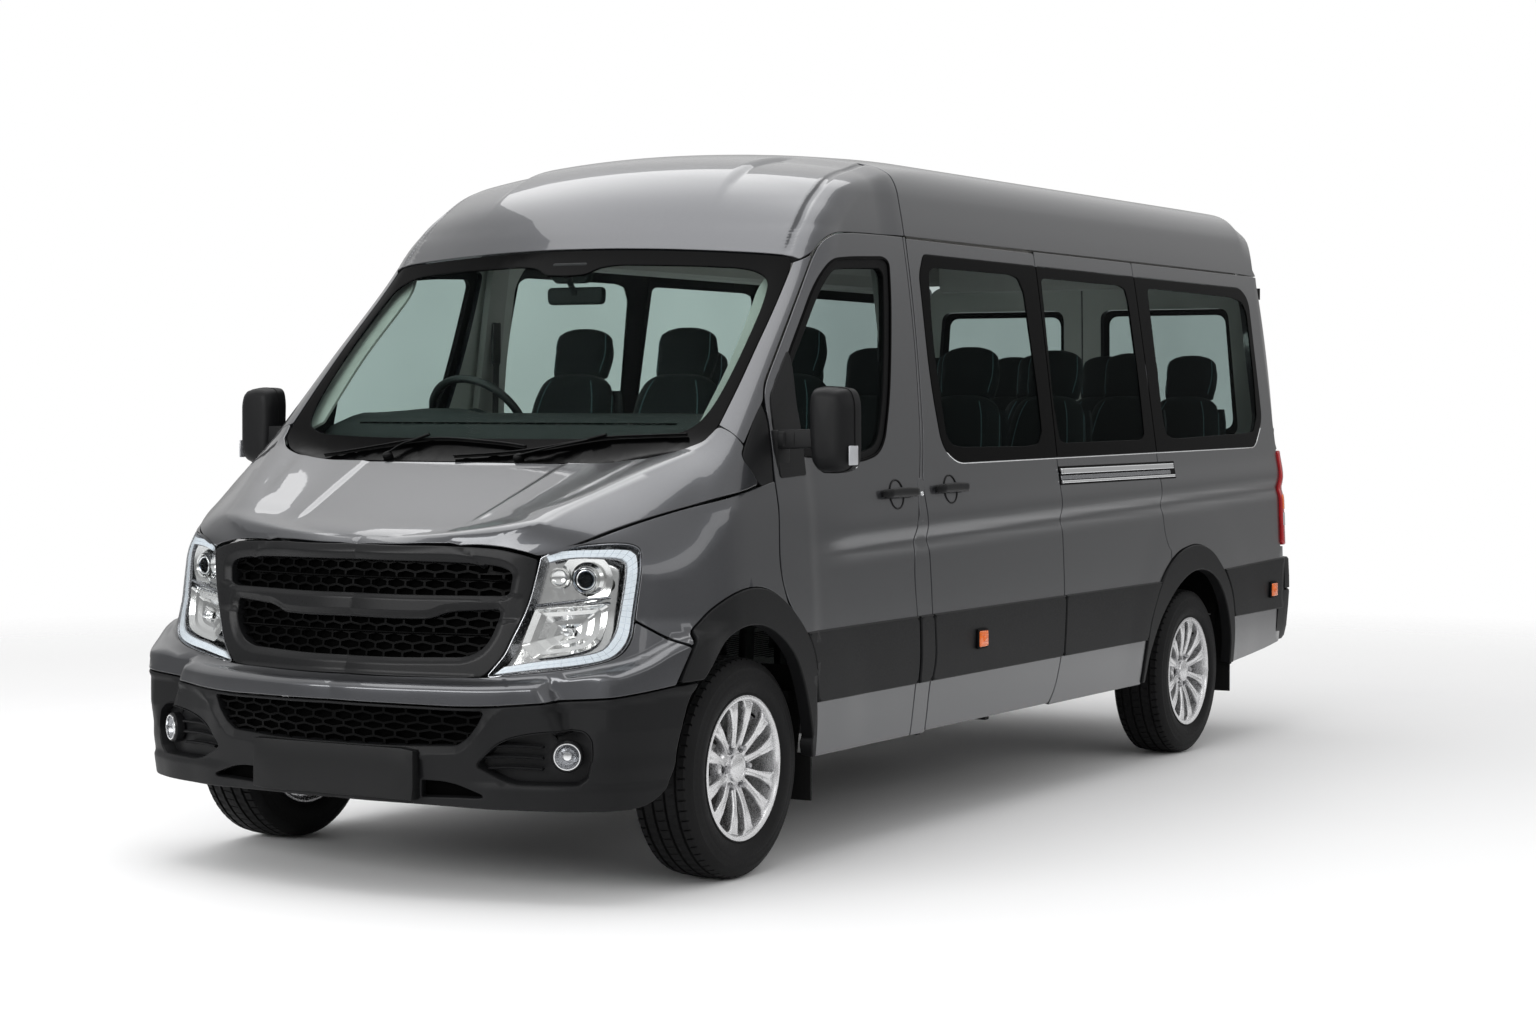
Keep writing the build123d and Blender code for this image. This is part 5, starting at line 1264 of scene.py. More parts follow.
LAMP = [(0.652, 1.031, .01), (0.700, 1.058), (0.748, 1.068), (0.823, 1.075), (0.874, 1.072, .015), (0.893, 1.062, .015), (0.897, 1.048, .02), (0.884, 0.965), (0.874, 0.905), (0.864, 0.846), (0.856, 0.802), (0.844, 0.773, .05), (0.824, 0.744, .05), (0.789, 0.724, .05), (0.733, 0.709),
        (0.665, 0.696), (0.591, 0.685), (0.500, 0.673, .006), (0.525, 0.704), (0.553, 0.740), (0.572, 0.785), (0.594, 0.830), (0.613, 0.875), (0.627, 0.920), (0.641, 0.980)]
seam_top = side_to(WRAP, [(2.126, 1.213), (1.97, 1.238), (1.906, 1.2475, .006)])
dfront = side_to(WRAP, [(1.903, 1.200), (1.901, 1.151), (1.917, 1.001), (1.906, 0.932), (1.874, 0.862, .02), (1.866, 0.852, .006)])
tfront = side_to(WRAP, [(1.955, 0.9015), (2.067, 0.9265), (2.196, 0.9145), (2.313, 0.8665), (2.410, 0.8035), (2.444, 0.770, .006)])
FEND = [(0.662, 1.036, .003), (0.749, 1.073), (0.862, 1.1155), (0.985, 1.152), (1.105, 1.183)] + seam_top + dfront + tfront + \
       [(0.992, 0.769, .004), (0.939, 0.796), (0.901, 0.822), (0.868, 0.846, .004), (0.877, 0.905), (0.887, 0.965), (0.900, 1.048, .02), (0.896, 1.064, .02), (0.876, 1.075, .02), (0.823, 1.0785), (0.748, 1.0715), (0.700, 1.0605)]
fl = panel('fender_l', WRAP, FEND, (), (0.03, 0.025) if not QUICK else (0.05, 0.05), depth=0.022, r=0.01, mats=[M['paint'], M['under']], rows=[[(c, z + float(_climb(min(c / R0, 1.5)))) for c in np.linspace(0.85, 1.10, 16)] for z in (0.630, 0.641, 0.655, 0.669)])
frn = mirror(fl, 'fender_r')
fen = join_objs('fender_skins', [fl, frn]); own(fen, BODY, 'body_paint', 'front_fenders')

BUMP_UP = [(0.0, 0.665), (0.222, 0.666), (0.483, 0.670), (0.591, 0.682), (0.665, 0.693), (0.733, 0.706), (0.791, 0.721), (0.827, 0.741), (0.848, 0.771), (0.860, 0.802), (0.867, 0.839, .004), (0.901, 0.814), (0.939, 0.788), (0.990, 0.759, .006),
           (0.984, 0.748), (0.957, 0.693), (0.938, 0.652, .006), (0.855, 0.638), (0.757, 0.623), (0.630, 0.606), (0.510, 0.593), (0.402, 0.589), (0.250, 0.592), (0.0, 0.594)]
_c = np.linspace(0.0, 1.02, 52)
ledge = lambda z: [(c, z + float(_climb(min(c / R0, 1.5)))) for c in _c]
LEDGE = [[(-a, b) for a, b in l] for l in map(ledge, (0.618, 0.630, 0.636, 0.641, 0.655, 0.669, 0.675))] + list(map(ledge, (0.618, 0.630, 0.636, 0.641, 0.655, 0.669, 0.675)))
bu = panel('bumper_strip', WRAP, sym(BUMP_UP), (), (0.04, 0.012) if not QUICK else (0.08, 0.03), es=0.012, depth=0.03, r=0.006, mats=[M['paint'], M['under']], rows=LEDGE, rs=0.012)
own(bu, BODY, 'body_paint', 'bumper_upper')

BUMP_LO = [(0.0, 0.589), (0.250, 0.587), (0.402, 0.584), (0.510, 0.588), (0.630, 0.601), (0.757, 0.618), (0.855, 0.633), (0.939, 0.647), (1.014, 0.654, .008), (0.982, 0.603), (0.958, 0.515), (0.946, 0.394), (0.922, 0.336), (0.880, 0.301), (0.845, 0.289), (0.780, 0.284), (0.675, 0.283),
           (0.535, 0.282), (0.367, 0.284), (0.240, 0.287), (0.0, 0.288)]
MESH_LO = [(0.0, 0.579), (0.250, 0.577), (0.402, 0.574), (0.488, 0.576, .01), (0.471, 0.536), (0.445, 0.492, .03), (0.412, 0.468, .03), (0.248, 0.460), (0.0, 0.459)]
FOG = [(0.468, 0.412, .015), (0.530, 0.488, .04), (0.606, 0.514), (0.699, 0.526, .03), (0.724, 0.522, .02), (0.737, 0.500, .03), (0.739, 0.441), (0.732, 0.382, .02), (0.714, 0.361, .02), (0.562, 0.359, .04), (0.509, 0.387)]
VENT = [(0.312, 0.361, .004), (0.399, 0.360, .01), (0.516, 0.316, .01), (0.310, 0.310, .004)]
FRAME = [(0.535, 0.586), (0.457, 0.475), (0.415, 0.443), (0.310, 0.436)]   # outer fold of the frame round the lower mesh


def bump_disp(P):
    U = WRAP.inv(P); c, z = np.abs(U[:, 0]), U[:, 1]
    d = 0.007 * sstep(0.365, 0.345, z) * sstep(0.40, 0.52, c)                       # lower lip stands out
    zl = np.interp(c, [0.43, 0.50, 0.56, 0.70, 0.80, 0.95], [0.47, 0.55, 0.585, 0.60, 0.612, 0.63])
    d = d - 0.006 * sstep(zl + 0.004, zl - 0.012, z) * sstep(0.47, 0.53, c) * sstep(0.40, 0.46, z)   # face set back under the top ledge
    d = d - 0.009 * sstep(0.306, 0.296, c) * sstep(0.300, 0.312, z) * sstep(0.459, 0.449, z)   # seat of the plate board
    # bevelled frame falling in to the lower mesh
    Q = np.stack([c, z], 1); m = inside(FR_IN, Q)
    if m.any():
        a_, b_ = near(ME_IN, Q[m]), near(FR_IN, Q[m]); d[m] = d[m] - 0.016 * b_ / np.maximum(a_ + b_, 1e-6)
    return d


FR_IN = np.array([(-0.70, 0.436), (-0.70, 0.70), (0.60, 0.70), (0.540, 0.596)] + FRAME)
ME_IN = np.array([(-0.70, 0.459), (-0.70, 0.70), (0.49, 0.70), (0.488, 0.576), (0.471, 0.536), (0.445, 0.492), (0.412, 0.468), (0.248, 0.460)])
_fr = np.array(curve(FRAME, 30))
BROWS = [_fr, offset_line(_fr, 0.007), offset_line(_fr, -0.007), np.array([(0.310, 0.436), (0.0, 0.436)]), np.array([(0.310, 0.443), (0.0, 0.443)]), np.array([(0.310, 0.429), (0.0, 0.429)])]
BROWS = BROWS + [b * [-1, 1] for b in BROWS]


bl = panel('bumper_lower', WRAP, sym(BUMP_LO), [sym(MESH_LO), FOG, [(-p[0],) + tuple(p[1:]) for p in FOG], VENT, [(-p[0],) + tuple(p[1:]) for p in VENT]],
           (0.02, 0.012) if not QUICK else (0.05, 0.03), es=0.010, depth=0.035, r=0.008, lip=0.005, mats=[M['char'], M['under']], disp=bump_disp, rows=BROWS, rs=0.010)
own(bl, BODY, 'charcoal_plastic', 'front_bumper')

GRILLE = [(0.0, 1.064), (0.193, 1.061), (0.348, 1.063), (0.483, 1.059), (0.543, 1.055), (0.598, 1.042), (0.644, 1.026, .01), (0.637, 0.980), (0.623, 0.920), (0.609, 0.875), (0.590, 0.830), (0.568, 0.785), (0.549, 0.740), (0.521, 0.704), (0.492, 0.675, .03), (0.440, 0.669), (0.222, 0.668), (0.0, 0.668)]
G_UP = [(0.0, 1.016), (0.203, 1.015), (0.350, 1.014), (0.483, 1.011), (0.545, 1.002, .03), (0.574, 0.985, .03), (0.563, 0.922, .02), (0.540, 0.917), (0.208, 0.914), (0.0, 0.915)]
G_LO = [(0.0, 0.841), (0.213, 0.840), (0.315, 0.842), (0.371, 0.865, .03), (0.536, 0.876, .012), (0.526, 0.829), (0.506, 0.783), (0.477, 0.750, .05), (0.432, 0.731, .05), (0.219, 0.724), (0.0, 0.723)]


def grille_disp(P):
    U = WRAP.inv(P); c, z = np.abs(U[:, 0]), U[:, 1]
    # bevels falling in to the two openings, and a soft hollow across the bar between them
    Q = np.stack([c, z], 1)
    dm = np.minimum(near(GU, Q), near(GL, Q))
    d = -0.013 * np.clip(1 - dm / 0.020, 0, 1)
    d = d - 0.008 * np.clip((0.046 - np.abs(z - 0.880)) / 0.012, 0, 1) * np.clip((0.60 - c) / 0.03, 0, 1)
    return d


GU, GL = rounded(sym(G_UP), 0.01, 0.012), rounded(sym(G_LO), 0.01, 0.012)
ring_line = lambda o, d: np.array(off_poly(o, d, r=0.01, step=0.008) + [off_poly(o, d, r=0.01, step=0.008)[0]])
GROWS = [ring_line(sym(G_UP), d_) for d_ in (0.0095, 0.020, 0.026)] + [ring_line(sym(G_LO), d_) for d_ in (0.0095, 0.020, 0.026)]
# the surround's inner skin takes the near-black painted-shade material
gr = panel('grille_surround', WRAP, sym(GRILLE), [sym(G_UP), sym(G_LO)], (0.02, 0.010) if not QUICK else (0.05, 0.02), es=0.010, depth=0.045, r=0.01, lip=0.004, mats=[M['char_gloss'], M['void']], disp=grille_disp, rows=GROWS, rs=0.009)


def honeycomb(name, outline, off, w=0.074, h=0.034, t=0.0040, dep=0.008):
    """hexagon lattice carried round the nose behind an opening"""
    ring = rounded(outline, 0.01, 0.02)
    if area2(ring) < 0: ring = ring[::-1]
    lo, hi = ring.min(0), ring.max(0)
    V, F = [], []
    rows = int((hi[1] - lo[1]) / (h * 0.75)) + 3; cols = int((hi[0] - lo[0]) / w) + 3
    hexa = [(0, .5), (.5, .25), (.5, -.25), (0, -.5), (-.5, -.25), (-.5, .25)]
    cs = []
    for j in range(rows):
        for i in range(cols):
            cs.append((lo[0] - w + i * w + (j % 2) * w / 2, lo[1] - h / 2 + j * h * 0.75))
    cs = np.array(cs)
    big = inside(ring, cs) | (near(ring, cs) < 0.32 * w)
    cs = cs[big]
    k = 0
    uv = []
    for cx, cz in cs:
        for s in (1.0, 1.0 - 2 * t / h):
            for a, b in hexa: uv.append((cx + a * w * (s if s == 1.0 else 1 - 2 * t / w), cz + b * h * s))
    uv = np.array(uv); P = WRAP.pts(uv); N = grad(P)
    n = len(cs)
    P0 = P + N * off; P1 = P + N * (off - dep)
    allv = np.concatenate([P0, P1]); m = len(P)
    for c in range(n):
        b = c * 12
        for i in range(6):
            j = (i + 1) % 6
            F.append((b + i, b + j, b + 6 + j, b + 6 + i))
            F.append((b + 6 + i, b + 6 + j, m + b + 6 + j, m + b + 6 + i))
            F.append((m + b + i, m + b + 6 + i, m + b + 6 + j, m + b + j))
            F.append((b + j, b + i, m + b + i, m + b + j))
    bm = bmesh.new(); vs = [bm.verts.new(tuple(v)) for v in allv]
    for q in F: bm.faces.new([vs[i] for i in q])
    bmesh.ops.recalc_face_normals(bm, faces=bm.faces[:])
    return obj_bm(name, bm, [M['mesh']], 30)


def backing(name, outline, off, mat, es=0.02):
    return panel(name, WRAP, outline, (), (0.05, 0.04), es=es, depth=0.004, lip=0.001, off=off, mats=[mat, mat], r=0.01)


g1 = honeycomb('g1', sym(G_UP), -0.034); g2 = honeycomb('g2', sym(G_LO), -0.034)
# g3, g4: flat near-black sheets behind the openings, painted shade standing in for the dark space behind the grille
g3 = backing('g3', off_poly(sym(G_UP), 0.010), -0.052, M['void']); g4 = backing('g4', off_poly(sym(G_LO), 0.010), -0.052, M['void'])
# horizontal vanes across each opening
vanes = []
for (z0, ca) in ((0.965, 0.555), (0.800, 0.50)):
    U = np.array([(c, z0) for c in np.linspace(-ca, ca, 61)]); P = WRAP.pts(U); N = grad(P); P = P - N * 0.030
    vanes.append(tube('v%d' % len(vanes), [tuple(p) for p in P], 0.0075, M['mesh'], n=10, flat=0.5))
own(join_objs('grille_surround_and_mesh', [gr] + [g1, g2, g3, g4] + vanes), BODY, 'charcoal_plastic', 'front_grille')
# l2, v1, v2: near-black sheets behind the lower mesh and the vents, painted shade for the dark space behind them
l1 = honeycomb('l1', sym(MESH_LO), -0.028); l2 = backing('l2', off_poly(sym(MESH_LO), 0.008), -0.046, M['void'])
v1 = backing('v1', off_poly(VENT, 0.006), -0.03, M['void']); v2 = mirror(v1, 'v2')
own(join_objs('lower_mesh', [l1, l2, v1, v2]), BODY, 'charcoal_plastic')

# plate holder: a flat blank board
PX = float(WRAP.pts(np.array([[0.0, 0.38]]))[0, 0])
pb = prism('plate_board', [(-0.308, 0.302), (0.308, 0.302), (0.308, 0.457), (-0.308, 0.457)], 'x', PX - 0.030, min(PX + 0.007, 2.9125), M['plate'], bevel=0.002, r=0.005, es=0.04)
own(pb, BODY, 'charcoal_plastic')


# ------------------------------------------------------------------ lamps
def pt(c, z, off=0.0):
    P = WRAP.pts(np.array([[c, z]], float)); N = grad(P)
    return Vector(P[0] + N[0] * off), Vector(N[0])


def skirt(name, mp, outline, a, b, mat, es=0.01, r=0.02, flip_=False, inset=0.0):
    q = rounded(outline, r, es)
    if area2(q) < 0: q = q[::-1]
    P = mp.pts(q); N = grad(P)
    cen = P.mean(0)
    A = P + N * a; B = P + N * b + (cen - P) * inset
    n = len(q); V = np.concatenate([A, B]); F = [(i, (i + 1) % n, n + (i + 1) % n, n + i) for i in range(n)]
    bm = bmesh.new(); vs = [bm.verts.new(tuple(v)) for v in V]
    for f4 in F: bm.faces.new([vs[i] for i in f4])
    o = obj_bm(name, bm, [mat], 50)
    s = o.modifiers.new('s', 'SOLIDIFY'); s.thickness = 0.002; s.offset = 0
    return bake(o)


def bake(o):
    dg = bpy.context.evaluated_depsgraph_get(); dg.update()
    me = bpy.data.meshes.new_from_object(o.evaluated_get(dg)); me.name = o.name
    old = o.data; o.modifiers.clear(); o.data = me
    return o


LED_OUT = [(0.664, 1.038), (0.699, 1.052), (0.769, 1.058), (0.850, 1.059), (0.883, 1.047), (0.883, 1.000), (0.868, 0.906), (0.852, 0.815), (0.832, 0.768), (0.795, 0.734), (0.720, 0.714), (0.645, 0.703), (0.520, 0.682)]
LED_IN = [(0.671, 1.019), (0.706, 1.030), (0.764, 1.036), (0.830, 1.036), (0.857, 1.024), (0.857, 0.990), (0.843, 0.903), (0.827, 0.826), (0.808, 0.785), (0.780, 0.754), (0.708, 0.735), (0.634, 0.722), (0.548, 0.704)]


def lamp_left():
    obs = []
    # housing: side wall, back and inner bezel
    obs.append(skirt('a', WRAP, LAMP, -0.002, -0.060, M['silver'], inset=0.06))
    obs.append(panel('b', WRAP, off_poly(LAMP, -0.006), (), (0.03, 0.03), es=0.012, depth=0.003, lip=0.001, off=-0.060, mats=[M['reflector'], M['silver']], r=0.01))
    # light guide: tiles between two runs
    n = 44 if not QUICK else 20
    A, B = curve(LED_OUT, n + 1), curve(LED_IN, n + 1)
    V, F = [], []
    for i in range(n):
        for j in range(2):
            g0, g1 = 0.02, 0.98
            h0, h1 = (0.01, 0.485) if j == 0 else (0.515, 0.99)
            cs = []
            for s, h in ((g0, h0), (g1, h0), (g1, h1), (g0, h1)):
                a = A[i] * (1 - s) + A[i + 1] * s; b = B[i] * (1 - s) + B[i + 1] * s
                cs.append(a * (1 - h) + b * h)
            V.append(cs)
    U = np.array(V).reshape(-1, 2); P = WRAP.pts(U); N = grad(P)
    T0 = P - N * 0.0085; Cn = T0.reshape(-1, 4, 3).mean(1, keepdims=True)
    T1 = (T0.reshape(-1, 4, 3) * 0.95 + Cn * 0.05).reshape(-1, 3) + N * 0.002
    T2 = P - N * 0.014
    m = len(P); VV = np.concatenate([T1, T0, T2])
    for i in range(0, m, 4):
        F.append((i, i + 1, i + 2, i + 3))
        for k in range(4):
            l = (k + 1) % 4
            F.append((m + i + k, m + i + l, i + l, i + k)); F.append((2 * m + i + k, 2 * m + i + l, m + i + l, m + i + k))
        F.append((2 * m + i + 3, 2 * m + i + 2, 2 * m + i + 1, 2 * m + i))
    bm = bmesh.new(); vs = [bm.verts.new(tuple(v)) for v in VV]
    for q in F: bm.faces.new([vs[i] for i in q])
    bmesh.ops.recalc_face_normals(bm, faces=bm.faces[:])
    obs.append(obj_bm('c', bm, [M['led']], 20))
    # carrier of the guide
    strip = [tuple(p) for p in curve(LED_OUT, 30)] + [tuple(p) for p in curve(LED_IN, 30)[::-1]]
    obs.append(panel('c2', WRAP, off_poly(strip, 0.0035, r=0.0, step=0.012), (), (0.03, 0.03), es=0.012, depth=0.010, lip=0.002, off=-0.0145, mats=[M['silver'], M['silver']], r=0.002))
    # upper bowl with the projector
    c0, nrm = pt(0.755, 0.970, -0.052)
    fwd = (Vector((1.0, 0.30, 0.0)).normalized())
    o0 = c0
    obs.append(lathe('d', [(0.004, 0.082), (0.000, 0.070), (-0.004, 0.052), (0.004, 0.043), (0.016, 0.041), (0.022, 0.038), (0.018, 0.034), (0.006, 0.031), (-0.01, 0.030)], o0, fwd, M['reflector'], 48))
    # a near-black disc behind the projector lens: painted shade for the dark lamp interior
    obs.append(lathe('e', [(0.004, 0.0), (0.004, 0.031)], o0, fwd, M['void'], 32))
    obs.append(lathe('f', [(0.034, 0.0), (0.0330, 0.006), (0.0295, 0.013), (0.0235, 0.019), (0.0150, 0.0235), (0.006, 0.0245), (0.0045, 0.0)], o0, fwd, M['projector'], 40))
    obs.append(lathe('f2', [(0.010, 0.0245), (0.017, 0.0245), (0.019, 0.028), (0.014, 0.031), (0.010, 0.030)], o0, fwd, M['chrome'], 40, closed=True))
    # side reflector bowls left and right of the projector
    for cc, zz, rr in ((0.690, 0.975, 0.032), (0.815, 0.955, 0.022)):
        c1, _ = pt(cc, zz, -0.050)
        obs.append(lathe('g%.3f' % cc, [(0.012, rr), (0.004, rr * 0.86), (-0.004, rr * 0.55), (-0.007, 0.0)], c1, fwd, M['reflector'], 32))
    # divider bar with its lip
    U = curve([(0.625, 0.888), (0.70, 0.900), (0.765, 0.910), (0.815, 0.915)], 16)
    P = WRAP.pts(U); N = grad(P)
    obs.append(tube('h', [tuple(p) for p in P - N * 0.030], 0.010, M['silver'], n=10, flat=0.45))
    obs.append(tube('h2', [tuple(p) for p in P - N * 0.040 + np.array([0, 0, -0.016])], 0.009, M['chrome'], n=10, flat=0.5))
    # lower bowl: stepped facets that fan outward
    low = [(0.632, 0.878), (0.808, 0.895), (0.800, 0.830), (0.782, 0.785), (0.752, 0.760), (0.690, 0.742), (0.622, 0.732), (0.592, 0.770), (0.612, 0.826)]
    V, F = [], []
    cx, cz = 0.705, 0.815
    ring = rounded(low, 0.01, 0.010)
    K = 5
    for k in range(K + 1):
        s = 1 - k / (K + 1.0)
        q = np.stack([cx + (ring[:, 0] - cx) * s, cz + (ring[:, 1] - cz) * s], 1)
        P = WRAP.pts(q); N = grad(P); V.append(P - N * (0.020 + 0.038 * (1 - s) ** 0.7 + (0.004 if k % 2 else 0.0)))
    nn = len(ring); V = np.concatenate(V)
    for k in range(K):
        for i in range(nn):
            j = (i + 1) % nn
            F.append((k * nn + i, k * nn + j, (k + 1) * nn + j, (k + 1) * nn + i))
    F.append(tuple(K * nn + i for i in range(nn)))
    bm = bmesh.new(); vs = [bm.verts.new(tuple(v)) for v in V]
    for q in F: bm.faces.new([vs[i] for i in q])
    bmesh.ops.recalc_face_normals(bm, faces=bm.faces[:]); bmesh.ops.triangulate(bm, faces=[q for q in bm.faces if len(q.verts) > 4])
    o = obj_bm('i', bm, [M['reflector']], 12)
    s = o.modifiers.new('s', 'SOLIDIFY'); s.thickness = 0.0015; s.offset = -1
    obs.append(bake(o))
    # bulb shield in the lower bowl
    c2, _ = pt(0.705, 0.815, -0.045)
    obs.append(lathe('j', [(0.022, 0.0), (0.020, 0.009), (0.010, 0.013), (-0.004, 0.013)], c2, fwd, M['chrome'], 28))
    # row of small ribs under the divider
    for i in range(7):
        u = 0.665 + i * 0.019
        a, _n = pt(u, 0.886 + i * 0.0015, -0.034); b, _n = pt(u, 0.870 + i * 0.0015, -0.030)
        obs.append(tube('k%d' % i, [a, b], 0.0022, M['chrome'], n=6))
    return join_objs('lamp_inner_l', obs)


li = lamp_left(); lr = mirror(li, 'lamp_inner_r')
own(join_objs('headlamp_units', [li, lr]), BODY, 'lamp_clear', 'headlamps')
lens = panel('lens_l', WRAP, off_poly(LAMP, -0.0015), (), (0.03, 0.03), es=0.008, depth=0.003, lip=0.0015, off=-0.001, mats=[M['lens_clear'], M['lens_clear']], r=0.01)
lensr = mirror(lens, 'lens_r')
own(join_objs('headlamp_lenses', [lens, lensr]), BODY, 'lamp_clear')


def fog_left():
    obs = []
    c, z = 0.685, 0.446
    obs.append(skirt('fa', WRAP, FOG, -0.004, -0.040, M['char'], inset=0.04))
    obs.append(panel('fb', WRAP, off_poly(FOG, -0.003), (), (0.03, 0.03), es=0.012, depth=0.004, lip=0.001, off=-0.040, mats=[M['char'], M['char']], r=0.01))
    for k, zz in enumerate((0.470, 0.437, 0.404)):
        U = curve([(0.490 + 0.012 * abs(k - 1), zz), (0.56, zz + 0.004), (0.632, zz + 0.002)], 14)
        P = WRAP.pts(U); N = grad(P)
        obs.append(tube('fc%d' % k, [tuple(p) for p in P - N * 0.022], 0.012, M['char'], n=10, flat=0.4))
    o, nrm = pt(c, z, -0.020)
    fwd = Vector((1.0, 0.55, 0.0)).normalized()
    obs.append(lathe('fd', [(-0.020, 0.048), (0.004, 0.048), (0.010, 0.044), (0.010, 0.040), (0.002, 0.038)], o, fwd, M['char_gloss'], 48))
    obs.append(lathe('fe', [(0.006, 0.039), (0.004, 0.037), (-0.006, 0.030), (-0.014, 0.018), (-0.016, 0.0)], o, fwd, M['silver'], 48))
    obs.append(lathe('ff', [(0.003, 0.0), (0.002, 0.012), (-0.004, 0.014), (-0.014, 0.014)], o, fwd, M['chrome'], 28))
    obs.append(lathe('fh', [(0.009, 0.0405), (0.0125, 0.0400), (0.0125, 0.0370), (0.008, 0.0365)], o, fwd, M['chrome'], 48))
    obs.append(lathe('fg', [(0.0045, 0.0385), (0.0095, 0.030), (0.0125, 0.015), (0.0135, 0.0)], o, fwd, M['lens_clear'], 40))
    return join_objs('fog_l', obs)


fo = fog_left(); fr2 = mirror(fo, 'fog_r')
own(join_objs('fog_lamps', [fo, fr2]), BODY, 'lamp_clear')

# arch trims
AT = [(2.506, 0.657, .006), (2.483, 0.705), (2.450, 0.753), (2.408, 0.801), (2.312, 0.864), (2.196, 0.912), (2.067, 0.924), (1.955, 0.899), (1.8655, 0.8495, .004), (1.767, 0.768), (1.707, 0.688), (1.668, 0.531), (1.645, 0.343, .006), (1.668, 0.343, .006)] + \
     [(1.738, 0.520), (1.779, 0.605), (1.837, 0.690), (1.934, 0.761), (2.040, 0.802), (2.145, 0.805), (2.238, 0.783), (2.322, 0.735), (2.408, 0.660, .006)]
a1 = panel('af', SIDE_M, AT, (), (0.02, 0.02), es=0.010, depth=0.045, lip=0.006, off=0.009, mats=[M['char'], M['under']], r=0.01)
RT = [(-1.121, 0.347, .006)] + [(x, z) for x, z in TRIM_R[1:-1]] + [(-2.163, 0.352, .006), (-2.118, 0.352, .006)] + [(x, z) for x, z in ARCH_R[::-1][1:-1]] + [(-1.148, 0.347, .006)]
a2 = panel('ar', SIDE_M, RT, (), (0.02, 0.02), es=0.010, depth=0.045, lip=0.006, off=0.009, mats=[M['char'], M['under']], r=0.01)
a5 = rbox('al', (-2.152, 0.925, 0.345), (-2.138, 0.992, 0.62), M['under'], 0.002, 1)
a3, a4, a6 = mirror(a1, 'afr'), mirror(a2, 'arr'), mirror(a5, 'alr')
own(join_objs('arch_trim_skins', [a1, a2, a3, a4, a5, a6]), BODY, 'charcoal_plastic', 'arch_trims')

# ------------------------------------------------------------------ side mouldings, handles, rail, markers
def sp(x, z, off=0.0):
    """a point on the left side"""
    P = SIDE_M.pts(np.array([[x, z]], float)); N = grad(P)
    return Vector(P[0] + N[0] * off), Vector(N[0])


MK = dict(step=(0.05, 0.03), es=0.012, depth=0.022, lip=0.006, off=0.010, mats=[M['char'], M['under']])
m_door = panel('md', SIDE_M, [(0.942, 0.522, .004), (0.934, 0.600), (0.949, 0.757, .004), (1.758, 0.757, .004), (1.710, 0.684), (1.674, 0.575), (1.664, 0.522, .004)], r=0.05, **MK)
m_door2 = mirror(m_door, 'front_door_moulding_right'); m_door.name = 'front_door_moulding_left'
own(m_door, 'front_door_left', 'charcoal_plastic'); own(m_door2, 'front_door_right', 'charcoal_plastic')
rm = []
rm.append(panel('ms', SIDE_M, [(0.829, 0.757, .004), (0.806, 0.600), (0.832, 0.522, .004), (-0.294, 0.522, .004), (-0.298, 0.757, .004)], r=0.05, **MK))
rm.append(panel('mm', SIDE_M, [(-0.306, 0.757, .004), (-0.302, 0.522, .004), (-1.137, 0.522, .004), (-1.160, 0.606), (-1.240, 0.727), (-1.272, 0.757, .004)], r=0.05, **MK))
rm.append(panel('mb', QUA, [(-1.998, 0.772, .004), (-2.086, 0.676), (-2.132, 0.556, .004), (-2.825, 0.556, .004), (-2.832, 0.79, .004), (-2.60, 0.786)], r=0.05, **MK))
rq = [mirror(rm[2], 'mbr'), mirror(rm[1], 'mmr')]
rq.append(mirror(rm[0], 'msr'))
gap_r = panel('gapr', SIDE_M, [(0.9265, 0.522, .004), (0.919, 0.600), (0.9345, 0.757, .004), (0.8345, 0.757, .004), (0.812, 0.600), (0.838, 0.522, .004)], r=0.05, **MK)
gap_m = mirror(gap_r, 'gaprr')
own(join_objs('side_moulding_skins', rm + rq + [gap_r, gap_m]), BODY, 'charcoal_plastic', 'side_mouldings')

# rail cover: dark channel with two bright strips
rc = [panel('rc0', SIDE_M, [(-0.300, 1.253), (-1.480, 1.253), (-1.480, 1.180), (-0.300, 1.180)], step=(0.06, 0.03), es=0.012, depth=0.012, lip=0.002, off=0.0025, mats=[M['black'], M['under']], r=0.006)]
rc.append(panel('rc1', SIDE_M, [(-0.306, 1.244), (-1.452, 1.244), (-1.452, 1.221), (-0.306, 1.221)], step=(0.06, 0.008), es=0.008, depth=0.012, lip=0.005, off=0.013, mats=[M['chrome'], M['under']], r=0.004))
rc.append(panel('rc2', SIDE_M, [(-0.306, 1.216), (-1.420, 1.216), (-1.420, 1.200), (-0.306, 1.200)], step=(0.06, 0.02), es=0.012, depth=0.008, lip=0.002, off=0.006, mats=[M['silver'], M['under']], r=0.003))
rc.append(panel('rc3', SIDE_M, [(-0.306, 1.197), (-1.456, 1.197), (-1.456, 1.186), (-0.306, 1.186)], step=(0.06, 0.008), es=0.006, depth=0.012, lip=0.004, off=0.012, mats=[M['chrome'], M['under']], r=0.003))
own(join_objs('slide_rail_strips', rc), BODY, 'bright_trim', 'slide_rail_cover')

# bright line along the foot of the windows
q = np.array([p for p in off_poly(BAND, 0.0020, step=0.02, r=0.05) if p[1] < (1.39 if p[0] < -2.0 else 1.325)]); P = SIDE_M.pts(q); N = grad(P)
bead = tube('window_foot_bead', [tuple(p) for p in P + N * 0.0005], 0.0021, M['chrome'], n=8)
bead2 = mirror(bead, 'wfb2')
own(join_objs('window_foot_beads', [bead, bead2]), BODY, 'bright_trim')


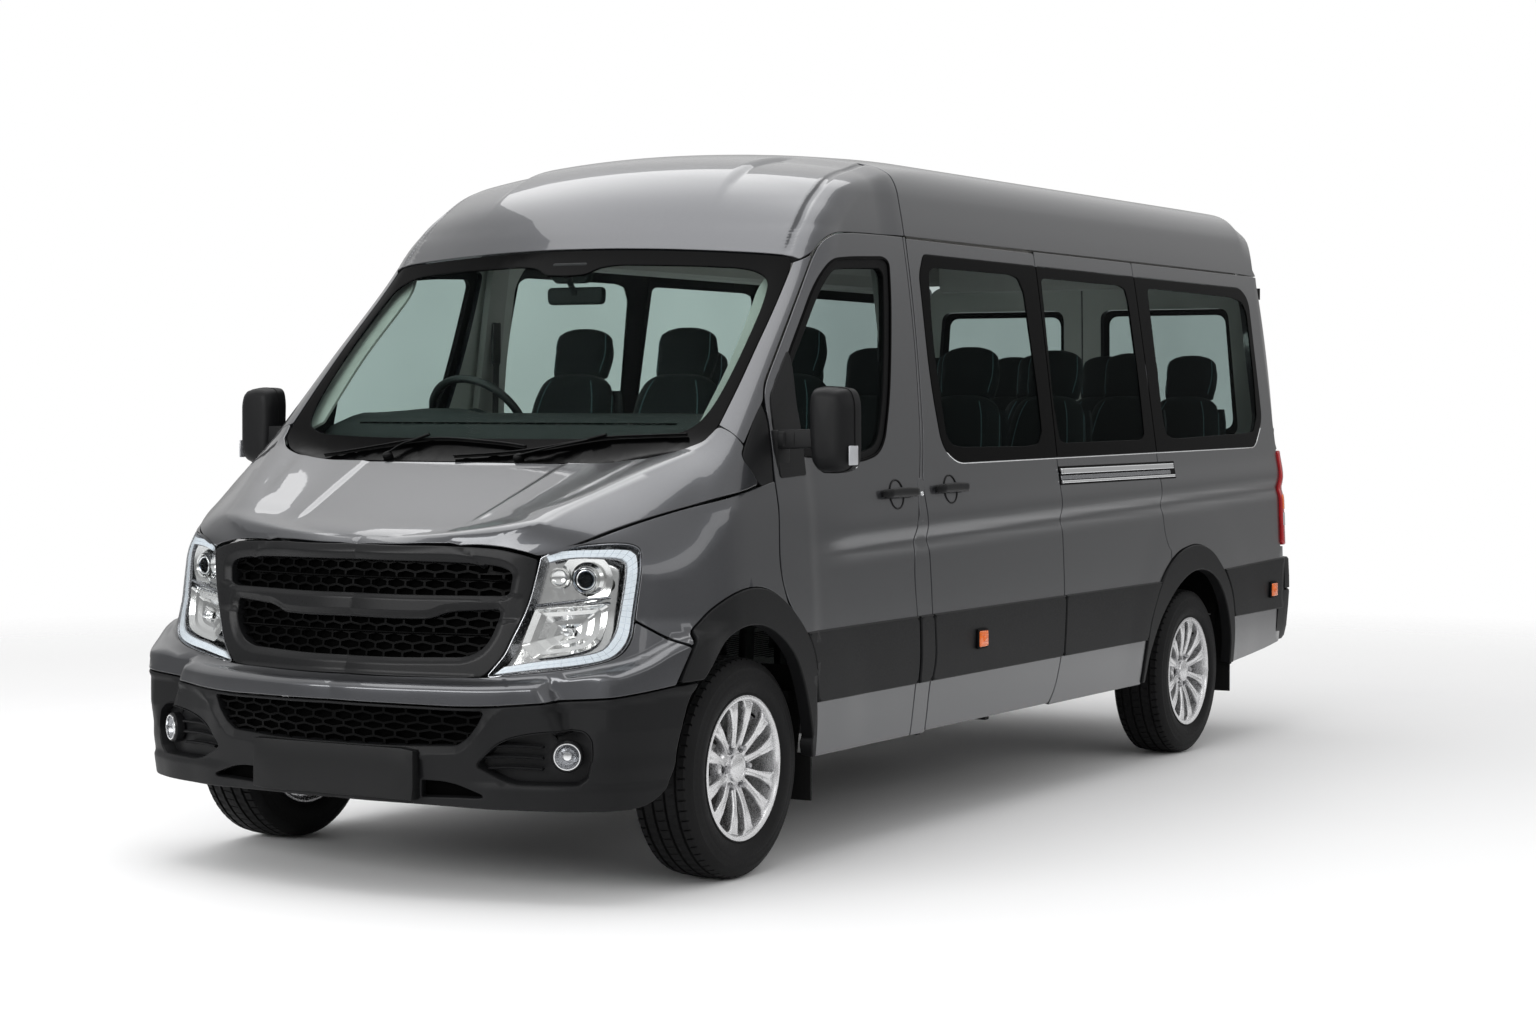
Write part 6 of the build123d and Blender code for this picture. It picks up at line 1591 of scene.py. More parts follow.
def handle(xa, xb, xc, zc, name):
    """grip bar over a round hand recess"""
    obs = []
    o, n = sp(xc, zc, 0.0)
    obs.append(lathe(name + 'a', [(0.0015, 0.053), (0.0035, 0.0515), (0.003, 0.048), (-0.004, 0.043), (-0.012, 0.034), (-0.016, 0.020), (-0.0175, 0.0)], o, n, M['char'], 40))
    U = np.array([(x, zc + 0.004 - 0.010 * ((x - xa) / (xb - xa) - 0.5) ** 2 * 4 * 0.3) for x in np.linspace(xa, xb, 33)])
    P = SIDE_M.pts(U); N = grad(P)
    t = np.linspace(0, 1, 33)
    lift = 0.006 + 0.018 * np.clip(np.minimum(t, 1 - t) * 9, 0, 1) ** 0.6
    C = P + N * lift[:, None]
    # flattened bar built from sections
    V, F = [], []
    up = Vector((0, 0, 1)); k = 20
    for i, (c, nn) in enumerate(zip(C, N)):
        hh = 0.0175 * (0.86 + 0.14 * math.sin(math.pi * t[i])) * (0.55 + 0.45 * min(1, min(t[i], 1 - t[i]) * 16) ** 0.5)
        ww = 0.0095 * (0.5 + 0.5 * min(1, min(t[i], 1 - t[i]) * 16) ** 0.5)
        nv = Vector(nn)
        for j in range(k):
            a = 2 * math.pi * j / k; ca, sa = math.cos(a), math.sin(a)
            e = 0.6
            V.append(Vector(c) + up * (math.copysign(abs(ca) ** e, ca) * hh) + nv * (math.copysign(abs(sa) ** e, sa) * ww))
    m = 33
    for i in range(m - 1):
        for j in range(k):
            l = (j + 1) % k; F.append((i * k + j, i * k + l, (i + 1) * k + l, (i + 1) * k + j))
    bm = bmesh.new(); vs = [bm.verts.new(v) for v in V]
    for qd in F: bm.faces.new([vs[i] for i in qd])
    bm.faces.new(vs[:k][::-1]); bm.faces.new(vs[-k:])
    bmesh.ops.recalc_face_normals(bm, faces=bm.faces[:]); bmesh.ops.triangulate(bm, faces=[x for x in bm.faces if len(x.verts) > 4])
    obs.append(obj_bm(name + 'b', bm, [M['char_gloss']], 45))
    for xe in (xa + 0.022, xb - 0.022):
        p0, n0 = sp(xe, zc + 0.003, -0.002)
        obs.append(lathe(name + 'c%.3f' % xe, [(0.0, 0.014), (0.014, 0.012), (0.018, 0.010)], p0, n0, M['char'], 20))
    return join_objs(name, obs)


h1 = handle(0.931, 1.178, 1.068, 1.183, 'front_door_handle_left'); h2 = mirror(h1, 'front_door_handle_right')
own(h1, 'front_door_left', 'charcoal_plastic'); own(h2, 'front_door_right', 'charcoal_plastic')
h3 = handle(0.534, 0.771, 0.650, 1.190, 'sliding_door_handle'); own(h3, BODY, 'charcoal_plastic')


def marker(x, z, name, mp=SIDE_M):
    o, n = sp(x, z, 0.009)
    a = rbox(name + 'a', (x - 0.041, 0, z - 0.036), (x + 0.041, 0.012, z + 0.036), M['seal'], 0.004, 2)
    b = rbox(name + 'b', (x - 0.034, 0.004, z - 0.029), (x + 0.034, 0.017, z + 0.029), M['amber'], 0.005, 3)
    for ob in (a, b):
        for v in ob.data.vertices: v.co.y += o.y
    c = lathe(name + 'c', [(0.0, 0.012), (0.004, 0.011), (0.006, 0.006), (0.0062, 0.0)], Vector((x, o.y + 0.016, z)), Vector((0, 1, 0)), M['amber'], 24)
    d = [rbox(name + 'd%d' % i, (x - 0.028, o.y + 0.0165, z - 0.024 + i * 0.012), (x + 0.028, o.y + 0.0178, z - 0.0205 + i * 0.012), M['amber'], 0.0008, 1) for i in range(5)]
    return join_objs(name, [a, b, c] + d)


mks = [marker(0.457, 0.645, 'mk1'), marker(-2.590, 0.650, 'mk2')]
mks += [mirror(o, 'mr%d' % i) for i, o in enumerate(mks)]
own(join_objs('side_markers', mks), BODY, 'lamp_red')

# lock cover on the post between the doors
lk = [panel('lk0', SIDE_M, [(0.893, 1.235), (0.862, 1.235), (0.850, 1.215), (0.884, 1.085, .01), (0.918, 1.085, .01)], step=(0.03, 0.03), es=0.006, depth=0.004, lip=0.0012, off=0.0015, mats=[M['paint'], M['under']], r=0.014)]
o, n = sp(0.878, 1.180, 0.001)
lk.append(lathe('lk1', [(0.0, 0.0085), (0.003, 0.0080), (0.0035, 0.0065), (0.002, 0.006), (0.002, 0.0)], o, n, M['chrome'], 28))
own(join_objs('post_lock', lk), BODY, 'bright_trim')


# ------------------------------------------------------------------ glass
scr_half = [(2.214, 0.0, 1.3065), (2.214, 0.133, 1.3065), (2.213, 0.294, 1.3065), (2.211, 0.523, 1.3070), (2.214, 0.601, 1.308), (2.206, 0.670, 1.318), (2.186, 0.732, 1.331), (2.154, 0.786, 1.348), (2.117, 0.819, 1.367), (2.096, 0.843, 1.379), (2.065, 0.851, 1.402),
            (2.032, 0.855, 1.430, .02), (1.962, 0.854, 1.498), (1.897, 0.852, 1.562), (1.789, 0.845, 1.668), (1.678, 0.837, 1.774), (1.557, 0.824, 1.892), (1.507, 0.818, 1.944), (1.489, 0.814, 1.964, .02)] + top_edge(0.0)
clr_half = [(2.119, 0.0, 1.381), (2.119, 0.234, 1.381), (2.108, 0.459, 1.383), (2.095, 0.602, 1.387), (2.080, 0.705, 1.394), (2.053, 0.763, 1.416), (2.029, 0.785, 1.438), (1.983, 0.802, 1.483), (1.912, 0.808, 1.553), (1.783, 0.806, 1.683), (1.646, 0.791, 1.816), (1.574, 0.772, 1.891), (1.556, 0.750, 1.916), (1.546, 0.706, 1.937), (1.548, 0.649, 1.948), (1.567, 0.505, 1.957), (1.597, 0.200, 1.967), (1.600, 0.125, 1.958), (1.606, 0.085, 1.935), (1.614, 0.0, 1.931)]
band_w = panel('windscreen_band', SCR, on(SCR, sym3(scr_half)), [on(SCR, sym3(clr_half))], (0.05, 0.03), es=0.014, depth=0.006, lip=0.002, off=-0.0025, mats=[M['black'], M['seal']], r=0.03)
own(band_w, BODY, 'clear_glass', 'windscreen')
clr = panel('windscreen_glass', SCR, off_poly(on(SCR, sym3(clr_half)), 0.0008, r=0.03, step=0.014), (), (0.05, 0.05), es=0.014, depth=0.005, lip=0.001, off=-0.0030, mats=[M['glass_screen'], M['glass_screen']], r=0.03)
own(clr, BODY, 'clear_glass')

# front door windows: rubber channel, black lip ring and glass
PANE_IN = [(0.975, 1.940, .03), (1.000, 1.962, .03), (1.212, 1.955), (1.335, 1.944, .05), (1.402, 1.902), (1.475, 1.842), (1.558, 1.757), (1.687, 1.629, .02), (1.752, 1.556, .02), (1.806, 1.490), (1.838, 1.435, .03), (1.832, 1.365, .03), (1.30, 1.326), (1.186, 1.347, .05), (1.141, 1.387, .05), (1.082, 1.515), (1.032, 1.682), (0.992, 1.855)]
for tag, sgn in (('left', 1), ('right', -1)):
    ch = panel('dch_' + tag, SIDE_M, off_poly(PANE_D, 0.0035), [PANE_IN], (0.05, 0.05), es=0.010, depth=0.022, lip=0.003, off=-0.004, mats=[M['seal'], M['seal']], r=0.02)
    lip_ring = panel('dlr_' + tag, SIDE_M, off_poly(PANE_D, 0.0045), [off_poly(PANE_D, -0.006)], (0.05, 0.05), es=0.010, depth=0.010, lip=0.003, off=0.002, mats=[M['black'], M['seal']], r=0.02)
    ch = join_objs('djoin_' + tag, [ch, lip_ring])
    gp = panel('dgl_' + tag, SIDE_M, off_poly(PANE_IN, 0.003), (), (0.05, 0.05), es=0.012, depth=0.005, lip=0.001, off=-0.010, mats=[M['glass_door'], M['glass_door']], r=0.02)
    if sgn < 0:
        c2 = mirror(ch, 'c2'); g2_ = mirror(gp, 'g2_'); bpy.data.objects.remove(ch); bpy.data.objects.remove(gp); ch, gp = c2, g2_
    ch.name = 'door_window_channel_' + tag; gp.name = 'door_glass_pane_' + tag
    own(ch, 'front_door_' + tag, 'charcoal_plastic'); own(gp, 'front_door_' + tag, 'clear_glass', 'front_door_glass_' + tag)

# flush side windows: black edge and tinted pane, split at the seams
PANES = {
    1: [(0.632, 1.960, .03), (0.590, 1.980, .03), (-0.058, 1.981), (-0.122, 1.968, .03), (-0.160, 1.915, .05), (-0.183, 1.524), (-0.183, 1.385, .04), (-0.139, 1.341, .04), (-0.033, 1.334), (0.524, 1.338), (0.600, 1.349, .03), (0.636, 1.384, .04), (0.656, 1.581), (0.658, 1.75)],
    2: [(-0.335, 1.966, .02), (-0.362, 1.978, .02), (-1.099, 1.977), (-1.160, 1.964, .03), (-1.180, 1.909, .03), (-1.196, 1.60), (-1.192, 1.366, .02), (-1.155, 1.346, .02), (-0.381, 1.342), (-0.341, 1.356, .02), (-0.318, 1.50)],
    3: [(-1.404, 1.965, .02), (-1.430, 1.976, .02), (-2.399, 1.970), (-2.512, 1.950, .05), (-2.554, 1.905, .05), (-2.553, 1.60), (-2.532, 1.435, .04), (-2.470, 1.368, .04), (-2.38, 1.362), (-1.513, 1.346), (-1.440, 1.362, .03), (-1.412, 1.42, .03)]}
cuts = {1: (-0.2988, 2.0), 2: (-1.292, -0.3012), 3: (-9.0, -1.298)}
SEAM_X = lambda z: float(np.interp(z, [1.29, 1.70, 2.076], [-1.305, -1.287, -1.269]))


def cut_slant(poly, low, e):
    q_ = cut_at([(p[0] - SEAM_X(p[1]),) + tuple(p[1:]) for p in poly], e, low)
    return [(p[0] + SEAM_X(p[1]),) + tuple(p[1:]) for p in q_]



def band_part(k, sgn):
    a, b = cuts[k] if sgn > 0 or k != 1 else cuts[1]
    pl = [(p[0], p[1], p[2]) for p in BAND]
    if k == 1: pl = cut_at(pl, a, False)
    if k == 2: pl = cut_at(cut_slant(pl, False, 0.0012), b, True)
    if k == 3: pl = cut_slant(pl, True, -0.0012)
    pl = off_poly(pl, -0.0012, r=0.004)
    ed = panel('be', SIDE_M, pl, [PANES[k]], (0.08, 0.05), es=0.012, depth=0.006, lip=0.002, off=0.0014, mats=[M['black'], M['seal']], r=0.02)
    gl_ = panel('bg', SIDE_M, off_poly(PANES[k], 0.0008), (), (0.10, 0.06), es=0.014, depth=0.005, lip=0.001, off=-0.0014, mats=[M['glass_side'], M['glass_side']], r=0.02)
    return ed, gl_


E_, Gs = [], []
for k in (1, 2, 3):
    e1, g1_ = band_part(k, 1); E_.append(e1); Gs.append(g1_)
    E_.append(mirror(e1, 'be2')); Gs.append(mirror(g1_, 'bg2'))
own(join_objs('side_window_edges', E_), BODY, 'dark_glass', 'side_glass'); own(join_objs('side_window_panes', Gs), BODY, 'dark_glass')


# ------------------------------------------------------------------ wipers
def wiper(path, arm, name):
    obs = []
    U = on(SCR, [(0, p[0], p[1]) for p in path]); q = curve([(u[0], u[1]) for u in U], 40); P = SCR.pts(q); N = grad(P)
    obs.append(tube(name + 'r', [tuple(p) for p in P + N * 0.0035], 0.0030, M['rubber'], n=8))
    obs.append(tube(name + 'b', [tuple(p) for p in P + N * 0.0105], 0.0062, M['seal'], n=10, flat=0.50))
    A = [np.array(a) for a in arm]
    UA = np.array([(a[0], a[1]) for a in A]); qa = curve([(u[0], u[1]) for u in UA], 24); PA = SCR.pts(qa); NA = grad(PA)
    s = np.linspace(0, 1, 24); h = 0.012 + 0.006 * np.sin(math.pi * s)
    obs.append(tube(name + 'a', [tuple(p) for p in PA + NA * h[:, None]], 0.0070, M['seal'], n=10, flat=0.5))
    # arm head and pivot
    p0 = Vector(PA[0]); n0 = Vector(NA[0])
    obs.append(lathe(name + 'p', [(-0.012, 0.017), (0.008, 0.017), (0.013, 0.014), (0.015, 0.008), (0.0155, 0.0)], p0, n0, M['seal'], 32))
    pe = Vector(PA[-1]) + Vector(NA[-1]) * 0.016
    d = Vector(PA[-1] - PA[-2]).normalized()
    obs.append(tube(name + 'j', [pe - d * 0.022, pe + d * 0.040], 0.0095, M['seal'], n=10, flat=0.6))
    return join_objs(name, obs)


w1 = wiper([(-0.590, 1.3135), (-0.503, 1.327), (-0.317, 1.358), (-0.240, 1.368), (-0.118, 1.373), (0.091, 1.361), (0.204, 1.349)], [(-0.330, 1.318), (-0.290, 1.345), (-0.235, 1.367)], 'wiper_a')
w2 = wiper([(-0.051, 1.315), (0.117, 1.326), (0.242, 1.340), (0.463, 1.377), (0.638, 1.387), (0.771, 1.391)], [(0.200, 1.316), (0.300, 1.336), (0.452, 1.374)], 'wiper_b')
own(join_objs('wiper_pair', [w1, w2]), BODY, 'dash_plastic', 'wipers')


# ------------------------------------------------------------------ door mirrors
def mirror_left():
    obs = []
    # housing: rounded sections from the glass face forward
    secs = [(1.792, 0.0, 1.0), (1.798, 0.0, 1.0), (1.830, 0.002, 0.985), (1.855, 0.006, 0.93), (1.872, 0.012, 0.82), (1.881, 0.02, 0.66), (1.884, 0.03, 0.42)]
    out = [(1.098, 1.300, .03), (1.090, 1.380), (1.086, 1.500, .03), (1.096, 1.545, .03), (1.150, 1.551), (1.222, 1.540, .035), (1.238, 1.500, .03), (1.239, 1.340), (1.232, 1.292, .04), (1.190, 1.274, .04), (1.120, 1.274, .03)]
    ring = rounded(out, 0.03, 0.009); cy, cz = ring.mean(0)
    V, F = [], []
    n = len(ring)
    for x, sh, s in secs:
        for a, b in ring: V.append((x, cy + (a - cy) * s - sh * 0.3, cz + (b - cz) * (1 - (1 - s) * 0.55) + sh * 0.2))
    for i in range(len(secs) - 1):
        for j in range(n):
            l = (j + 1) % n; F.append((i * n + j, i * n + l, (i + 1) * n + l, (i + 1) * n + j))
    V.append((1.8845, cy - 0.01, cz + 0.004)); tip = len(V) - 1
    for j in range(n): F.append(((len(secs) - 1) * n + j, (len(secs) - 1) * n + (j + 1) % n, tip))
    # rim turned in round the glass
    b0 = len(V)
    for a, b in ring: V.append((1.7905, cy + (a - cy) * 0.975, cz + (b - cz) * 0.985))
    b1 = len(V)
    for a, b in ring: V.append((1.799, cy + (a - cy) * 0.93, cz + (b - cz) * 0.955))
    for j in range(n):
        l = (j + 1) % n; F.append((b0 + j, b0 + l, l, j)); F.append((b1 + j, b1 + l, b0 + l, b0 + j))
    V.append((1.799, cy, cz)); c = len(V) - 1
    for j in range(n): F.append((c, b1 + (j + 1) % n, b1 + j))
    bm = bmesh.new(); vs = [bm.verts.new(v) for v in V]
    for qd in F: bm.faces.new([vs[i] for i in qd])
    bmesh.ops.recalc_face_normals(bm, faces=bm.faces[:])
    obs.append(obj_bm('ma', bm, [M['char']], 50))
    gl1 = [(cy + (a - cy) * 0.90, cz + 0.045 + (b - cz) * 0.62) for a, b in ring]; gl2 = [(cy + (a - cy) * 0.88, cz - 0.094 + (b - cz) * 0.26) for a, b in ring]
    obs.append(prism('mg', gl1, 'x', 1.7935, 1.7985, M['mirror_glass'], 0.001, 1, do_round=False))
    obs.append(prism('mh', gl2, 'x', 1.7935, 1.7985, M['mirror_glass'], 0.001, 1, do_round=False))
    # seam round the shell and side repeater
    V2 = [(1.8315, cy + (a - cy) * 0.988, cz + (b - cz) * 0.995) for a, b in ring]
    obs.append(tube('ms', [tuple(v) for v in V2] + [V2[0]], 0.0014, M['seal'], n=6))
    obs.append(rbox('mi', (1.812, 1.2335, 1.300), (1.868, 1.2398, 1.362), M['white_lens'], 0.003, 2))
    # arm: flattened tube from the door to the housing, a joint half way
    pts = [(1.842, 0.945, 1.372), (1.845, 1.00, 1.376), (1.846, 1.05, 1.380), (1.846, 1.11, 1.382)]
    q = curve(pts, 20)
    obs.append(prism('mt', [(0.945, 1.346, .004), (1.02, 1.350), (1.115, 1.354, .004), (1.115, 1.413, .004), (1.02, 1.412), (0.945, 1.410, .004)], 'x', 1.820, 1.872, M['char'], 0.012, 4, 0.02, 0.01))
    obs.append(prism('mj', [(1.038, 1.3495, .001), (1.042, 1.3497, .001), (1.042, 1.4135, .001), (1.038, 1.4133, .001)], 'x', 1.8205, 1.8725, M['seal'], 0.001, 1))
    # base block on the sail
    bpoly = [(1.800, 1.262, .012), (1.795, 1.300), (1.800, 1.408, .015), (1.880, 1.412, .015), (1.884, 1.300), (1.876, 1.262, .012)]
    obs.append(prism('mb', bpoly, 'y', 0.935, 0.985, M['char'], 0.008, 3, 0.012, 0.01))
    obs.append(rbox('mf', (1.806, 0.948, 1.352), (1.878, 1.012, 1.408), M['char'], 0.012, 3))
    # foot of the housing that takes the arm
    obs.append(prism('mk', [(1.100, 1.345, .015), (1.086, 1.36, .01), (1.086, 1.405, .01), (1.120, 1.415, .015), (1.150, 1.38, .02), (1.14, 1.345, .02)], 'x', 1.822, 1.870, M['char'], 0.008, 3, 0.012, 0.01))
    return join_objs('door_mirror_unit_left', obs)


ml = mirror_left(); mr_ = mirror(ml, 'door_mirror_unit_right')
own(ml, 'front_door_left', 'charcoal_plastic', 'door_mirror_left'); own(mr_, 'front_door_right', 'charcoal_plastic', 'door_mirror_right')


# ------------------------------------------------------------------ tail
RD = [(0.004, 0.668, .004), (0.717, 0.668, .02), (0.744, 0.806, .02), (0.862, 0.812, .02), (0.862, 1.280, .1), (0.797, 2.030, .05), (0.757, 2.056, .05), (0.004, 2.058, .004)]
RP = [(0.095, 1.345), (0.790, 1.345), (0.735, 1.935), (0.095, 1.935)]


def rear_disp(P):
    x, y, z = P.T; a = np.abs(y)
    d = -0.006 * sstep(0.020, 0.034, np.minimum(np.minimum(a - 0.09, 0.74 - a), np.minimum(z - 0.74, 1.24 - z)))
    return d


rdl = panel('rear_door_skin_left', REAR, RD, [off_poly(RP, 0.0, r=0.05)], (0.03, 0.03) if not QUICK else (0.06, 0.06), es=0.012, depth=0.04, r=0.01, mats=[M['paint'], M['inner']], disp=rear_disp)
rdr = mirror(rdl, 'rear_door_skin_right')
own(rdl, 'rear_door_left', 'body_paint', 'rear_door_left'); own(rdr, 'rear_door_right', 'body_paint', 'rear_door_right')
RPI = [(0.125, 1.375), (0.752, 1.375), (0.708, 1.905), (0.125, 1.905)]
for tag in ('left', 'right'):
    e1 = panel('rpe', REAR, off_poly(RP, -0.001, r=0.05), [off_poly(RPI, 0, r=0.05)], (0.06, 0.06), es=0.012, depth=0.006, lip=0.002, off=-0.0008, mats=[M['black'], M['seal']], r=0.02)
    g1_ = panel('rpg', REAR, off_poly(RPI, 0.0008, r=0.05), (), (0.08, 0.08), es=0.014, depth=0.005, lip=0.001, off=-0.0014, mats=[M['glass_side'], M['glass_side']], r=0.02)
    if tag == 'right':
        e2, g2_ = mirror(e1, 'e2'), mirror(g1_, 'g2'); bpy.data.objects.remove(e1); bpy.data.objects.remove(g1_); e1, g1_ = e2, g2_
    e1.name = 'rear_window_edge_' + tag; g1_.name = 'rear_window_pane_' + tag
    own(e1, 'rear_door_' + tag, 'dark_glass', 'rear_door_glass_' + tag); own(g1_, 'rear_door_' + tag, 'dark_glass')


def rp(y, z, off=0.0):
    P = REAR.pts(np.array([[y, z]], float)); N = grad(P)
    return Vector(P[0] + N[0] * off), Vector(N[0])


# rear corner lamps
def tail_edge(z, g=0.004):
    y = np.interp(z, [0.812, 1.280], [0.866, 0.866]); P = REAR.pts(np.array([[y + g, z]])); return float(QUA.inv(P)[0, 0])


zs = [0.848, 0.95, 1.05, 1.15, 1.276]
TL = [(tail_edge(z), z) for z in zs] + [(ULAMP(1.278) - 0.003, 1.278), (ULAMP(1.06) - 0.003, 1.06), (ULAMP(0.846) - 0.003, 0.846)]
tl = [panel('tl0', QUA, [TL[0] + (.006,)] + TL[1:4] + [TL[4] + (.006,), TL[5] + (.02,), TL[6], TL[7] + (.02,)], (), (0.012, 0.02), es=0.008, depth=0.03, lip=0.007, off=0.013, mats=[M['redlens'], M['under']], r=0.02)]
for z0, z1, mt in ((0.935, 0.995, M['white_lens']), (1.010, 1.075, M['amber'])):
    o_ = panel('tl%.3f' % z0, QUA, [(tail_edge(z0) + 0.004, z0, .006), (tail_edge(z1) + 0.004, z1, .006), (ULAMP(z1) - 0.012, z1, .01), (ULAMP(z0) - 0.012, z0, .01)], (), (0.012, 0.012), es=0.006, depth=0.004, lip=0.002, off=0.0150, mats=[mt, mt], r=0.008)
    tl.append(o_)
tl += [mirror(o_, o_.name + 'r') for o_ in tl]
own(join_objs('tail_lamp_units', tl), BODY, 'lamp_red', 'tail_lamps')


def bumper_sweep(name, path, sec, mat):
    """profile (outward, z) carried along a plan line"""
    p = np.array(curve(path, 60)); T = np.gradient(p, axis=0); T /= np.linalg.norm(T, axis=1, keepdims=True)
    Nn = np.stack([T[:, 1], -T[:, 0]], 1)
    m = len(sec); V = []; F = []
    for (x, y), (nx, ny) in zip(p, Nn):
        for o_, z in sec: V.append((x + nx * o_, y + ny * o_, z))
    n = len(p)
    for i in range(n - 1):
        for j in range(m):
            l = (j + 1) % m; F.append((i * m + j, i * m + l, (i + 1) * m + l, (i + 1) * m + j))
    bm = bmesh.new(); vs = [bm.verts.new(v) for v in V]
    for qd in F: bm.faces.new([vs[i] for i in qd])
    bm.faces.new(vs[:m]); bm.faces.new(vs[-m:][::-1])
    bmesh.ops.recalc_face_normals(bm, faces=bm.faces[:]); bmesh.ops.triangulate(bm, faces=[x for x in bm.faces if len(x.verts) > 4])
    return obj_bm(name, bm, [mat], 35)


bpath = [(-2.700, 1.014), (-2.770, 1.012), (-2.830, 1.010), (-2.868, 0.998), (-2.893, 0.955), (-2.903, 0.88), (-2.909, 0.76), (-2.911, 0.45), (-2.911, 0.0)]
full_path = bpath + [(x, -y) for x, y in bpath[::-1][1:]]
sec = [(-0.050, 0.640), (-0.010, 0.642), (-0.001, 0.636), (0.0, 0.625), (-0.004, 0.560), (-0.012, 0.470), (-0.022, 0.425), (-0.034, 0.408), (-0.060, 0.406)]
rb = [bumper_sweep('rb', full_path, sec, M['char'])]
csec = [(-0.045, 0.786), (-0.010, 0.787), (-0.003, 0.778), (0.001, 0.70), (0.002, 0.646), (-0.045, 0.646)]
cp = [(-2.775, 1.011), (-2.832, 1.009), (-2.868, 0.996), (-2.892, 0.954), (-2.902, 0.88), (-2.907, 0.766)]
cr_ = bumper_sweep('rbc', cp, csec, M['char']); rb += [cr_, mirror(cr_, 'rbc2')]
# step pad ribs
for i in range(5):
    rb.append(rbox('rs%d' % i, (-2.900 + i * 0.010, -0.52, 0.6405), (-2.896 + i * 0.010, 0.52, 0.6435), M['char_gloss'], 0.0012, 1))
own(join_objs('rear_bumper_skin', rb), BODY, 'charcoal_plastic', 'rear_bumper')


# rear hinges, handle, high lamp, plate board and lamps over it
def hinge_left():
    obs = []
    for z, ye in ((1.33, 0.940), (1.975, 0.872)):
        P = REAR.pts(np.array([[ye - 0.06, z + 0.022]]))[0]
        obs.append(rbox('hk%.2f' % z, (P[0] - 0.016, ye - 0.030, z), (P[0] + 0.045, ye, z + 0.046), M['char'], 0.004, 2))
        obs.append(rbox('hl%.2f' % z, (P[0] - 0.011, ye - 0.150, z + 0.009), (P[0] + 0.004, ye - 0.020, z + 0.037), M['char'], 0.004, 2))
        obs.append(lathe('hm%.2f' % z, [(-0.026, 0.0), (-0.026, 0.008), (0.026, 0.008), (0.026, 0.0)], Vector((P[0] - 0.006, ye - 0.004, z + 0.023)), Vector((0, 0, 1)), M['seal'], 20, ref=(1, 0, 0)))
    return join_objs('hinge_arm_l', obs)


hg = hinge_left(); hgr = mirror(hg, 'rear_hinge_straps_right'); hg.name = 'rear_hinge_straps_left'
own(hg, 'rear_door_left', 'charcoal_plastic'); own(hgr, 'rear_door_right', 'charcoal_plastic')
o, n = rp(0.085, 1.10, 0.0)
rh = [rbox('rha', (o.x - 0.006, 0.030, 1.05), (o.x + 0.01, 0.150, 1.15), M['char'], 0.004, 2), tube('rhb', [(o.x - 0.006, 0.045, 1.10), (o.x - 0.034, 0.060, 1.10), (o.x - 0.036, 0.120, 1.10), (o.x - 0.006, 0.138, 1.10)], 0.011, M['char_gloss'], n=12)]
own(join_objs('rear_door_handle', rh), 'rear_door_left', 'charcoal_plastic')
o, n = rp(-0.35, 0.98, 0.0)
own(rbox('rear_plate_board', (o.x - 0.010, -0.62, 0.90), (o.x + 0.006, -0.10, 1.02), M['plate'], 0.004, 2), 'rear_door_right', 'charcoal_plastic')
own(rbox('rear_plate_lamp', (o.x - 0.030, -0.50, 1.035), (o.x + 0.006, -0.22, 1.065), M['char'], 0.008, 3), 'rear_door_right', 'charcoal_plastic')
P = REAR.pts(np.array([[0.0, 2.15]]))[0]
hl = [rbox('hl0', (P[0] - 0.006, -0.20, 2.125), (P[0] + 0.03, 0.20, 2.165), M['seal'], 0.004, 2), rbox('hl1', (P[0] - 0.012, -0.185, 2.132), (P[0] + 0.02, 0.185, 2.158), M['redlens'], 0.004, 2)]
own(join_objs('high_brake_lamp', hl), BODY, 'lamp_red')

# ------------------------------------------------------------------ wheels
RW, TRK = 0.350, 0.867


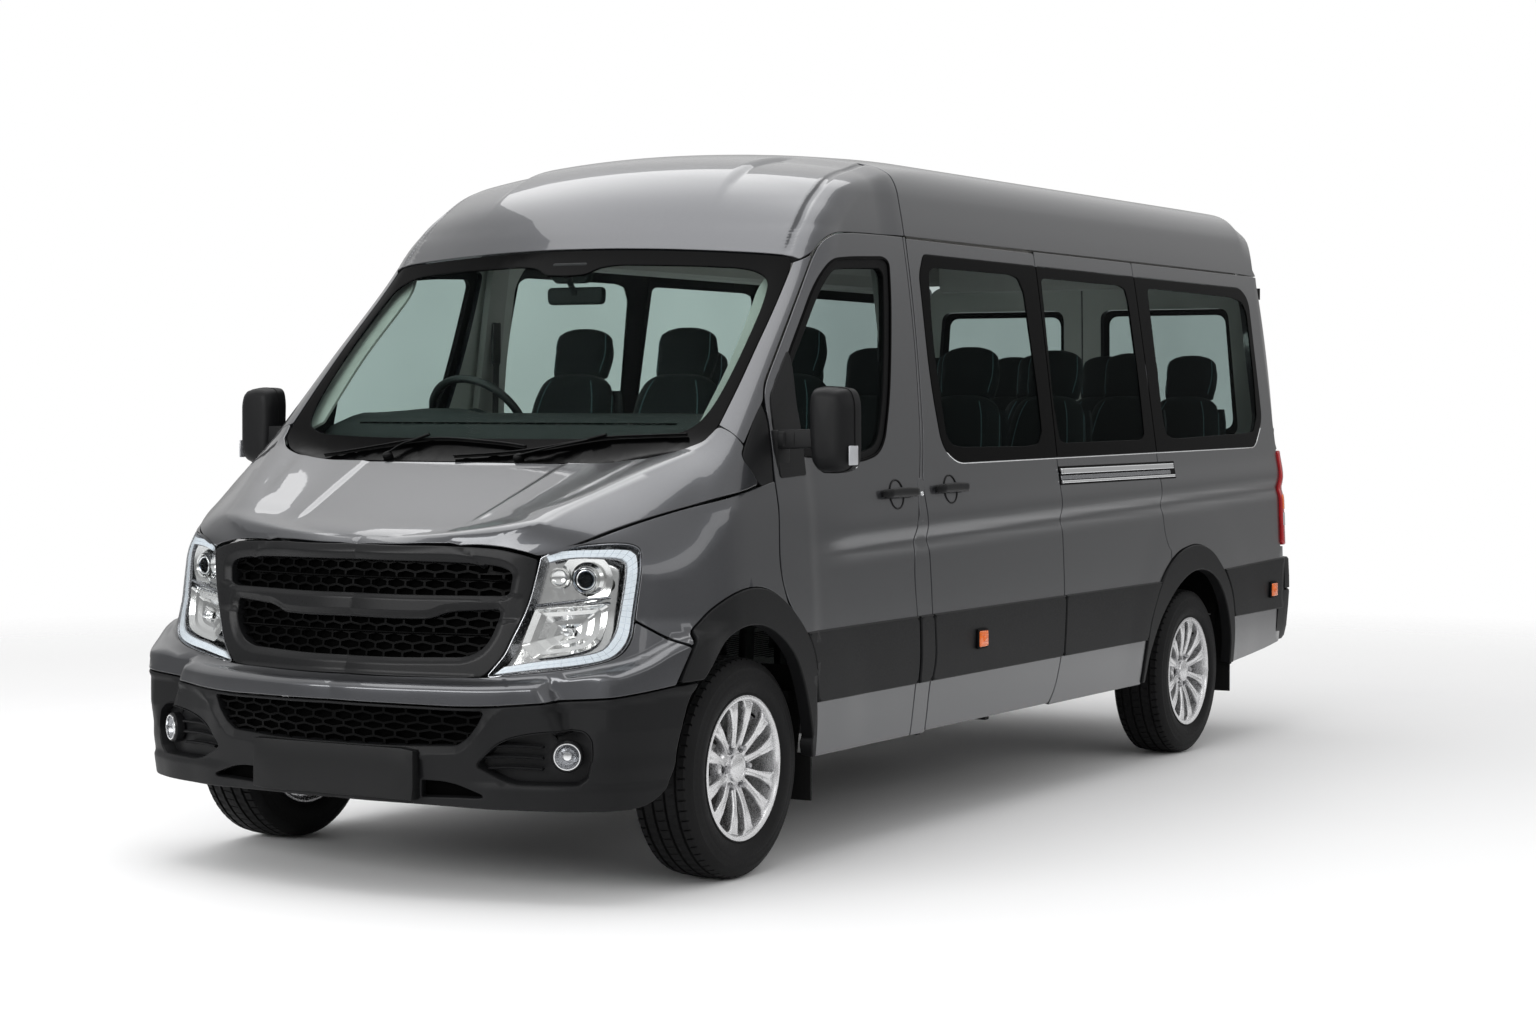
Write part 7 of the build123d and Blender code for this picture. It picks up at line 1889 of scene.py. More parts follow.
def tyre_left(name, x):
    prof = []
    half_p = [(0.0965, 0.2235), (0.1030, 0.2275), (0.1035, 0.2330), (0.1010, 0.2360), (0.1085, 0.2480), (0.1118, 0.2640), (0.1128, 0.2820), (0.1122, 0.2835), (0.1122, 0.2870), (0.1110, 0.3000), (0.1075, 0.3130), (0.1078, 0.3145), (0.1052, 0.3215), (0.0990, 0.3310), (0.0930, 0.3385)]
    crown = lambda d: 0.350 - 0.0065 * (abs(d) / 0.088) ** 2.2
    tread = []
    for c in (0.062, 0.022):
        tread += [(c + 0.0052, crown(c), 0), (c + 0.0035, crown(c) - 0.0085, 9), (c - 0.0035, crown(c) - 0.0085, 9), (c - 0.0052, crown(c), 0)]
    row = [(0.0885, crown(0.0885), 2), (0.080, crown(0.080), 3)] + [(tread[0][0] + 0.004, crown(0.07), 3)] + tread[:4] + [(0.052, crown(0.052), 4), (0.033, crown(0.033), 4)] + tread[4:] + [(0.012, crown(0.012), 5)]
    outer = [(a, b, 1) for a, b in half_p] + row
    lst = outer + [(-a, b, k) for a, b, k in outer[::-1]]
    lst += [(-0.088, 0.2240, 0), (-0.094, 0.2600, 0), (-0.094, 0.3000, 0), (-0.080, 0.3280, 0), (0.0, 0.3350, 0), (0.080, 0.3280, 0), (0.094, 0.3000, 0), (0.094, 0.2600, 0), (0.088, 0.2240, 0)]
    m = len(lst); pitch = 64 if not QUICK else 32
    fr_ = [0.0, 0.13, 0.17, 0.50, 0.63, 0.67, 0.96] if not QUICK else [0.0, 0.13, 0.5]
    V, F = [], []
    cols = []
    for p_ in range(pitch):
        for i, fq in enumerate(fr_):
            cols.append((p_ + fq, i))
    for t, i in cols:
        for d, r, k in lst:
            sk = 0.0
            cut = 0.0
            if k in (2, 3): sk = (abs(d) - 0.06) * 9 * (1 if d > 0 else -1); cut = 0.0055 if i in (0, 1) else 0.0
            if k == 2: cut *= 0.9
            if k == 4: sk = (abs(d) - 0.04) * 16 * (1 if d > 0 else -1); cut = 0.0035 if i in (3, 4) else 0.0
            if k == 5: sk = d * 14; cut = 0.003 if i in (0, 1) else 0.0
            a = 2 * math.pi * (t + sk * 0.35) / pitch
            rr = r - cut
            V.append((x + rr * math.cos(a), TRK + d, RW + rr * math.sin(a)))
    n = len(cols)
    for c in range(n):
        e = (c + 1) % n
        for j in range(m):
            l = (j + 1) % m; F.append((c * m + j, c * m + l, e * m + l, e * m + j))
    bm = bmesh.new(); vs = [bm.verts.new(v) for v in V]
    for qd in F: bm.faces.new([vs[i] for i in qd])
    bmesh.ops.recalc_face_normals(bm, faces=bm.faces[:])
    return obj_bm(name, bm, [M['tyre']], 28)


def wheel_left(name, x):
    C = Vector((x, TRK, RW)); ax = Vector((0, 1, 0)); ref = (1, 0, 0); obs = []
    rim = [(0.1035, 0.2290), (0.1045, 0.2240), (0.1040, 0.2175), (0.1000, 0.2135), (0.0940, 0.2115), (0.0800, 0.2085), (0.0500, 0.2040), (0.0100, 0.1985), (-0.0500, 0.1960), (-0.0850, 0.2060), (-0.0990, 0.2130), (-0.1045, 0.2240), (-0.1035, 0.2290), (-0.0980, 0.2230), (-0.0800, 0.2190), (-0.04, 0.2100), (0.02, 0.2080), (0.0800, 0.2170), (0.0980, 0.2230)]
    obs.append(lathe('r', rim, C, ax, M['alloy'], 96 if not QUICK else 48, closed=True, angle=40, ref=ref))
    # spokes in six pairs
    K = 13
    for pr in range(6):
        for sgn in (-1, 1):
            a0 = math.radians(90 + pr * 60) + sgn * math.radians(13.0)
            ar = math.radians(90 + pr * 60) + sgn * math.radians(15.0)
            V, F = [], []
            for i in range(K):
                t = i / (K - 1); r = 0.040 + (0.2095 - 0.040) * t
                w = 0.0150 - 0.0035 * math.sin(math.pi * min(1, t * 1.35)) + 0.0075 * max(0, t - 0.55) / 0.45 + 0.010 * max(0, (t - 0.90) / 0.10) ** 2
                h = 0.066 + 0.030 * math.sin(min(1.0, t * 1.08) * math.pi / 2) ** 0.9 - 0.003 * max(0, t - 0.9) / 0.1
                dpt = 0.030 - 0.010 * t
                a = a0 * t + ar * (1 - t)
                rad = Vector((math.cos(a), 0, math.sin(a))); tan = Vector((-math.sin(a), 0, math.cos(a)))
                c = C + rad * r
                sec_ = [(-w * 0.72, h - dpt), (-w * 0.98, h - dpt * 0.5), (-w, h - 0.0050), (-w * 0.90, h - 0.0012), (-w * 0.74, h), (-w * 0.18, h - 0.0022), (w * 0.18, h - 0.0022), (w * 0.74, h), (w * 0.90, h - 0.0012), (w, h - 0.0050), (w * 0.98, h - dpt * 0.5), (w * 0.72, h - dpt)]
                for u, d in sec_: V.append(c + tan * u + ax * d)
            m = 12
            for i in range(K - 1):
                for j in range(m):
                    l = (j + 1) % m; F.append((i * m + j, i * m + l, (i + 1) * m + l, (i + 1) * m + j))
            bm = bmesh.new(); vs = [bm.verts.new(v) for v in V]
            for qd in F: bm.faces.new([vs[i] for i in qd])
            bm.faces.new(vs[:m]); bm.faces.new(vs[-m:][::-1])
            bmesh.ops.recalc_face_normals(bm, faces=bm.faces[:]); bmesh.ops.triangulate(bm, faces=[q_ for q_ in bm.faces if len(q_.verts) > 4])
            obs.append(obj_bm('sp', bm, [M['alloy']], 42))
    # hub, nuts in their pockets and a blank cap
    obs.append(lathe('hb', [(0.030, 0.0), (0.030, 0.088), (0.058, 0.086), (0.066, 0.080), (0.070, 0.070), (0.0720, 0.052), (0.0725, 0.0)], C, ax, M['alloy'], 72, angle=40, ref=ref))
    obs.append(lathe('cp', [(0.070, 0.047), (0.0800, 0.0465), (0.0835, 0.0440), (0.0850, 0.0400), (0.0862, 0.0345), (0.0850, 0.0325), (0.0858, 0.0300), (0.0872, 0.0)], C, ax, M['alloy'], 64, angle=24, ref=ref))
    for k in range(6):
        a = math.radians(60 * k + 60 + 60)
        c = C + Vector((math.cos(a), 0, math.sin(a))) * 0.0665
        obs.append(lathe('pk', [(0.0728, 0.0145), (0.0745, 0.0140), (0.0745, 0.0125), (0.0715, 0.0120), (0.0700, 0.0)], c, ax, M['alloy_dark'], 24, angle=40, ref=ref))
        obs.append(lathe('nt', [(0.0700, 0.0095), (0.0850, 0.0095), (0.0885, 0.0078), (0.0890, 0.0040), (0.0885, 0.0)], c, ax, M['nut'], 6, angle=30, ref=ref))
    # valve
    a = math.radians(122)
    obs.append(tube('vl', [C + Vector((math.cos(a) * 0.196, 0.060, math.sin(a) * 0.196)), C + Vector((math.cos(a) * 0.178, 0.086, math.sin(a) * 0.178))], 0.0042, M['seal'], n=10))
    return join_objs(name, obs)


def brake_left(name, x, rear=False):
    """disc with its edge vents, caliper and carrier"""
    C = Vector((x, TRK, RW)); ax = Vector((0, 1, 0)); obs = []
    obs.append(lathe('d0', [(-0.066, 0.140), (-0.066, 0.078), (-0.052, 0.076), (-0.030, 0.074), (-0.026, 0.070), (-0.026, 0.0), (-0.070, 0.0), (-0.070, 0.068), (-0.0585, 0.0705), (-0.058, 0.084), (-0.0575, 0.1385), (-0.060, 0.139), (-0.060, 0.136)], C, ax, M['disc'], 72, angle=30) if False else
               lathe('d0', [(-0.024, 0.0), (-0.024, 0.070), (-0.028, 0.074), (-0.040, 0.076), (-0.041, 0.139), (-0.043, 0.140), (-0.050, 0.140), (-0.051, 0.137), (-0.058, 0.137), (-0.059, 0.140), (-0.066, 0.140), (-0.068, 0.138), (-0.068, 0.074), (-0.072, 0.070), (-0.072, 0.0)], C, ax, M['disc'], 72, angle=30))
    cal = prism('cl', [(x - 0.152, RW - 0.085, .02), (x - 0.160, RW + 0.0, .03), (x - 0.150, RW + 0.085, .02), (x - 0.100, RW + 0.100, .02), (x - 0.095, RW + 0.0, .02), (x - 0.100, RW - 0.100, .02)], 'y', TRK - 0.110, TRK - 0.012, M['cast'], 0.010, 3, 0.02, 0.015)
    obs.append(cal)
    for z in (-0.05, 0.05):
        obs.append(tube('cb', [(x - 0.128, TRK - 0.118, RW + z), (x - 0.128, TRK - 0.008, RW + z)], 0.013, M['cast'], n=14))
    return join_objs(name, obs)


for nm, x in (('front', XF), ('rear', XR)):
    t = tyre_left('tyre_tread_%s_left' % nm, x); t2 = mirror(t, 'tyre_tread_%s_right' % nm)
    own(t, nm + '_wheel_left', 'tyre_rubber', 'tyre_%s_left' % nm); own(t2, nm + '_wheel_right', 'tyre_rubber', 'tyre_%s_right' % nm)
    w_ = wheel_left('alloy_%s_left' % nm, x); w2_ = mirror(w_, 'alloy_%s_right' % nm)
    own(w_, nm + '_wheel_left', 'alloy', 'wheel_%s_left' % nm); own(w2_, nm + '_wheel_right', 'alloy', 'wheel_%s_right' % nm)
    b_ = brake_left('brake_%s_left' % nm, x); b2_ = mirror(b_, 'brake_%s_right' % nm)
    if nm == 'front':
        own(b_, 'knuckle_left', 'cast_metal'); own(b2_, 'knuckle_right', 'cast_metal')
    else:
        own(b_, BODY, 'cast_metal'); own(b2_, BODY, 'cast_metal')

# ------------------------------------------------------------------ inside
def grid_mesh(rows, mat, name, closed_u=True, cap=True, angle=40, mats=None):
    """rows of points joined into a skin"""
    m = len(rows[0]); V = [v for r in rows for v in r]; F = []
    for i in range(len(rows) - 1):
        for j in range(m if closed_u else m - 1):
            l = (j + 1) % m; F.append((i * m + j, i * m + l, (i + 1) * m + l, (i + 1) * m + j))
    bm = bmesh.new(); vs = [bm.verts.new(tuple(map(float, v))) for v in V]
    for q_ in F: bm.faces.new([vs[i] for i in q_])
    if cap:
        bm.faces.new(vs[:m]); bm.faces.new(vs[-m:][::-1])
    bmesh.ops.recalc_face_normals(bm, faces=bm.faces[:]); bmesh.ops.triangulate(bm, faces=[x for x in bm.faces if len(x.verts) > 4])
    return obj_bm(name, bm, mats or [mat], angle)


def dashboard():
    obs = []
    prof = [(1.722, 0.962), (1.662, 1.060), (1.642, 1.110), (1.648, 1.180), (1.652, 1.240), (1.664, 1.285), (1.682, 1.340), (1.700, 1.392), (1.722, 1.430), (1.752, 1.452), (1.790, 1.461), (1.850, 1.451), (1.945, 1.423), (2.005, 1.378), (2.052, 1.328), (2.068, 1.240), (2.074, 1.100), (2.075, 0.970), (1.90, 0.962)]
    rows = []
    for y in np.linspace(-0.838, 0.838, 85):
        lim = np.interp(abs(y), [0.0, 0.4, 0.70, 0.838], [2.075, 2.070, 2.02, 1.93])
        hump = 0.040 * math.exp(-(abs((y + 0.45) / 0.180)) ** 3.2)
        cut = max(0.0, (abs(y) - 0.735) / 0.103) ** 2
        r = []
        for x, z in prof:
            k = math.exp(-((x - 1.700) / 0.075) ** 2) if z > 1.25 else 0
            zz = z + hump * k
            xx = min(x - hump * 1.5 * (1 if 1.24 < z < 1.44 and x < 1.73 else 0.4 if z > 1.3 and x < 1.76 else 0), lim)
            if zz > 1.30: zz = 1.30 + (zz - 1.30) * (1 - min(1, cut * 0.9))
            r.append((xx, y, zz))
        rows.append(r)
    obs.append(grid_mesh(rows, M['dash'], 'da', angle=50))
    # instrument cowl opening, screen, vents
    obs.append(prism('db', [(-0.590, 1.335, .04), (-0.310, 1.335, .04), (-0.325, 1.446, .05), (-0.575, 1.446, .05)], 'x', 1.618, 1.660, M['black'], 0.003, 2, 0.03, 0.02))
    for yy in (-0.520, -0.380):
        obs.append(lathe('dg', [(0.0, 0.046), (0.006, 0.046), (0.006, 0.042), (0.001, 0.040), (0.001, 0.0)], Vector((1.619, yy, 1.391)), Vector((-1, 0, 0.15)), M['char_gloss'], 36))
    obs.append(prism('dc', [(-0.125, 1.205, .01), (0.125, 1.205, .01), (0.125, 1.358, .012), (-0.125, 1.358, .012)], 'x', 1.645, 1.690, M['black'], 0.004, 2))
    obs.append(prism('dd', [(-0.135, 1.020, .01), (0.135, 1.020, .01), (0.135, 1.145, .01), (-0.135, 1.145, .01)], 'x', 1.628, 1.68, M['char_gloss'], 0.005, 2))
    for yy in (-0.085, 0.0, 0.085):
        obs.append(lathe('dk', [(0.0, 0.026), (0.014, 0.024), (0.017, 0.021), (0.017, 0.0)], Vector((1.629, yy, 1.075)), Vector((-1, 0, 0)), M['char_gloss'], 28))
    for yy in (-0.770, -0.195, 0.195, 0.770):
        for i in range(5):
            obs.append(rbox('dv', (1.652, yy - 0.045, 1.252 + i * 0.015), (1.690, yy + 0.045, 1.257 + i * 0.015), M['char_gloss'], 0.0015, 1))
        # near-black block behind the slats: painted shade for the vent's dark duct
        obs.append(rbox('dw', (1.650 + 0.004, yy - 0.052, 1.245), (1.690, yy + 0.052, 1.325), M['void'], 0.002, 1))
    obs.append(prism('dglove', [(0.30, 1.02, .02), (0.72, 1.02, .02), (0.72, 1.165, .02), (0.30, 1.165, .02)], 'x', 1.636, 1.70, M['dash'], 0.008, 3))
    obs.append(prism('dcon', [(1.605, 0.585, .02), (1.890, 0.585, .02), (1.890, 0.99, .02), (1.700, 0.985, .03), (1.625, 0.940, .03)], 'y', -0.125, 0.125, M['dash'], 0.015, 3))
    obs.append(tube('lever', [(1.610, 0.02, 0.93), (1.575, 0.02, 1.00), (1.560, 0.02, 1.05)], [0.008, 0.008, 0.008], M['chrome'], n=12)); obs.append(lathe('lk', [(-0.03, 0.0), (-0.028, 0.016), (-0.01, 0.024), (0.01, 0.022), (0.02, 0.012), (0.022, 0.0)], Vector((1.557, 0.02, 1.065)), Vector((-0.25, 0, 1)), M['leather'], 24))
    # column, its shroud and stalks
    A = math.radians(33); axd = Vector((-math.cos(A), 0, math.sin(A))); hub = Vector((1.5, -0.45, 1.42))
    obs.append(tube('col', [hub - axd * 0.070, hub - axd * 0.20, hub - axd * 0.30], [0.038, 0.050, 0.058], M['dash'], n=24, up=(0, 1, 0)))
    for s in (-1, 1):
        obs.append(tube('stk', [hub - axd * 0.085 + Vector((0, s * 0.035, 0)), hub - axd * 0.080 + Vector((0, s * 0.10, 0.010)), hub - axd * 0.072 + Vector((0, s * 0.155, 0.014))], [0.009, 0.007, 0.008], M['dash'], n=10))
    # windscreen vent slot along the dash top: a row of near-black boxes, painted shade for the slot's depth
    for i in range(28):
        yy = -0.62 + i * 1.24 / 27
        obs.append(rbox('sl', (1.925, yy - 0.018, 1.4265), (1.943, yy + 0.018, 1.4300), M['void'], 0.001, 1))
    return join_objs('dashboard_unit', obs)


own(dashboard(), BODY, 'dash_plastic', 'dashboard')


def steering():
    A = math.radians(33); ax = Vector((-math.cos(A), 0, math.sin(A))); hub = Vector((1.5, -0.45, 1.42)); obs = []
    u = Vector((0, 1, 0)); v = ax.cross(u)
    n, k = 72, 14; rows = []
    for i in range(n):
        a = 2 * math.pi * i / n; e = u * math.cos(a) + v * math.sin(a); r = []
        rr = 0.0152 + 0.0012 * (1 if (i % 36) in range(6, 13) else 0)
        for j in range(k):
            b = 2 * math.pi * j / k; r.append(hub + e * (0.190 + rr * math.cos(b) * 0.92) + ax * (rr * math.sin(b)))
        rows.append(r)
    rows.append(rows[0])
    o = grid_mesh(rows, M['leather'], 'sa', cap=False); 
    bm = bmesh.new(); bm.from_mesh(o.data); bmesh.ops.remove_doubles(bm, verts=bm.verts[:], dist=1e-6); bm.to_mesh(o.data); bm.free(); auto_normals(o, 60)
    obs.append(o)
    sv = -1 if v.z > 0 else 1
    for d in (u, -u, v * sv):
        p0, p1, p2 = hub - ax * 0.022 + d * 0.045, hub - ax * 0.020 + d * 0.11, hub - ax * 0.004 + d * 0.182
        obs.append(tube('sb', [p0, p1, p2], [0.026, 0.019, 0.015], M['char_gloss'], n=16, flat=0.45, up=tuple(ax), smooth_path=6))
    obs.append(lathe('sc', [(-0.055, 0.0), (-0.055, 0.040), (-0.030, 0.060), (-0.010, 0.070), (0.002, 0.066), (0.010, 0.052), (0.0135, 0.030), (0.0145, 0.0)], hub, ax, M['dash'], 48, angle=40))
    return join_objs('steering_wheel_rim', obs)


own(steering(), 'steering_wheel', 'dash_plastic', 'steering_wheel')


# ------------------------------------------------------------------ seats: one set of pads is puffed up, then placed
def pad_base(name, half_y, prof, corner, vox):
    """a slab whose edges taper, before it is filled"""
    bm = bmesh.new(); bmesh.ops.create_cube(bm, size=2)
    bmesh.ops.subdivide_edges(bm, edges=bm.edges[:], cuts=11, use_grid_fill=True)
    for v in bm.verts:
        x, y, z = v.co; v.co = Vector(prof(x, y, z))
    me = bpy.data.meshes.new(name); bm.to_mesh(me); bm.free()
    return link(bpy.data.objects.new(name, me))


def puff(o, vox, pressure, cap, pinned=None):
    """voxel remesh, then a short cloth run with air pressure, movement limited"""
    m = o.modifiers.new('r', 'REMESH'); m.mode = 'VOXEL'; m.voxel_size = vox; m.use_smooth_shade = True
    bake(o)
    n = len(o.data.vertices); rest = np.empty(n * 3); o.data.vertices.foreach_get('co', rest); rest = rest.reshape(-1, 3)
    if not QUICK:
        c = o.modifiers.new('c', 'CLOTH'); s = c.settings
        s.use_pressure = True; s.uniform_pressure_force = pressure; s.effector_weights.gravity = 0.0
        s.mass = 0.25; s.tension_stiffness = 12; s.compression_stiffness = 12; s.bending_stiffness = 1.2; s.quality = 4
        s.air_damping = 4.0
        c.point_cache.frame_start = 1; c.point_cache.frame_end = 14
        scn = bpy.context.scene
        for fr in range(1, 15): scn.frame_set(fr)
        dg = bpy.context.evaluated_depsgraph_get()
        ev = o.evaluated_get(dg); me = bpy.data.meshes.new_from_object(ev)
        now = np.empty(n * 3); me.vertices.foreach_get('co', now); now = now.reshape(-1, 3)
        bpy.data.meshes.remove(me); o.modifiers.clear(); scn.frame_set(1)
        d = now - rest; L = np.linalg.norm(d, axis=1, keepdims=True); L = np.where(np.isfinite(L), L, 0); d = np.where(np.isfinite(d), d, 0)
        rest = rest + d * np.minimum(1.0, cap / np.maximum(L, 1e-9))
        o.data.vertices.foreach_set('co', rest.ravel()); o.data.update()
    bm = bmesh.new(); bm.from_mesh(o.data)
    for _ in range(3): bmesh.ops.smooth_vert(bm, verts=bm.verts[:], factor=0.5, use_axis_x=True, use_axis_y=True, use_axis_z=True)
    bm.to_mesh(o.data); bm.free(); o.data.update()
    return o




HB = 0.200           # half width of one place
LEAN = math.atan2(0.13, 0.60)


def se(v, e): return math.copysign(abs(v) ** e, v)


def back_prof(x, y, z):
    # local: x thickness (front +), y across, z up from the foot; leaned afterwards
    h = 0.60; t = (z + 1) / 2
    # shoulders drawn in and rounded
    wy = HB * (0.90 + 0.07 * math.sin(math.pi * min(1, t * 1.2)) - 0.12 * max(0, (t - 0.74) / 0.26) ** 2.4)
    edge = max(abs(y), abs(z)) ** 6
    th = 0.052 - 0.012 * t - 0.020 * abs(y) ** 5 - 0.014 * abs(z) ** 6
    bol = 0.016 * math.exp(-((abs(y) - 0.80) / 0.13) ** 2) * (1 if x > 0 else 0) * math.sin(math.pi * min(1, 0.15 + t * 0.9))
    lum = 0.010 * math.sin(math.pi * t) if x > 0 else 0
    zz = 0.010 + (h + 0.006) * t + 0.010 * (1 - abs(y) ** 2) * max(0, (t - 0.85) / 0.15) - 0.085 * max(0, abs(y) - 0.50) ** 1.7 * max(0, (t - 0.5) / 0.5)
    return (x * th + (bol + lum if x > 0 else 0) * max(0, x), y * wy, zz)


def cush_prof(x, y, z):
    # x: 0.045..0.475 forward, y across, z thickness
    t = (x + 1) / 2
    wy = HB * 0.97
    th = 0.050 - 0.018 * abs(y) ** 6 - 0.016 * abs(x) ** 6
    bol = 0.014 * math.exp(-((abs(y) - 0.82) / 0.13) ** 2) if z > 0 else 0
    xx = 0.055 + 0.412 * t
    drop = -0.018 * max(0, (t - 0.82) / 0.18) ** 2
    return (xx, y * wy, 0.390 + z * th + bol * max(0, z) + drop)


def head_prof(x, y, z):
    wy = 0.122 * (1 - 0.06 * abs(z) ** 3); th = 0.032 - 0.010 * abs(y) ** 4 - 0.006 * abs(z) ** 4
    t = (z + 1) / 2
    return (x * th + 0.006 * (1 - y * y), y * wy, -0.014 + 0.216 * t - 0.030 * abs(y) ** 3 * (1 if z > 0 else -0.3) * abs(z))


vx = 0.013 if not QUICK else 0.024
PB = puff(pad_base('pb', HB, back_prof, 0.05, vx), vx, 3.5, 0.012)
PC = puff(pad_base('pc', HB, cush_prof, 0.05, vx), vx, 3.5, 0.011)
PH = puff(pad_base('ph', HB, head_prof, 0.03, vx * 0.85), vx * 0.85, 3.5, 0.009)


def mesh_data(o):
    me = o.data; n = len(me.vertices); co = np.empty(n * 3); me.vertices.foreach_get('co', co)
    nr = np.empty(n * 3); me.vertex_normals.foreach_get('vector', nr)
    return co.reshape(-1, 3), [tuple(p.vertices) for p in me.polygons], nr.reshape(-1, 3)


PADS = {k: mesh_data(o) for k, o in (('b', PB), ('c', PC), ('h', PH))}
from mathutils.bvhtree import BVHTree
BV = {k: BVHTree.FromPolygons([tuple(v) for v in PADS[k][0]], PADS[k][1]) for k in PADS}
for o in (PB, PC, PH): bpy.data.objects.remove(o)

# seams: sewn lines on the pads, found on the filled surface from in front or the side
def seam(k, pts, d, off=0.0006):
    out = []
    q_ = curve(pts, 30 if not QUICK else 14)
    for p in q_:
        hit_, nn, _, _ = BV[k].ray_cast(Vector(p) - Vector(d) * 0.3, Vector(d))
        if hit_ is not None: out.append(tuple(hit_ + nn * off))
    return out


SEAMS = {'b': [], 'c': [], 'h': []}
for s in (-1, 1):
    SEAMS['b'].append((seam('b', [(0, s * 0.122, 0.02), (0, s * 0.128, 0.20), (0, s * 0.126, 0.38), (0, s * 0.108, 0.52), (0, s * 0.085, 0.585)], (-1, 0, 0)), 0.0021))
    SEAMS['b'].append((seam('b', [(0.022, s * 0.10, 0.05), (0.020, s * 0.10, 0.25), (0.012, s * 0.10, 0.42), (0.004, s * 0.10, 0.54)], (0, -s, 0)), 0.0019))
    SEAMS['c'].append((seam('c', [(0.09, s * 0.128, 0.39), (0.25, s * 0.130, 0.39), (0.40, s * 0.128, 0.39), (0.462, s * 0.120, 0.39)], (0, 0, -1)), 0.0021))
    SEAMS['h'].append((seam('h', [(0.0, s * 0.098, 0.020), (0.0, s * 0.107, 0.08), (0.0, s * 0.107, 0.14), (0.0, s * 0.096, 0.192)], (-1, 0, 0)), 0.0018))
SEAMS['b'].append((seam('b', [(0, -0.120, 0.17), (0, -0.06, 0.163), (0, 0.06, 0.163), (0, 0.120, 0.17)], (-1, 0, 0), -0.0004), 0.0012))
SEAMS['c'].append((seam('c', [(0.20, -0.122, 0.39), (0.195, 0, 0.39), (0.20, 0.122, 0.39)], (0, 0, -1), -0.0004), 0.0012))


def place(kind, x, y, z0, sy, tall):
    """turns local pad points into the vehicle's; tall lengthens the back"""
    kb = (0.60 + tall) / 0.60
    c, s = math.cos(LEAN), math.sin(LEAN)
    def go(P):
        P = np.asarray(P, float).copy(); P[:, 1] *= sy
        if kind == 'b':
            P[:, 2] *= kb; X = P[:, 0] * c - P[:, 2] * s; Z = P[:, 0] * s + P[:, 2] * c
            return np.stack([x + X, y + P[:, 1], z0 + 0.362 + Z], 1)
        if kind == 'h':
            l2 = math.atan2(0.04, 0.20); c2, s2 = math.cos(l2), math.sin(l2)
            X = P[:, 0] * c2 - P[:, 2] * s2; Z = P[:, 0] * s2 + P[:, 2] * c2
            return np.stack([x - 0.152 - tall * 0.15 + X, y + P[:, 1], z0 + 0.952 + tall + Z * (1 - tall * 3.0)], 1)
        return np.stack([x + P[:, 0], y + P[:, 1], z0 + P[:, 2]], 1)
    return go


def seats(tag, places, zf, tall=0.0):
    """pads and piping for a list of (x, y, width share)"""
    out = {'b': ([], [], []), 'c': ([], [], []), 'h': ([], [], [])}; pipes, frames = [], []
    for x, y, sy in places:
        for k in 'bch':
            go = place(k, x, y, zf, sy if k != 'h' else 1.0, tall); V, F, N = PADS[k]
            A = out[k]; b = sum(len(a) for a in A[0]); A[0].append(go(V)); A[1].extend([tuple(i + b for i in f_) for f_ in F])
            for line, r in SEAMS[k]:
                if len(line) > 3: pipes.append((go(np.array(line)), r))
    names = {'b': 'seat_backs', 'c': 'seat_cushions', 'h': 'head_rests'}
    pads = []
    for k in 'bch':
        V = np.concatenate(out[k][0])
        me = bpy.data.meshes.new(tag + names[k]); me.from_pydata([tuple(v) for v in V], [], out[k][1]); me.materials.append(M['seat'])
        me.polygons.foreach_set('use_smooth', [True] * len(me.polygons)); me.update()
        o = link(bpy.data.objects.new(tag + names[k], me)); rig.padded(o, 0.85 if k != 'h' else 0.9); pads.append(o)
        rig.ride(o, BODY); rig.slot(o, 'seat_fabric')
    pp = join_objs(tag + 'seat_piping', [tube('p', [tuple(v) for v in L], r, M['piping'] if r > 0.0015 else M['seat_side'], n=6) for L, r in pipes])
    own(pp, BODY, 'seat_fabric')
    return pads


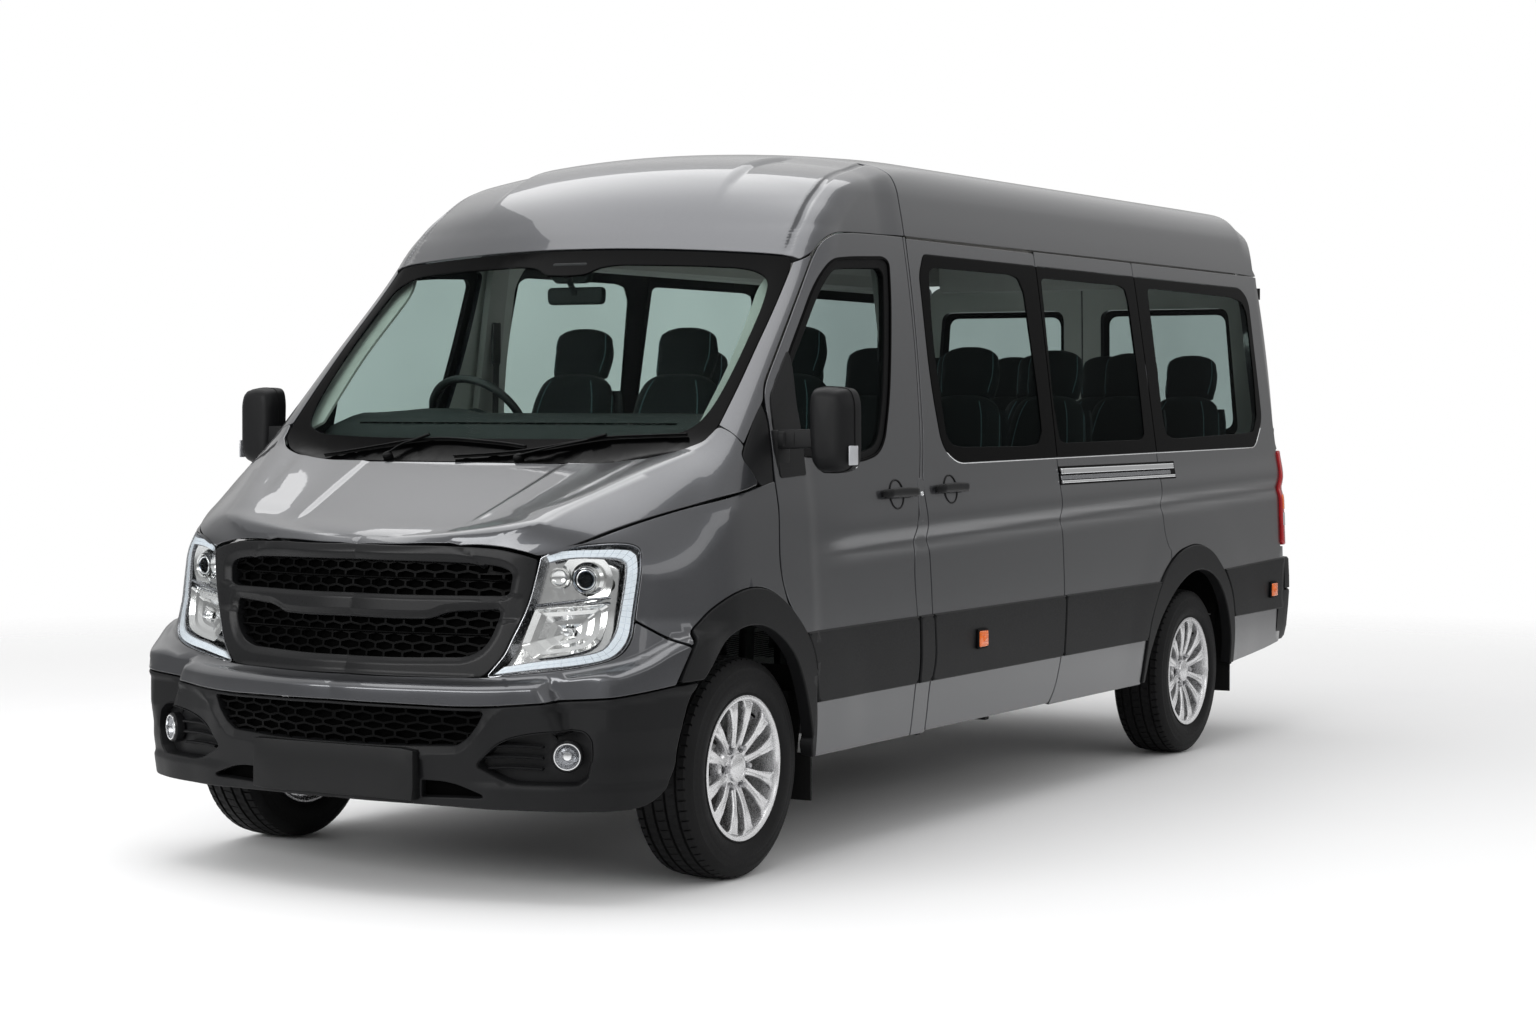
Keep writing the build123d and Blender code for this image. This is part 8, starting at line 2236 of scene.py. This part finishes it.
def seat_frames(tag, units, zf, tall=0.0, foot=None):
    """seat base, pedestal legs with their foot bars, back shells and head-rest posts. unit: (x, y, width, heads)"""
    fr_ = []; ft = zf if foot is None else foot
    for x, y, w, hd in units:
        h = w / 2
        fr_.append(rbox('f', (x + 0.045, y - h + 0.008, zf + 0.300), (x + 0.470, y + h - 0.008, zf + 0.345), M['plinth'], 0.010, 2))
        for k in range(hd):
            yc = y + (k - (hd - 1) / 2) * w / hd
            for s in (-1, 1):
                fr_.append(prism('f', [(x + 0.105, ft + 0.003, .01), (x + 0.165, ft + 0.003, .01), (x + 0.190, zf + 0.305, .01), (x + 0.130, zf + 0.305, .01)], 'y', yc + s * 0.125 - 0.014, yc + s * 0.125 + 0.014, M['plinth'], 0.004, 2))
                fr_.append(prism('f', [(x + 0.355, ft + 0.003, .01), (x + 0.415, ft + 0.003, .01), (x + 0.390, zf + 0.305, .01), (x + 0.330, zf + 0.305, .01)], 'y', yc + s * 0.125 - 0.014, yc + s * 0.125 + 0.014, M['plinth'], 0.004, 2))
                fr_.append(tube('f', [(x - 0.148, yc + s * 0.055, zf + 0.915 + tall), (x - 0.160, yc + s * 0.055, zf + 0.985 + tall)], 0.0065, M['plinth'], n=10))
            fr_.append(tube('f', [(x + 0.13, yc - 0.15, ft + 0.016), (x + 0.13, yc + 0.15, ft + 0.016)], 0.012, M['plinth'], n=10)); fr_.append(tube('f', [(x + 0.385, yc - 0.15, ft + 0.016), (x + 0.385, yc + 0.15, ft + 0.016)], 0.012, M['plinth'], n=10))
            # back shell
            rows = []
            for t in np.linspace(0.03, 0.93, 10):
                wy = (w / hd / 2 - 0.012) * (0.94 - 0.16 * max(0, (t - 0.72) / 0.28) ** 2); L = (0.60 + tall) * t
                cx = x - L * math.sin(LEAN); cz = zf + 0.362 + L * math.cos(LEAN); r = []
                for u in np.linspace(-1, 1, 11): r.append((cx - 0.046 + 0.010 * t - 0.006 * (1 - u * u), yc + u * wy, cz))
                for u in np.linspace(1, -1, 11): r.append((cx - 0.036 + 0.010 * t, yc + u * wy * 0.98, cz))
                rows.append(r)
            fr_.append(grid_mesh(rows, M['seat_side'], 'f', angle=50))
    return join_objs(tag + 'seat_frames', fr_)


ROWX = (-0.020, -0.820, -1.620, -2.330)
cab_units = [(1.085, -0.400, 0.44, 1), (1.085, 0.275, 0.90, 2)]
pas_units = []
for i, x in enumerate(ROWX):
    pas_units.append((x, 0.445, 0.84, 2)); pas_units.append((x, -0.560, 0.44, 1) if i < 3 else (x, -0.445, 0.84, 2))


def spots(units): return [(x, y + (k - (h - 1) / 2) * w / h, (w / h) / 0.43) for x, y, w, h in units for k in range(h)]


cp_ = seats('cab_', spots(cab_units), 0.605, 0.030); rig.replaces(cp_[0], 'cab_seats')
own(seat_frames('cab_', cab_units, 0.605, 0.030, 0.56), BODY, 'seat_fabric')
pp_ = seats('passenger_', spots(pas_units), 0.56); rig.replaces(pp_[0], 'passenger_seats')
own(seat_frames('passenger_', pas_units, 0.56), BODY, 'seat_fabric')

# ------------------------------------------------------------------ linings
trims = []
# windscreen pillar linings
pi = on(PIL, [(1.480, 0.745, 1.985, .01), (1.556, 0.715, 1.916), (1.783, 0.755, 1.683), (2.010, 0.755, 1.455), (2.035, 0.86, 1.36, .02), (2.00, 0.93, 1.34, .02), (1.888, 0.937, 1.490), (1.716, 0.899, 1.690), (1.537, 0.872, 1.868), (1.40, 0.85, 2.00, .01)])
ob = panel('tp1', PIL, pi, (), (0.03, 0.03), es=0.015, depth=0.010, lip=0.003, off=-0.034, mats=[M['headliner'], M['headliner']], r=0.01)
trims += [ob, mirror(ob, 'tp1r')]
# posts behind the front doors, light lining with a dark belt guide
for s in (1, -1):
    rows = []
    for z in np.linspace(0.60, 2.02, 16):
        y = float(SIDE_M.pts(np.array([[0.86, min(z, 2.03)]]))[0, 1]) - 0.060
        w = 0.075 - 0.012 * (z - 0.6)
        dx = 0.0
        rows.append([(0.865 + dx - w, s * y, z), (0.865 + dx - w * 0.9, s * (y - 0.022), z), (0.865 + dx, s * (y - 0.032), z), (0.865 + dx + w * 0.9, s * (y - 0.022), z), (0.865 + dx + w, s * y, z)])
    trims.append(grid_mesh(rows, M['headliner'], 'tp2', angle=50))
    y0 = float(SIDE_M.pts(np.array([[0.86, 1.72]]))[0, 1]) - 0.095
    trims.append(prism('tp3', [(s * y0 - 0.006, 1.64, .01), (s * y0 + 0.006, 1.64, .01), (s * y0 + 0.008, 1.80, .01), (s * y0 - 0.004, 1.80, .01)], 'x', 0.845, 0.895, M['plinth'], 0.003, 2))
    trims.append(tube('tp4', [(0.87, s * (y0 - 0.004), 1.74), (0.875, s * (y0 + 0.0), 1.40), (0.89, s * (y0 + 0.012), 1.05), (0.90, s * (y0 + 0.018), 0.75)], 0.020, M['plinth'], n=8, flat=0.08, up=(0, s, 0)))
own(join_objs('pillar_linings', trims), BODY, 'dash_plastic')

# ceiling: central duct panels and lamps
cl = []
for x0, x1 in ((0.95, 1.35), (-2.3, -1.5), (-1.4, -0.6), (-0.5, 0.4)):
    z = 2.245 if x0 < 0.8 else 2.150
    cl.append(prism('ce', [(x0, -0.23, .05), (x1, -0.23, .05), (x1, 0.23, .05), (x0, 0.23, .05)], 'z', z, z + 0.03, M['inner_dark'] if x0 > 0.8 else M['headliner'], 0.012, 3, 0.05, 0.03))
for x, y, z in ((0.70, 0.35, 2.235), (0.70, -0.35, 2.235), (0.0, 0.35, 2.235), (0.0, -0.35, 2.235), (-1.0, 0.35, 2.235), (-1.0, -0.35, 2.235), (-2.0, 0.35, 2.235), (-2.0, -0.35, 2.235)):
    cl.append(lathe('ce', [(0.035, 0.055), (0.0, 0.052), (-0.004, 0.046), (-0.006, 0.0)], Vector((x, y, z)), Vector((0, 0, 1)), M['lamp_cover'], 32))
rh = []
for y in np.linspace(-0.71, 0.71, 25):
    zt = float(ROOF.pts(ROOF.inv(np.array([[-2.70, y, 2.20]])))[0, 2]) - 0.012
    rh.append([(-2.728, y, 2.040), (-2.706, y, 2.026), (-2.678, y, 2.032), (-2.666, y, 2.056), (-2.652, y, zt - 0.035), (-2.648, y, zt - 0.012), (-2.664, y, zt - 0.016), (-2.694, y, zt - 0.075)])
cl.append(grid_mesh(rh, M['headliner'], 'rh', angle=50))
for s in (1, -1):
    rows = []
    for x in np.linspace(-2.55, 0.72, 30):
        a_, b_ = ROOF.pts(ROOF.inv(np.array([[x, 0.85, 2.105], [x, 0.85, 2.165]])))
        rows.append([(x, s * y, z) for y, z in ((0.838, 2.032), (0.814, 2.022), (0.800, 2.036), (a_[1] - 0.036, a_[2] - 0.010), (b_[1] - 0.028, b_[2] - 0.006), (b_[1] - 0.012, b_[2]), (a_[1] - 0.012, a_[2]))])
    cl.append(grid_mesh(rows, M['headliner'], 'rs', angle=50))
own(join_objs('ceiling_panels', cl), BODY, 'dash_plastic')

# floor covering and a ribbed rubber runner down the aisle
fl_ = [rbox('fl', (-2.72, -0.905, 0.561), (1.60, 0.905, 0.5665), M['carpet'], 0.002, 1)]
for i in range(14):
    fl_.append(rbox('fl', (-2.6, -0.30 + i * 0.045, 0.5660), (0.75, -0.285 + i * 0.045, 0.5690), M['rubber'], 0.001, 1))
own(join_objs('floor_covering', fl_), BODY, 'dash_plastic')

# interior mirror with its stem and sensor cover
im = [prism('im', [(-0.112, 1.833, .02), (0.112, 1.833, .02), (0.116, 1.893, .02), (-0.116, 1.893, .02)], 'x', 1.540, 1.568, M['dash'], 0.007, 3, 0.02, 0.008),
      prism('ig', [(-0.104, 1.840, .018), (0.104, 1.840, .018), (0.108, 1.886, .018), (-0.108, 1.886, .018)], 'x', 1.5375, 1.5405, M['mirror_glass'], 0.001, 1, 0.02, 0.008),
      tube('is', [(1.565, 0, 1.870), (1.590, 0, 1.900), (1.602, 0, 1.925)], [0.012, 0.010, 0.014], M['dash'], n=14)]
bsp = SCR.pts(np.array([[0.0, 1.955]]))[0]
im.append(prism('ib', [(-0.085, 1.930, .02), (-0.060, 1.905, .02), (0.060, 1.905, .02), (0.085, 1.930, .02), (0.070, 1.975, .01), (-0.070, 1.975, .01)], 'x', 1.565, 1.598, M['dash'], 0.008, 3))
own(join_objs('interior_mirror_unit', im), BODY, 'dash_plastic', 'interior_mirror')

# ------------------------------------------------------------------ under the hood, and the tank skin
def engine():
    obs = []
    obs.append(prism('e0', [(2.10, 0.50, .03), (2.62, 0.50, .03), (2.64, 0.60, .03), (2.62, 0.80, .03), (2.12, 0.86, .03), (2.09, 0.70, .03)], 'y', -0.17, 0.17, M['cast'], 0.018, 3, 0.03, 0.02))
    obs.append(prism('e1', [(2.12, 0.84, .02), (2.60, 0.79, .02), (2.59, 0.845, .03), (2.13, 0.90, .03)], 'y', -0.145, 0.145, M['alu'], 0.012, 3, 0.02, 0.02))
    obs.append(prism('e2', [(2.15, 0.905, .02), (2.56, 0.855, .02), (2.54, 0.895, .03), (2.17, 0.945, .03)], 'y', -0.125, 0.125, M['char'], 0.012, 3, 0.02, 0.02))
    for i in range(5):
        x = 2.21 + i * 0.075; z = 0.9445 - (x - 2.17) * 0.135
        obs.append(rbox('e3', (x, -0.095, z - 0.006), (x + 0.030, 0.095, z + 0.005), M['char_gloss'], 0.004, 2))
    for i in range(7):
        y = 0.172; x = 2.14 + i * 0.066
        obs.append(rbox('e4', (x, 0.168, 0.52), (x + 0.012, 0.182, 0.80), M['cast'], 0.003, 1)); obs.append(rbox('e4', (x, -0.182, 0.52), (x + 0.012, -0.168, 0.80), M['cast'], 0.003, 1))
    obs.append(prism('e5', [(2.13, 0.485, .02), (2.58, 0.485, .02), (2.56, 0.54, .02), (2.15, 0.54, .02)], 'y', -0.15, 0.15, M['chassis'], 0.012, 3))
    for (y, z, r) in ((0.0, 0.56, 0.085), (-0.12, 0.68, 0.045), (0.13, 0.66, 0.055), (0.02, 0.74, 0.040)):
        obs.append(lathe('e6', [(0.0, 0.0), (0.0, r - 0.006), (0.003, r), (0.010, r - 0.006), (0.017, r), (0.020, r - 0.006), (0.020, r * 0.5), (0.012, r * 0.45), (0.012, 0.0)], Vector((2.625, y, z)), Vector((1, 0, 0)), M['steel'], 40))
    # belt
    belt = [(2.638, -0.085, 0.56), (2.638, -0.05, 0.49), (2.638, 0.05, 0.49), (2.638, 0.085, 0.55), (2.638, 0.185, 0.65), (2.638, 0.13, 0.715), (2.638, 0.02, 0.780), (2.638, -0.13, 0.725), (2.638, -0.165, 0.67)]
    obs.append(tube('e7', [tuple(p) for p in curve(belt + [belt[0]], 60)], 0.008, M['rubber'], n=8, flat=0.4, up=(1, 0, 0)))
    # intake: air box, hose and manifold
    obs.append(prism('e8', [(2.24, 0.17, .03), (2.50, 0.17, .03), (2.50, 0.295, .03), (2.24, 0.295, .03)], 'z', 0.80, 0.93, M['char'], 0.015, 3))
    obs.append(tube('e9', [(2.26, 0.23, 0.90), (2.18, 0.20, 0.92), (2.13, 0.12, 0.925), (2.12, 0.02, 0.92)], [0.034, 0.033, 0.032, 0.032], M['rubber'], n=20, smooth_path=7))
    for i in range(4):
        x = 2.20 + i * 0.105
        obs.append(tube('ea', [(x, -0.10, 0.845), (x, -0.17, 0.85), (x, -0.215, 0.80), (x, -0.225, 0.72)], 0.020, M['alu'], n=16, smooth_path=6))
    obs.append(tube('eb', [(2.16, -0.228, 0.705), (2.56, -0.228, 0.690)], 0.034, M['alu'], n=24))
    # battery, bottles
    obs.append(rbox('ec', (2.28, -0.262, 0.76), (2.50, -0.245, 0.82), M['alu'], 0.006, 2))
    obs.append(lathe('ed', [(0.0, 0.0), (0.0, 0.045), (0.12, 0.045), (0.13, 0.030), (0.14, 0.022), (0.155, 0.022), (0.158, 0.0)], Vector((2.14, 0.235, 0.74)), Vector((0, 0, 1)), M['lamp_cover'], 32))
    return join_objs('engine_unit', obs)


own(engine(), BODY, 'engine_metal', 'engine_block')


def tank():
    obs = []
    obs.append(prism('t0', [(-0.195, 0.310, .03), (0.895, 0.310, .03), (0.895, 0.420, .03), (-0.195, 0.420, .03)], 'y', 0.490, 0.855, M['tank'], 0.020, 3, 0.03, 0.03))
    for x in (0.05, 0.62):
        obs.append(prism('t1', [(x, 0.3035, .005), (x + 0.035, 0.3035, .005), (x + 0.035, 0.4235, .005), (x, 0.4235, .005)], 'y', 0.4865, 0.8585, M['chassis'], 0.002, 1))
    for i in range(6):
        obs.append(rbox('t2', (-0.13 + i * 0.165, 0.53, 0.3045), (-0.08 + i * 0.165, 0.82, 0.312), M['tank'], 0.004, 2))
    return join_objs('fuel_tank_shell', obs)


own(tank(), BODY, 'tank_plastic', 'fuel_tank')

# ------------------------------------------------------------------ carried-over pieces: a surface for each slot
def box_of(n):
    try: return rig.box(n)
    except Exception: return None


SLOT_M = {'body_paint': 'paint', 'charcoal_plastic': 'char', 'clear_glass': 'glass_door', 'dark_glass': 'glass_side', 'seat_fabric': 'seat', 'chassis_black': 'chassis', 'dash_plastic': 'dash', 'engine_metal': 'alu',
          'steel': 'steel', 'tank_plastic': 'tank', 'lamp_clear': 'lens_clear', 'cast_metal': 'cast', 'flap_rubber': 'rubber', 'bright_trim': 'chrome', 'lamp_red': 'redlens', 'tyre_rubber': 'tyre', 'alloy': 'alloy'}
slot_of = {s['node']: s['material_slot'] for s in frame['record']['subparts']}
SPECIAL = {'chassis_floor': 'under', 'front_subframe': 'chassis'}
for nm in frame['nodes']:
    o = bpy.data.objects.get(nm)
    if o is None or o.type != 'MESH': continue
    m = M[SPECIAL.get(nm, SLOT_M[slot_of[nm]])]
    for i in range(len(o.material_slots)): o.material_slots[i].material = m

# ------------------------------------------------------------------ light, ground, world
def area(name, loc, aim, size, power, color=(1, 1, 1), sy=None):
    ld = bpy.data.lights.new(name, 'AREA'); ld.energy = power; ld.color = color; ld.shape = 'RECTANGLE'; ld.size = size; ld.size_y = sy or size
    o = link(bpy.data.objects.new(name, ld)); o.location = loc
    o.rotation_euler = (Vector(aim) - Vector(loc)).to_track_quat('-Z', 'Y').to_euler()
    o.visible_camera = False
    return o


def world():
    w = bpy.data.worlds.new('studio'); bpy.context.scene.world = w; w.use_nodes = True
    nt = w.node_tree; nt.nodes.clear()
    out = nt.nodes.new('ShaderNodeOutputWorld')
    mix = nt.nodes.new('ShaderNodeMixShader'); lp = nt.nodes.new('ShaderNodeLightPath')
    white = nt.nodes.new('ShaderNodeBackground'); white.inputs[0].default_value = (1, 1, 1, 1); white.inputs[1].default_value = 1.0
    soft = nt.nodes.new('ShaderNodeBackground'); soft.inputs[1].default_value = 0.85
    tc = nt.nodes.new('ShaderNodeTexCoord'); sep = nt.nodes.new('ShaderNodeSeparateXYZ'); ramp = nt.nodes.new('ShaderNodeValToRGB'); mr = nt.nodes.new('ShaderNodeMapRange')
    mr.inputs[1].default_value = -1; mr.inputs[2].default_value = 1; mr.inputs[3].default_value = 0; mr.inputs[4].default_value = 1
    nt.links.new(tc.outputs['Generated'], sep.inputs[0]); nt.links.new(sep.outputs[2], mr.inputs[0]); nt.links.new(mr.outputs[0], ramp.inputs[0])
    cr = ramp.color_ramp
    for p, c in ((0.0, .62), (0.44, .44), (0.50, .36), (0.56, .46), (0.64, .82), (0.80, 1.0), (1.0, 1.0)):
        if p == 0.0: e = cr.elements[0]; e.position = 0
        elif p == 1.0: e = cr.elements[-1]; e.position = 1
        else: e = cr.elements.new(p)
        e.color = (c, c, c, 1)
    nt.links.new(ramp.outputs[0], soft.inputs[0])
    nt.links.new(lp.outputs['Is Camera Ray'], mix.inputs[0]); nt.links.new(soft.outputs[0], mix.inputs[1]); nt.links.new(white.outputs[0], mix.inputs[2])
    nt.links.new(mix.outputs[0], out.inputs[0])


world()
sc = bpy.context.scene
sc.view_settings.view_transform = 'Standard'; sc.view_settings.look = 'None'; sc.view_settings.exposure = 0.0; sc.view_settings.gamma = 1.0
area('top', (0.8, -0.9, 6.5), (0.6, -0.3, 0.5), 7.5, 320, sy=6.5)
area('left', (0.5, 8.0, 3.6), (0.0, 0, 1.2), 9.0, 60, sy=1.6)
area('front', (8.5, -2.0, 3.2), (1.5, 0, 1.0), 5.0, 230, sy=2.4)
cab = area('cabin', (-0.9, 0.0, 1.30), (-0.9, 0.0, 2.5), 3.4, 7, sy=0.5); cab.visible_transmission = False; cab.visible_glossy = False
area('edge', (6.5, 7.5, 4.8), (1.5, 0.5, 1.2), 3.0, 20, sy=1.0)


def ground():
    n = 48; V = []; F = []
    for i in range(n + 1):
        for j in range(n + 1):
            x, y = -30 + 60 * i / n, -30 + 60 * j / n
            V.append((x, y, 0.0))
    for i in range(n):
        for j in range(n):
            a = i * (n + 1) + j; F.append((a, a + n + 1, a + n + 2, a + 1))
    m = bpy.data.materials.new('studio_floor'); m.use_nodes = True; nt = m.node_tree; nt.nodes.clear()
    out = nt.nodes.new('ShaderNodeOutputMaterial'); bs = nt.nodes.new('ShaderNodeBsdfPrincipled')
    ns = nt.nodes.new('ShaderNodeTexNoise'); ns.inputs['Scale'].default_value = 0.6; ns.inputs['Detail'].default_value = 2
    rp = nt.nodes.new('ShaderNodeValToRGB'); rp.color_ramp.elements[0].color = (0.84, 0.84, 0.845, 1); rp.color_ramp.elements[1].color = (0.87, 0.87, 0.87, 1)
    tc = nt.nodes.new('ShaderNodeTexCoord'); nt.links.new(tc.outputs['Object'], ns.inputs['Vector']); nt.links.new(ns.outputs[0], rp.inputs[0]); nt.links.new(rp.outputs[0], bs.inputs['Base Color'])
    bs.inputs['Roughness'].default_value = 0.55; bs.inputs['Specular IOR Level'].default_value = 0.25
    tr = nt.nodes.new('ShaderNodeBsdfTransparent'); mx = nt.nodes.new('ShaderNodeMixShader')
    vm = nt.nodes.new('ShaderNodeVectorMath'); vm.operation = 'LENGTH'; nt.links.new(tc.outputs['Object'], vm.inputs[0])
    mr = nt.nodes.new('ShaderNodeMapRange'); mr.inputs[1].default_value = 4.5; mr.inputs[2].default_value = 10.0; mr.inputs[3].default_value = 0; mr.inputs[4].default_value = 1
    nt.links.new(vm.outputs['Value'], mr.inputs[0]); nt.links.new(mr.outputs[0], mx.inputs[0])
    nt.links.new(bs.outputs[0], mx.inputs[1]); nt.links.new(tr.outputs[0], mx.inputs[2]); nt.links.new(mx.outputs[0], out.inputs[0])
    o = mesh_from('studio_ground', V, F, [m], smooth=False)
    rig.stage(o)


ground()
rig.stage(*[o for o in bpy.data.objects if o.type == 'LIGHT'])

NOW = [list(map(float, p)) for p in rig.bounds()]
with open('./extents.json', 'w') as fh:
    json.dump({'cad': CAD_BOX, 'visual': NOW}, fh)
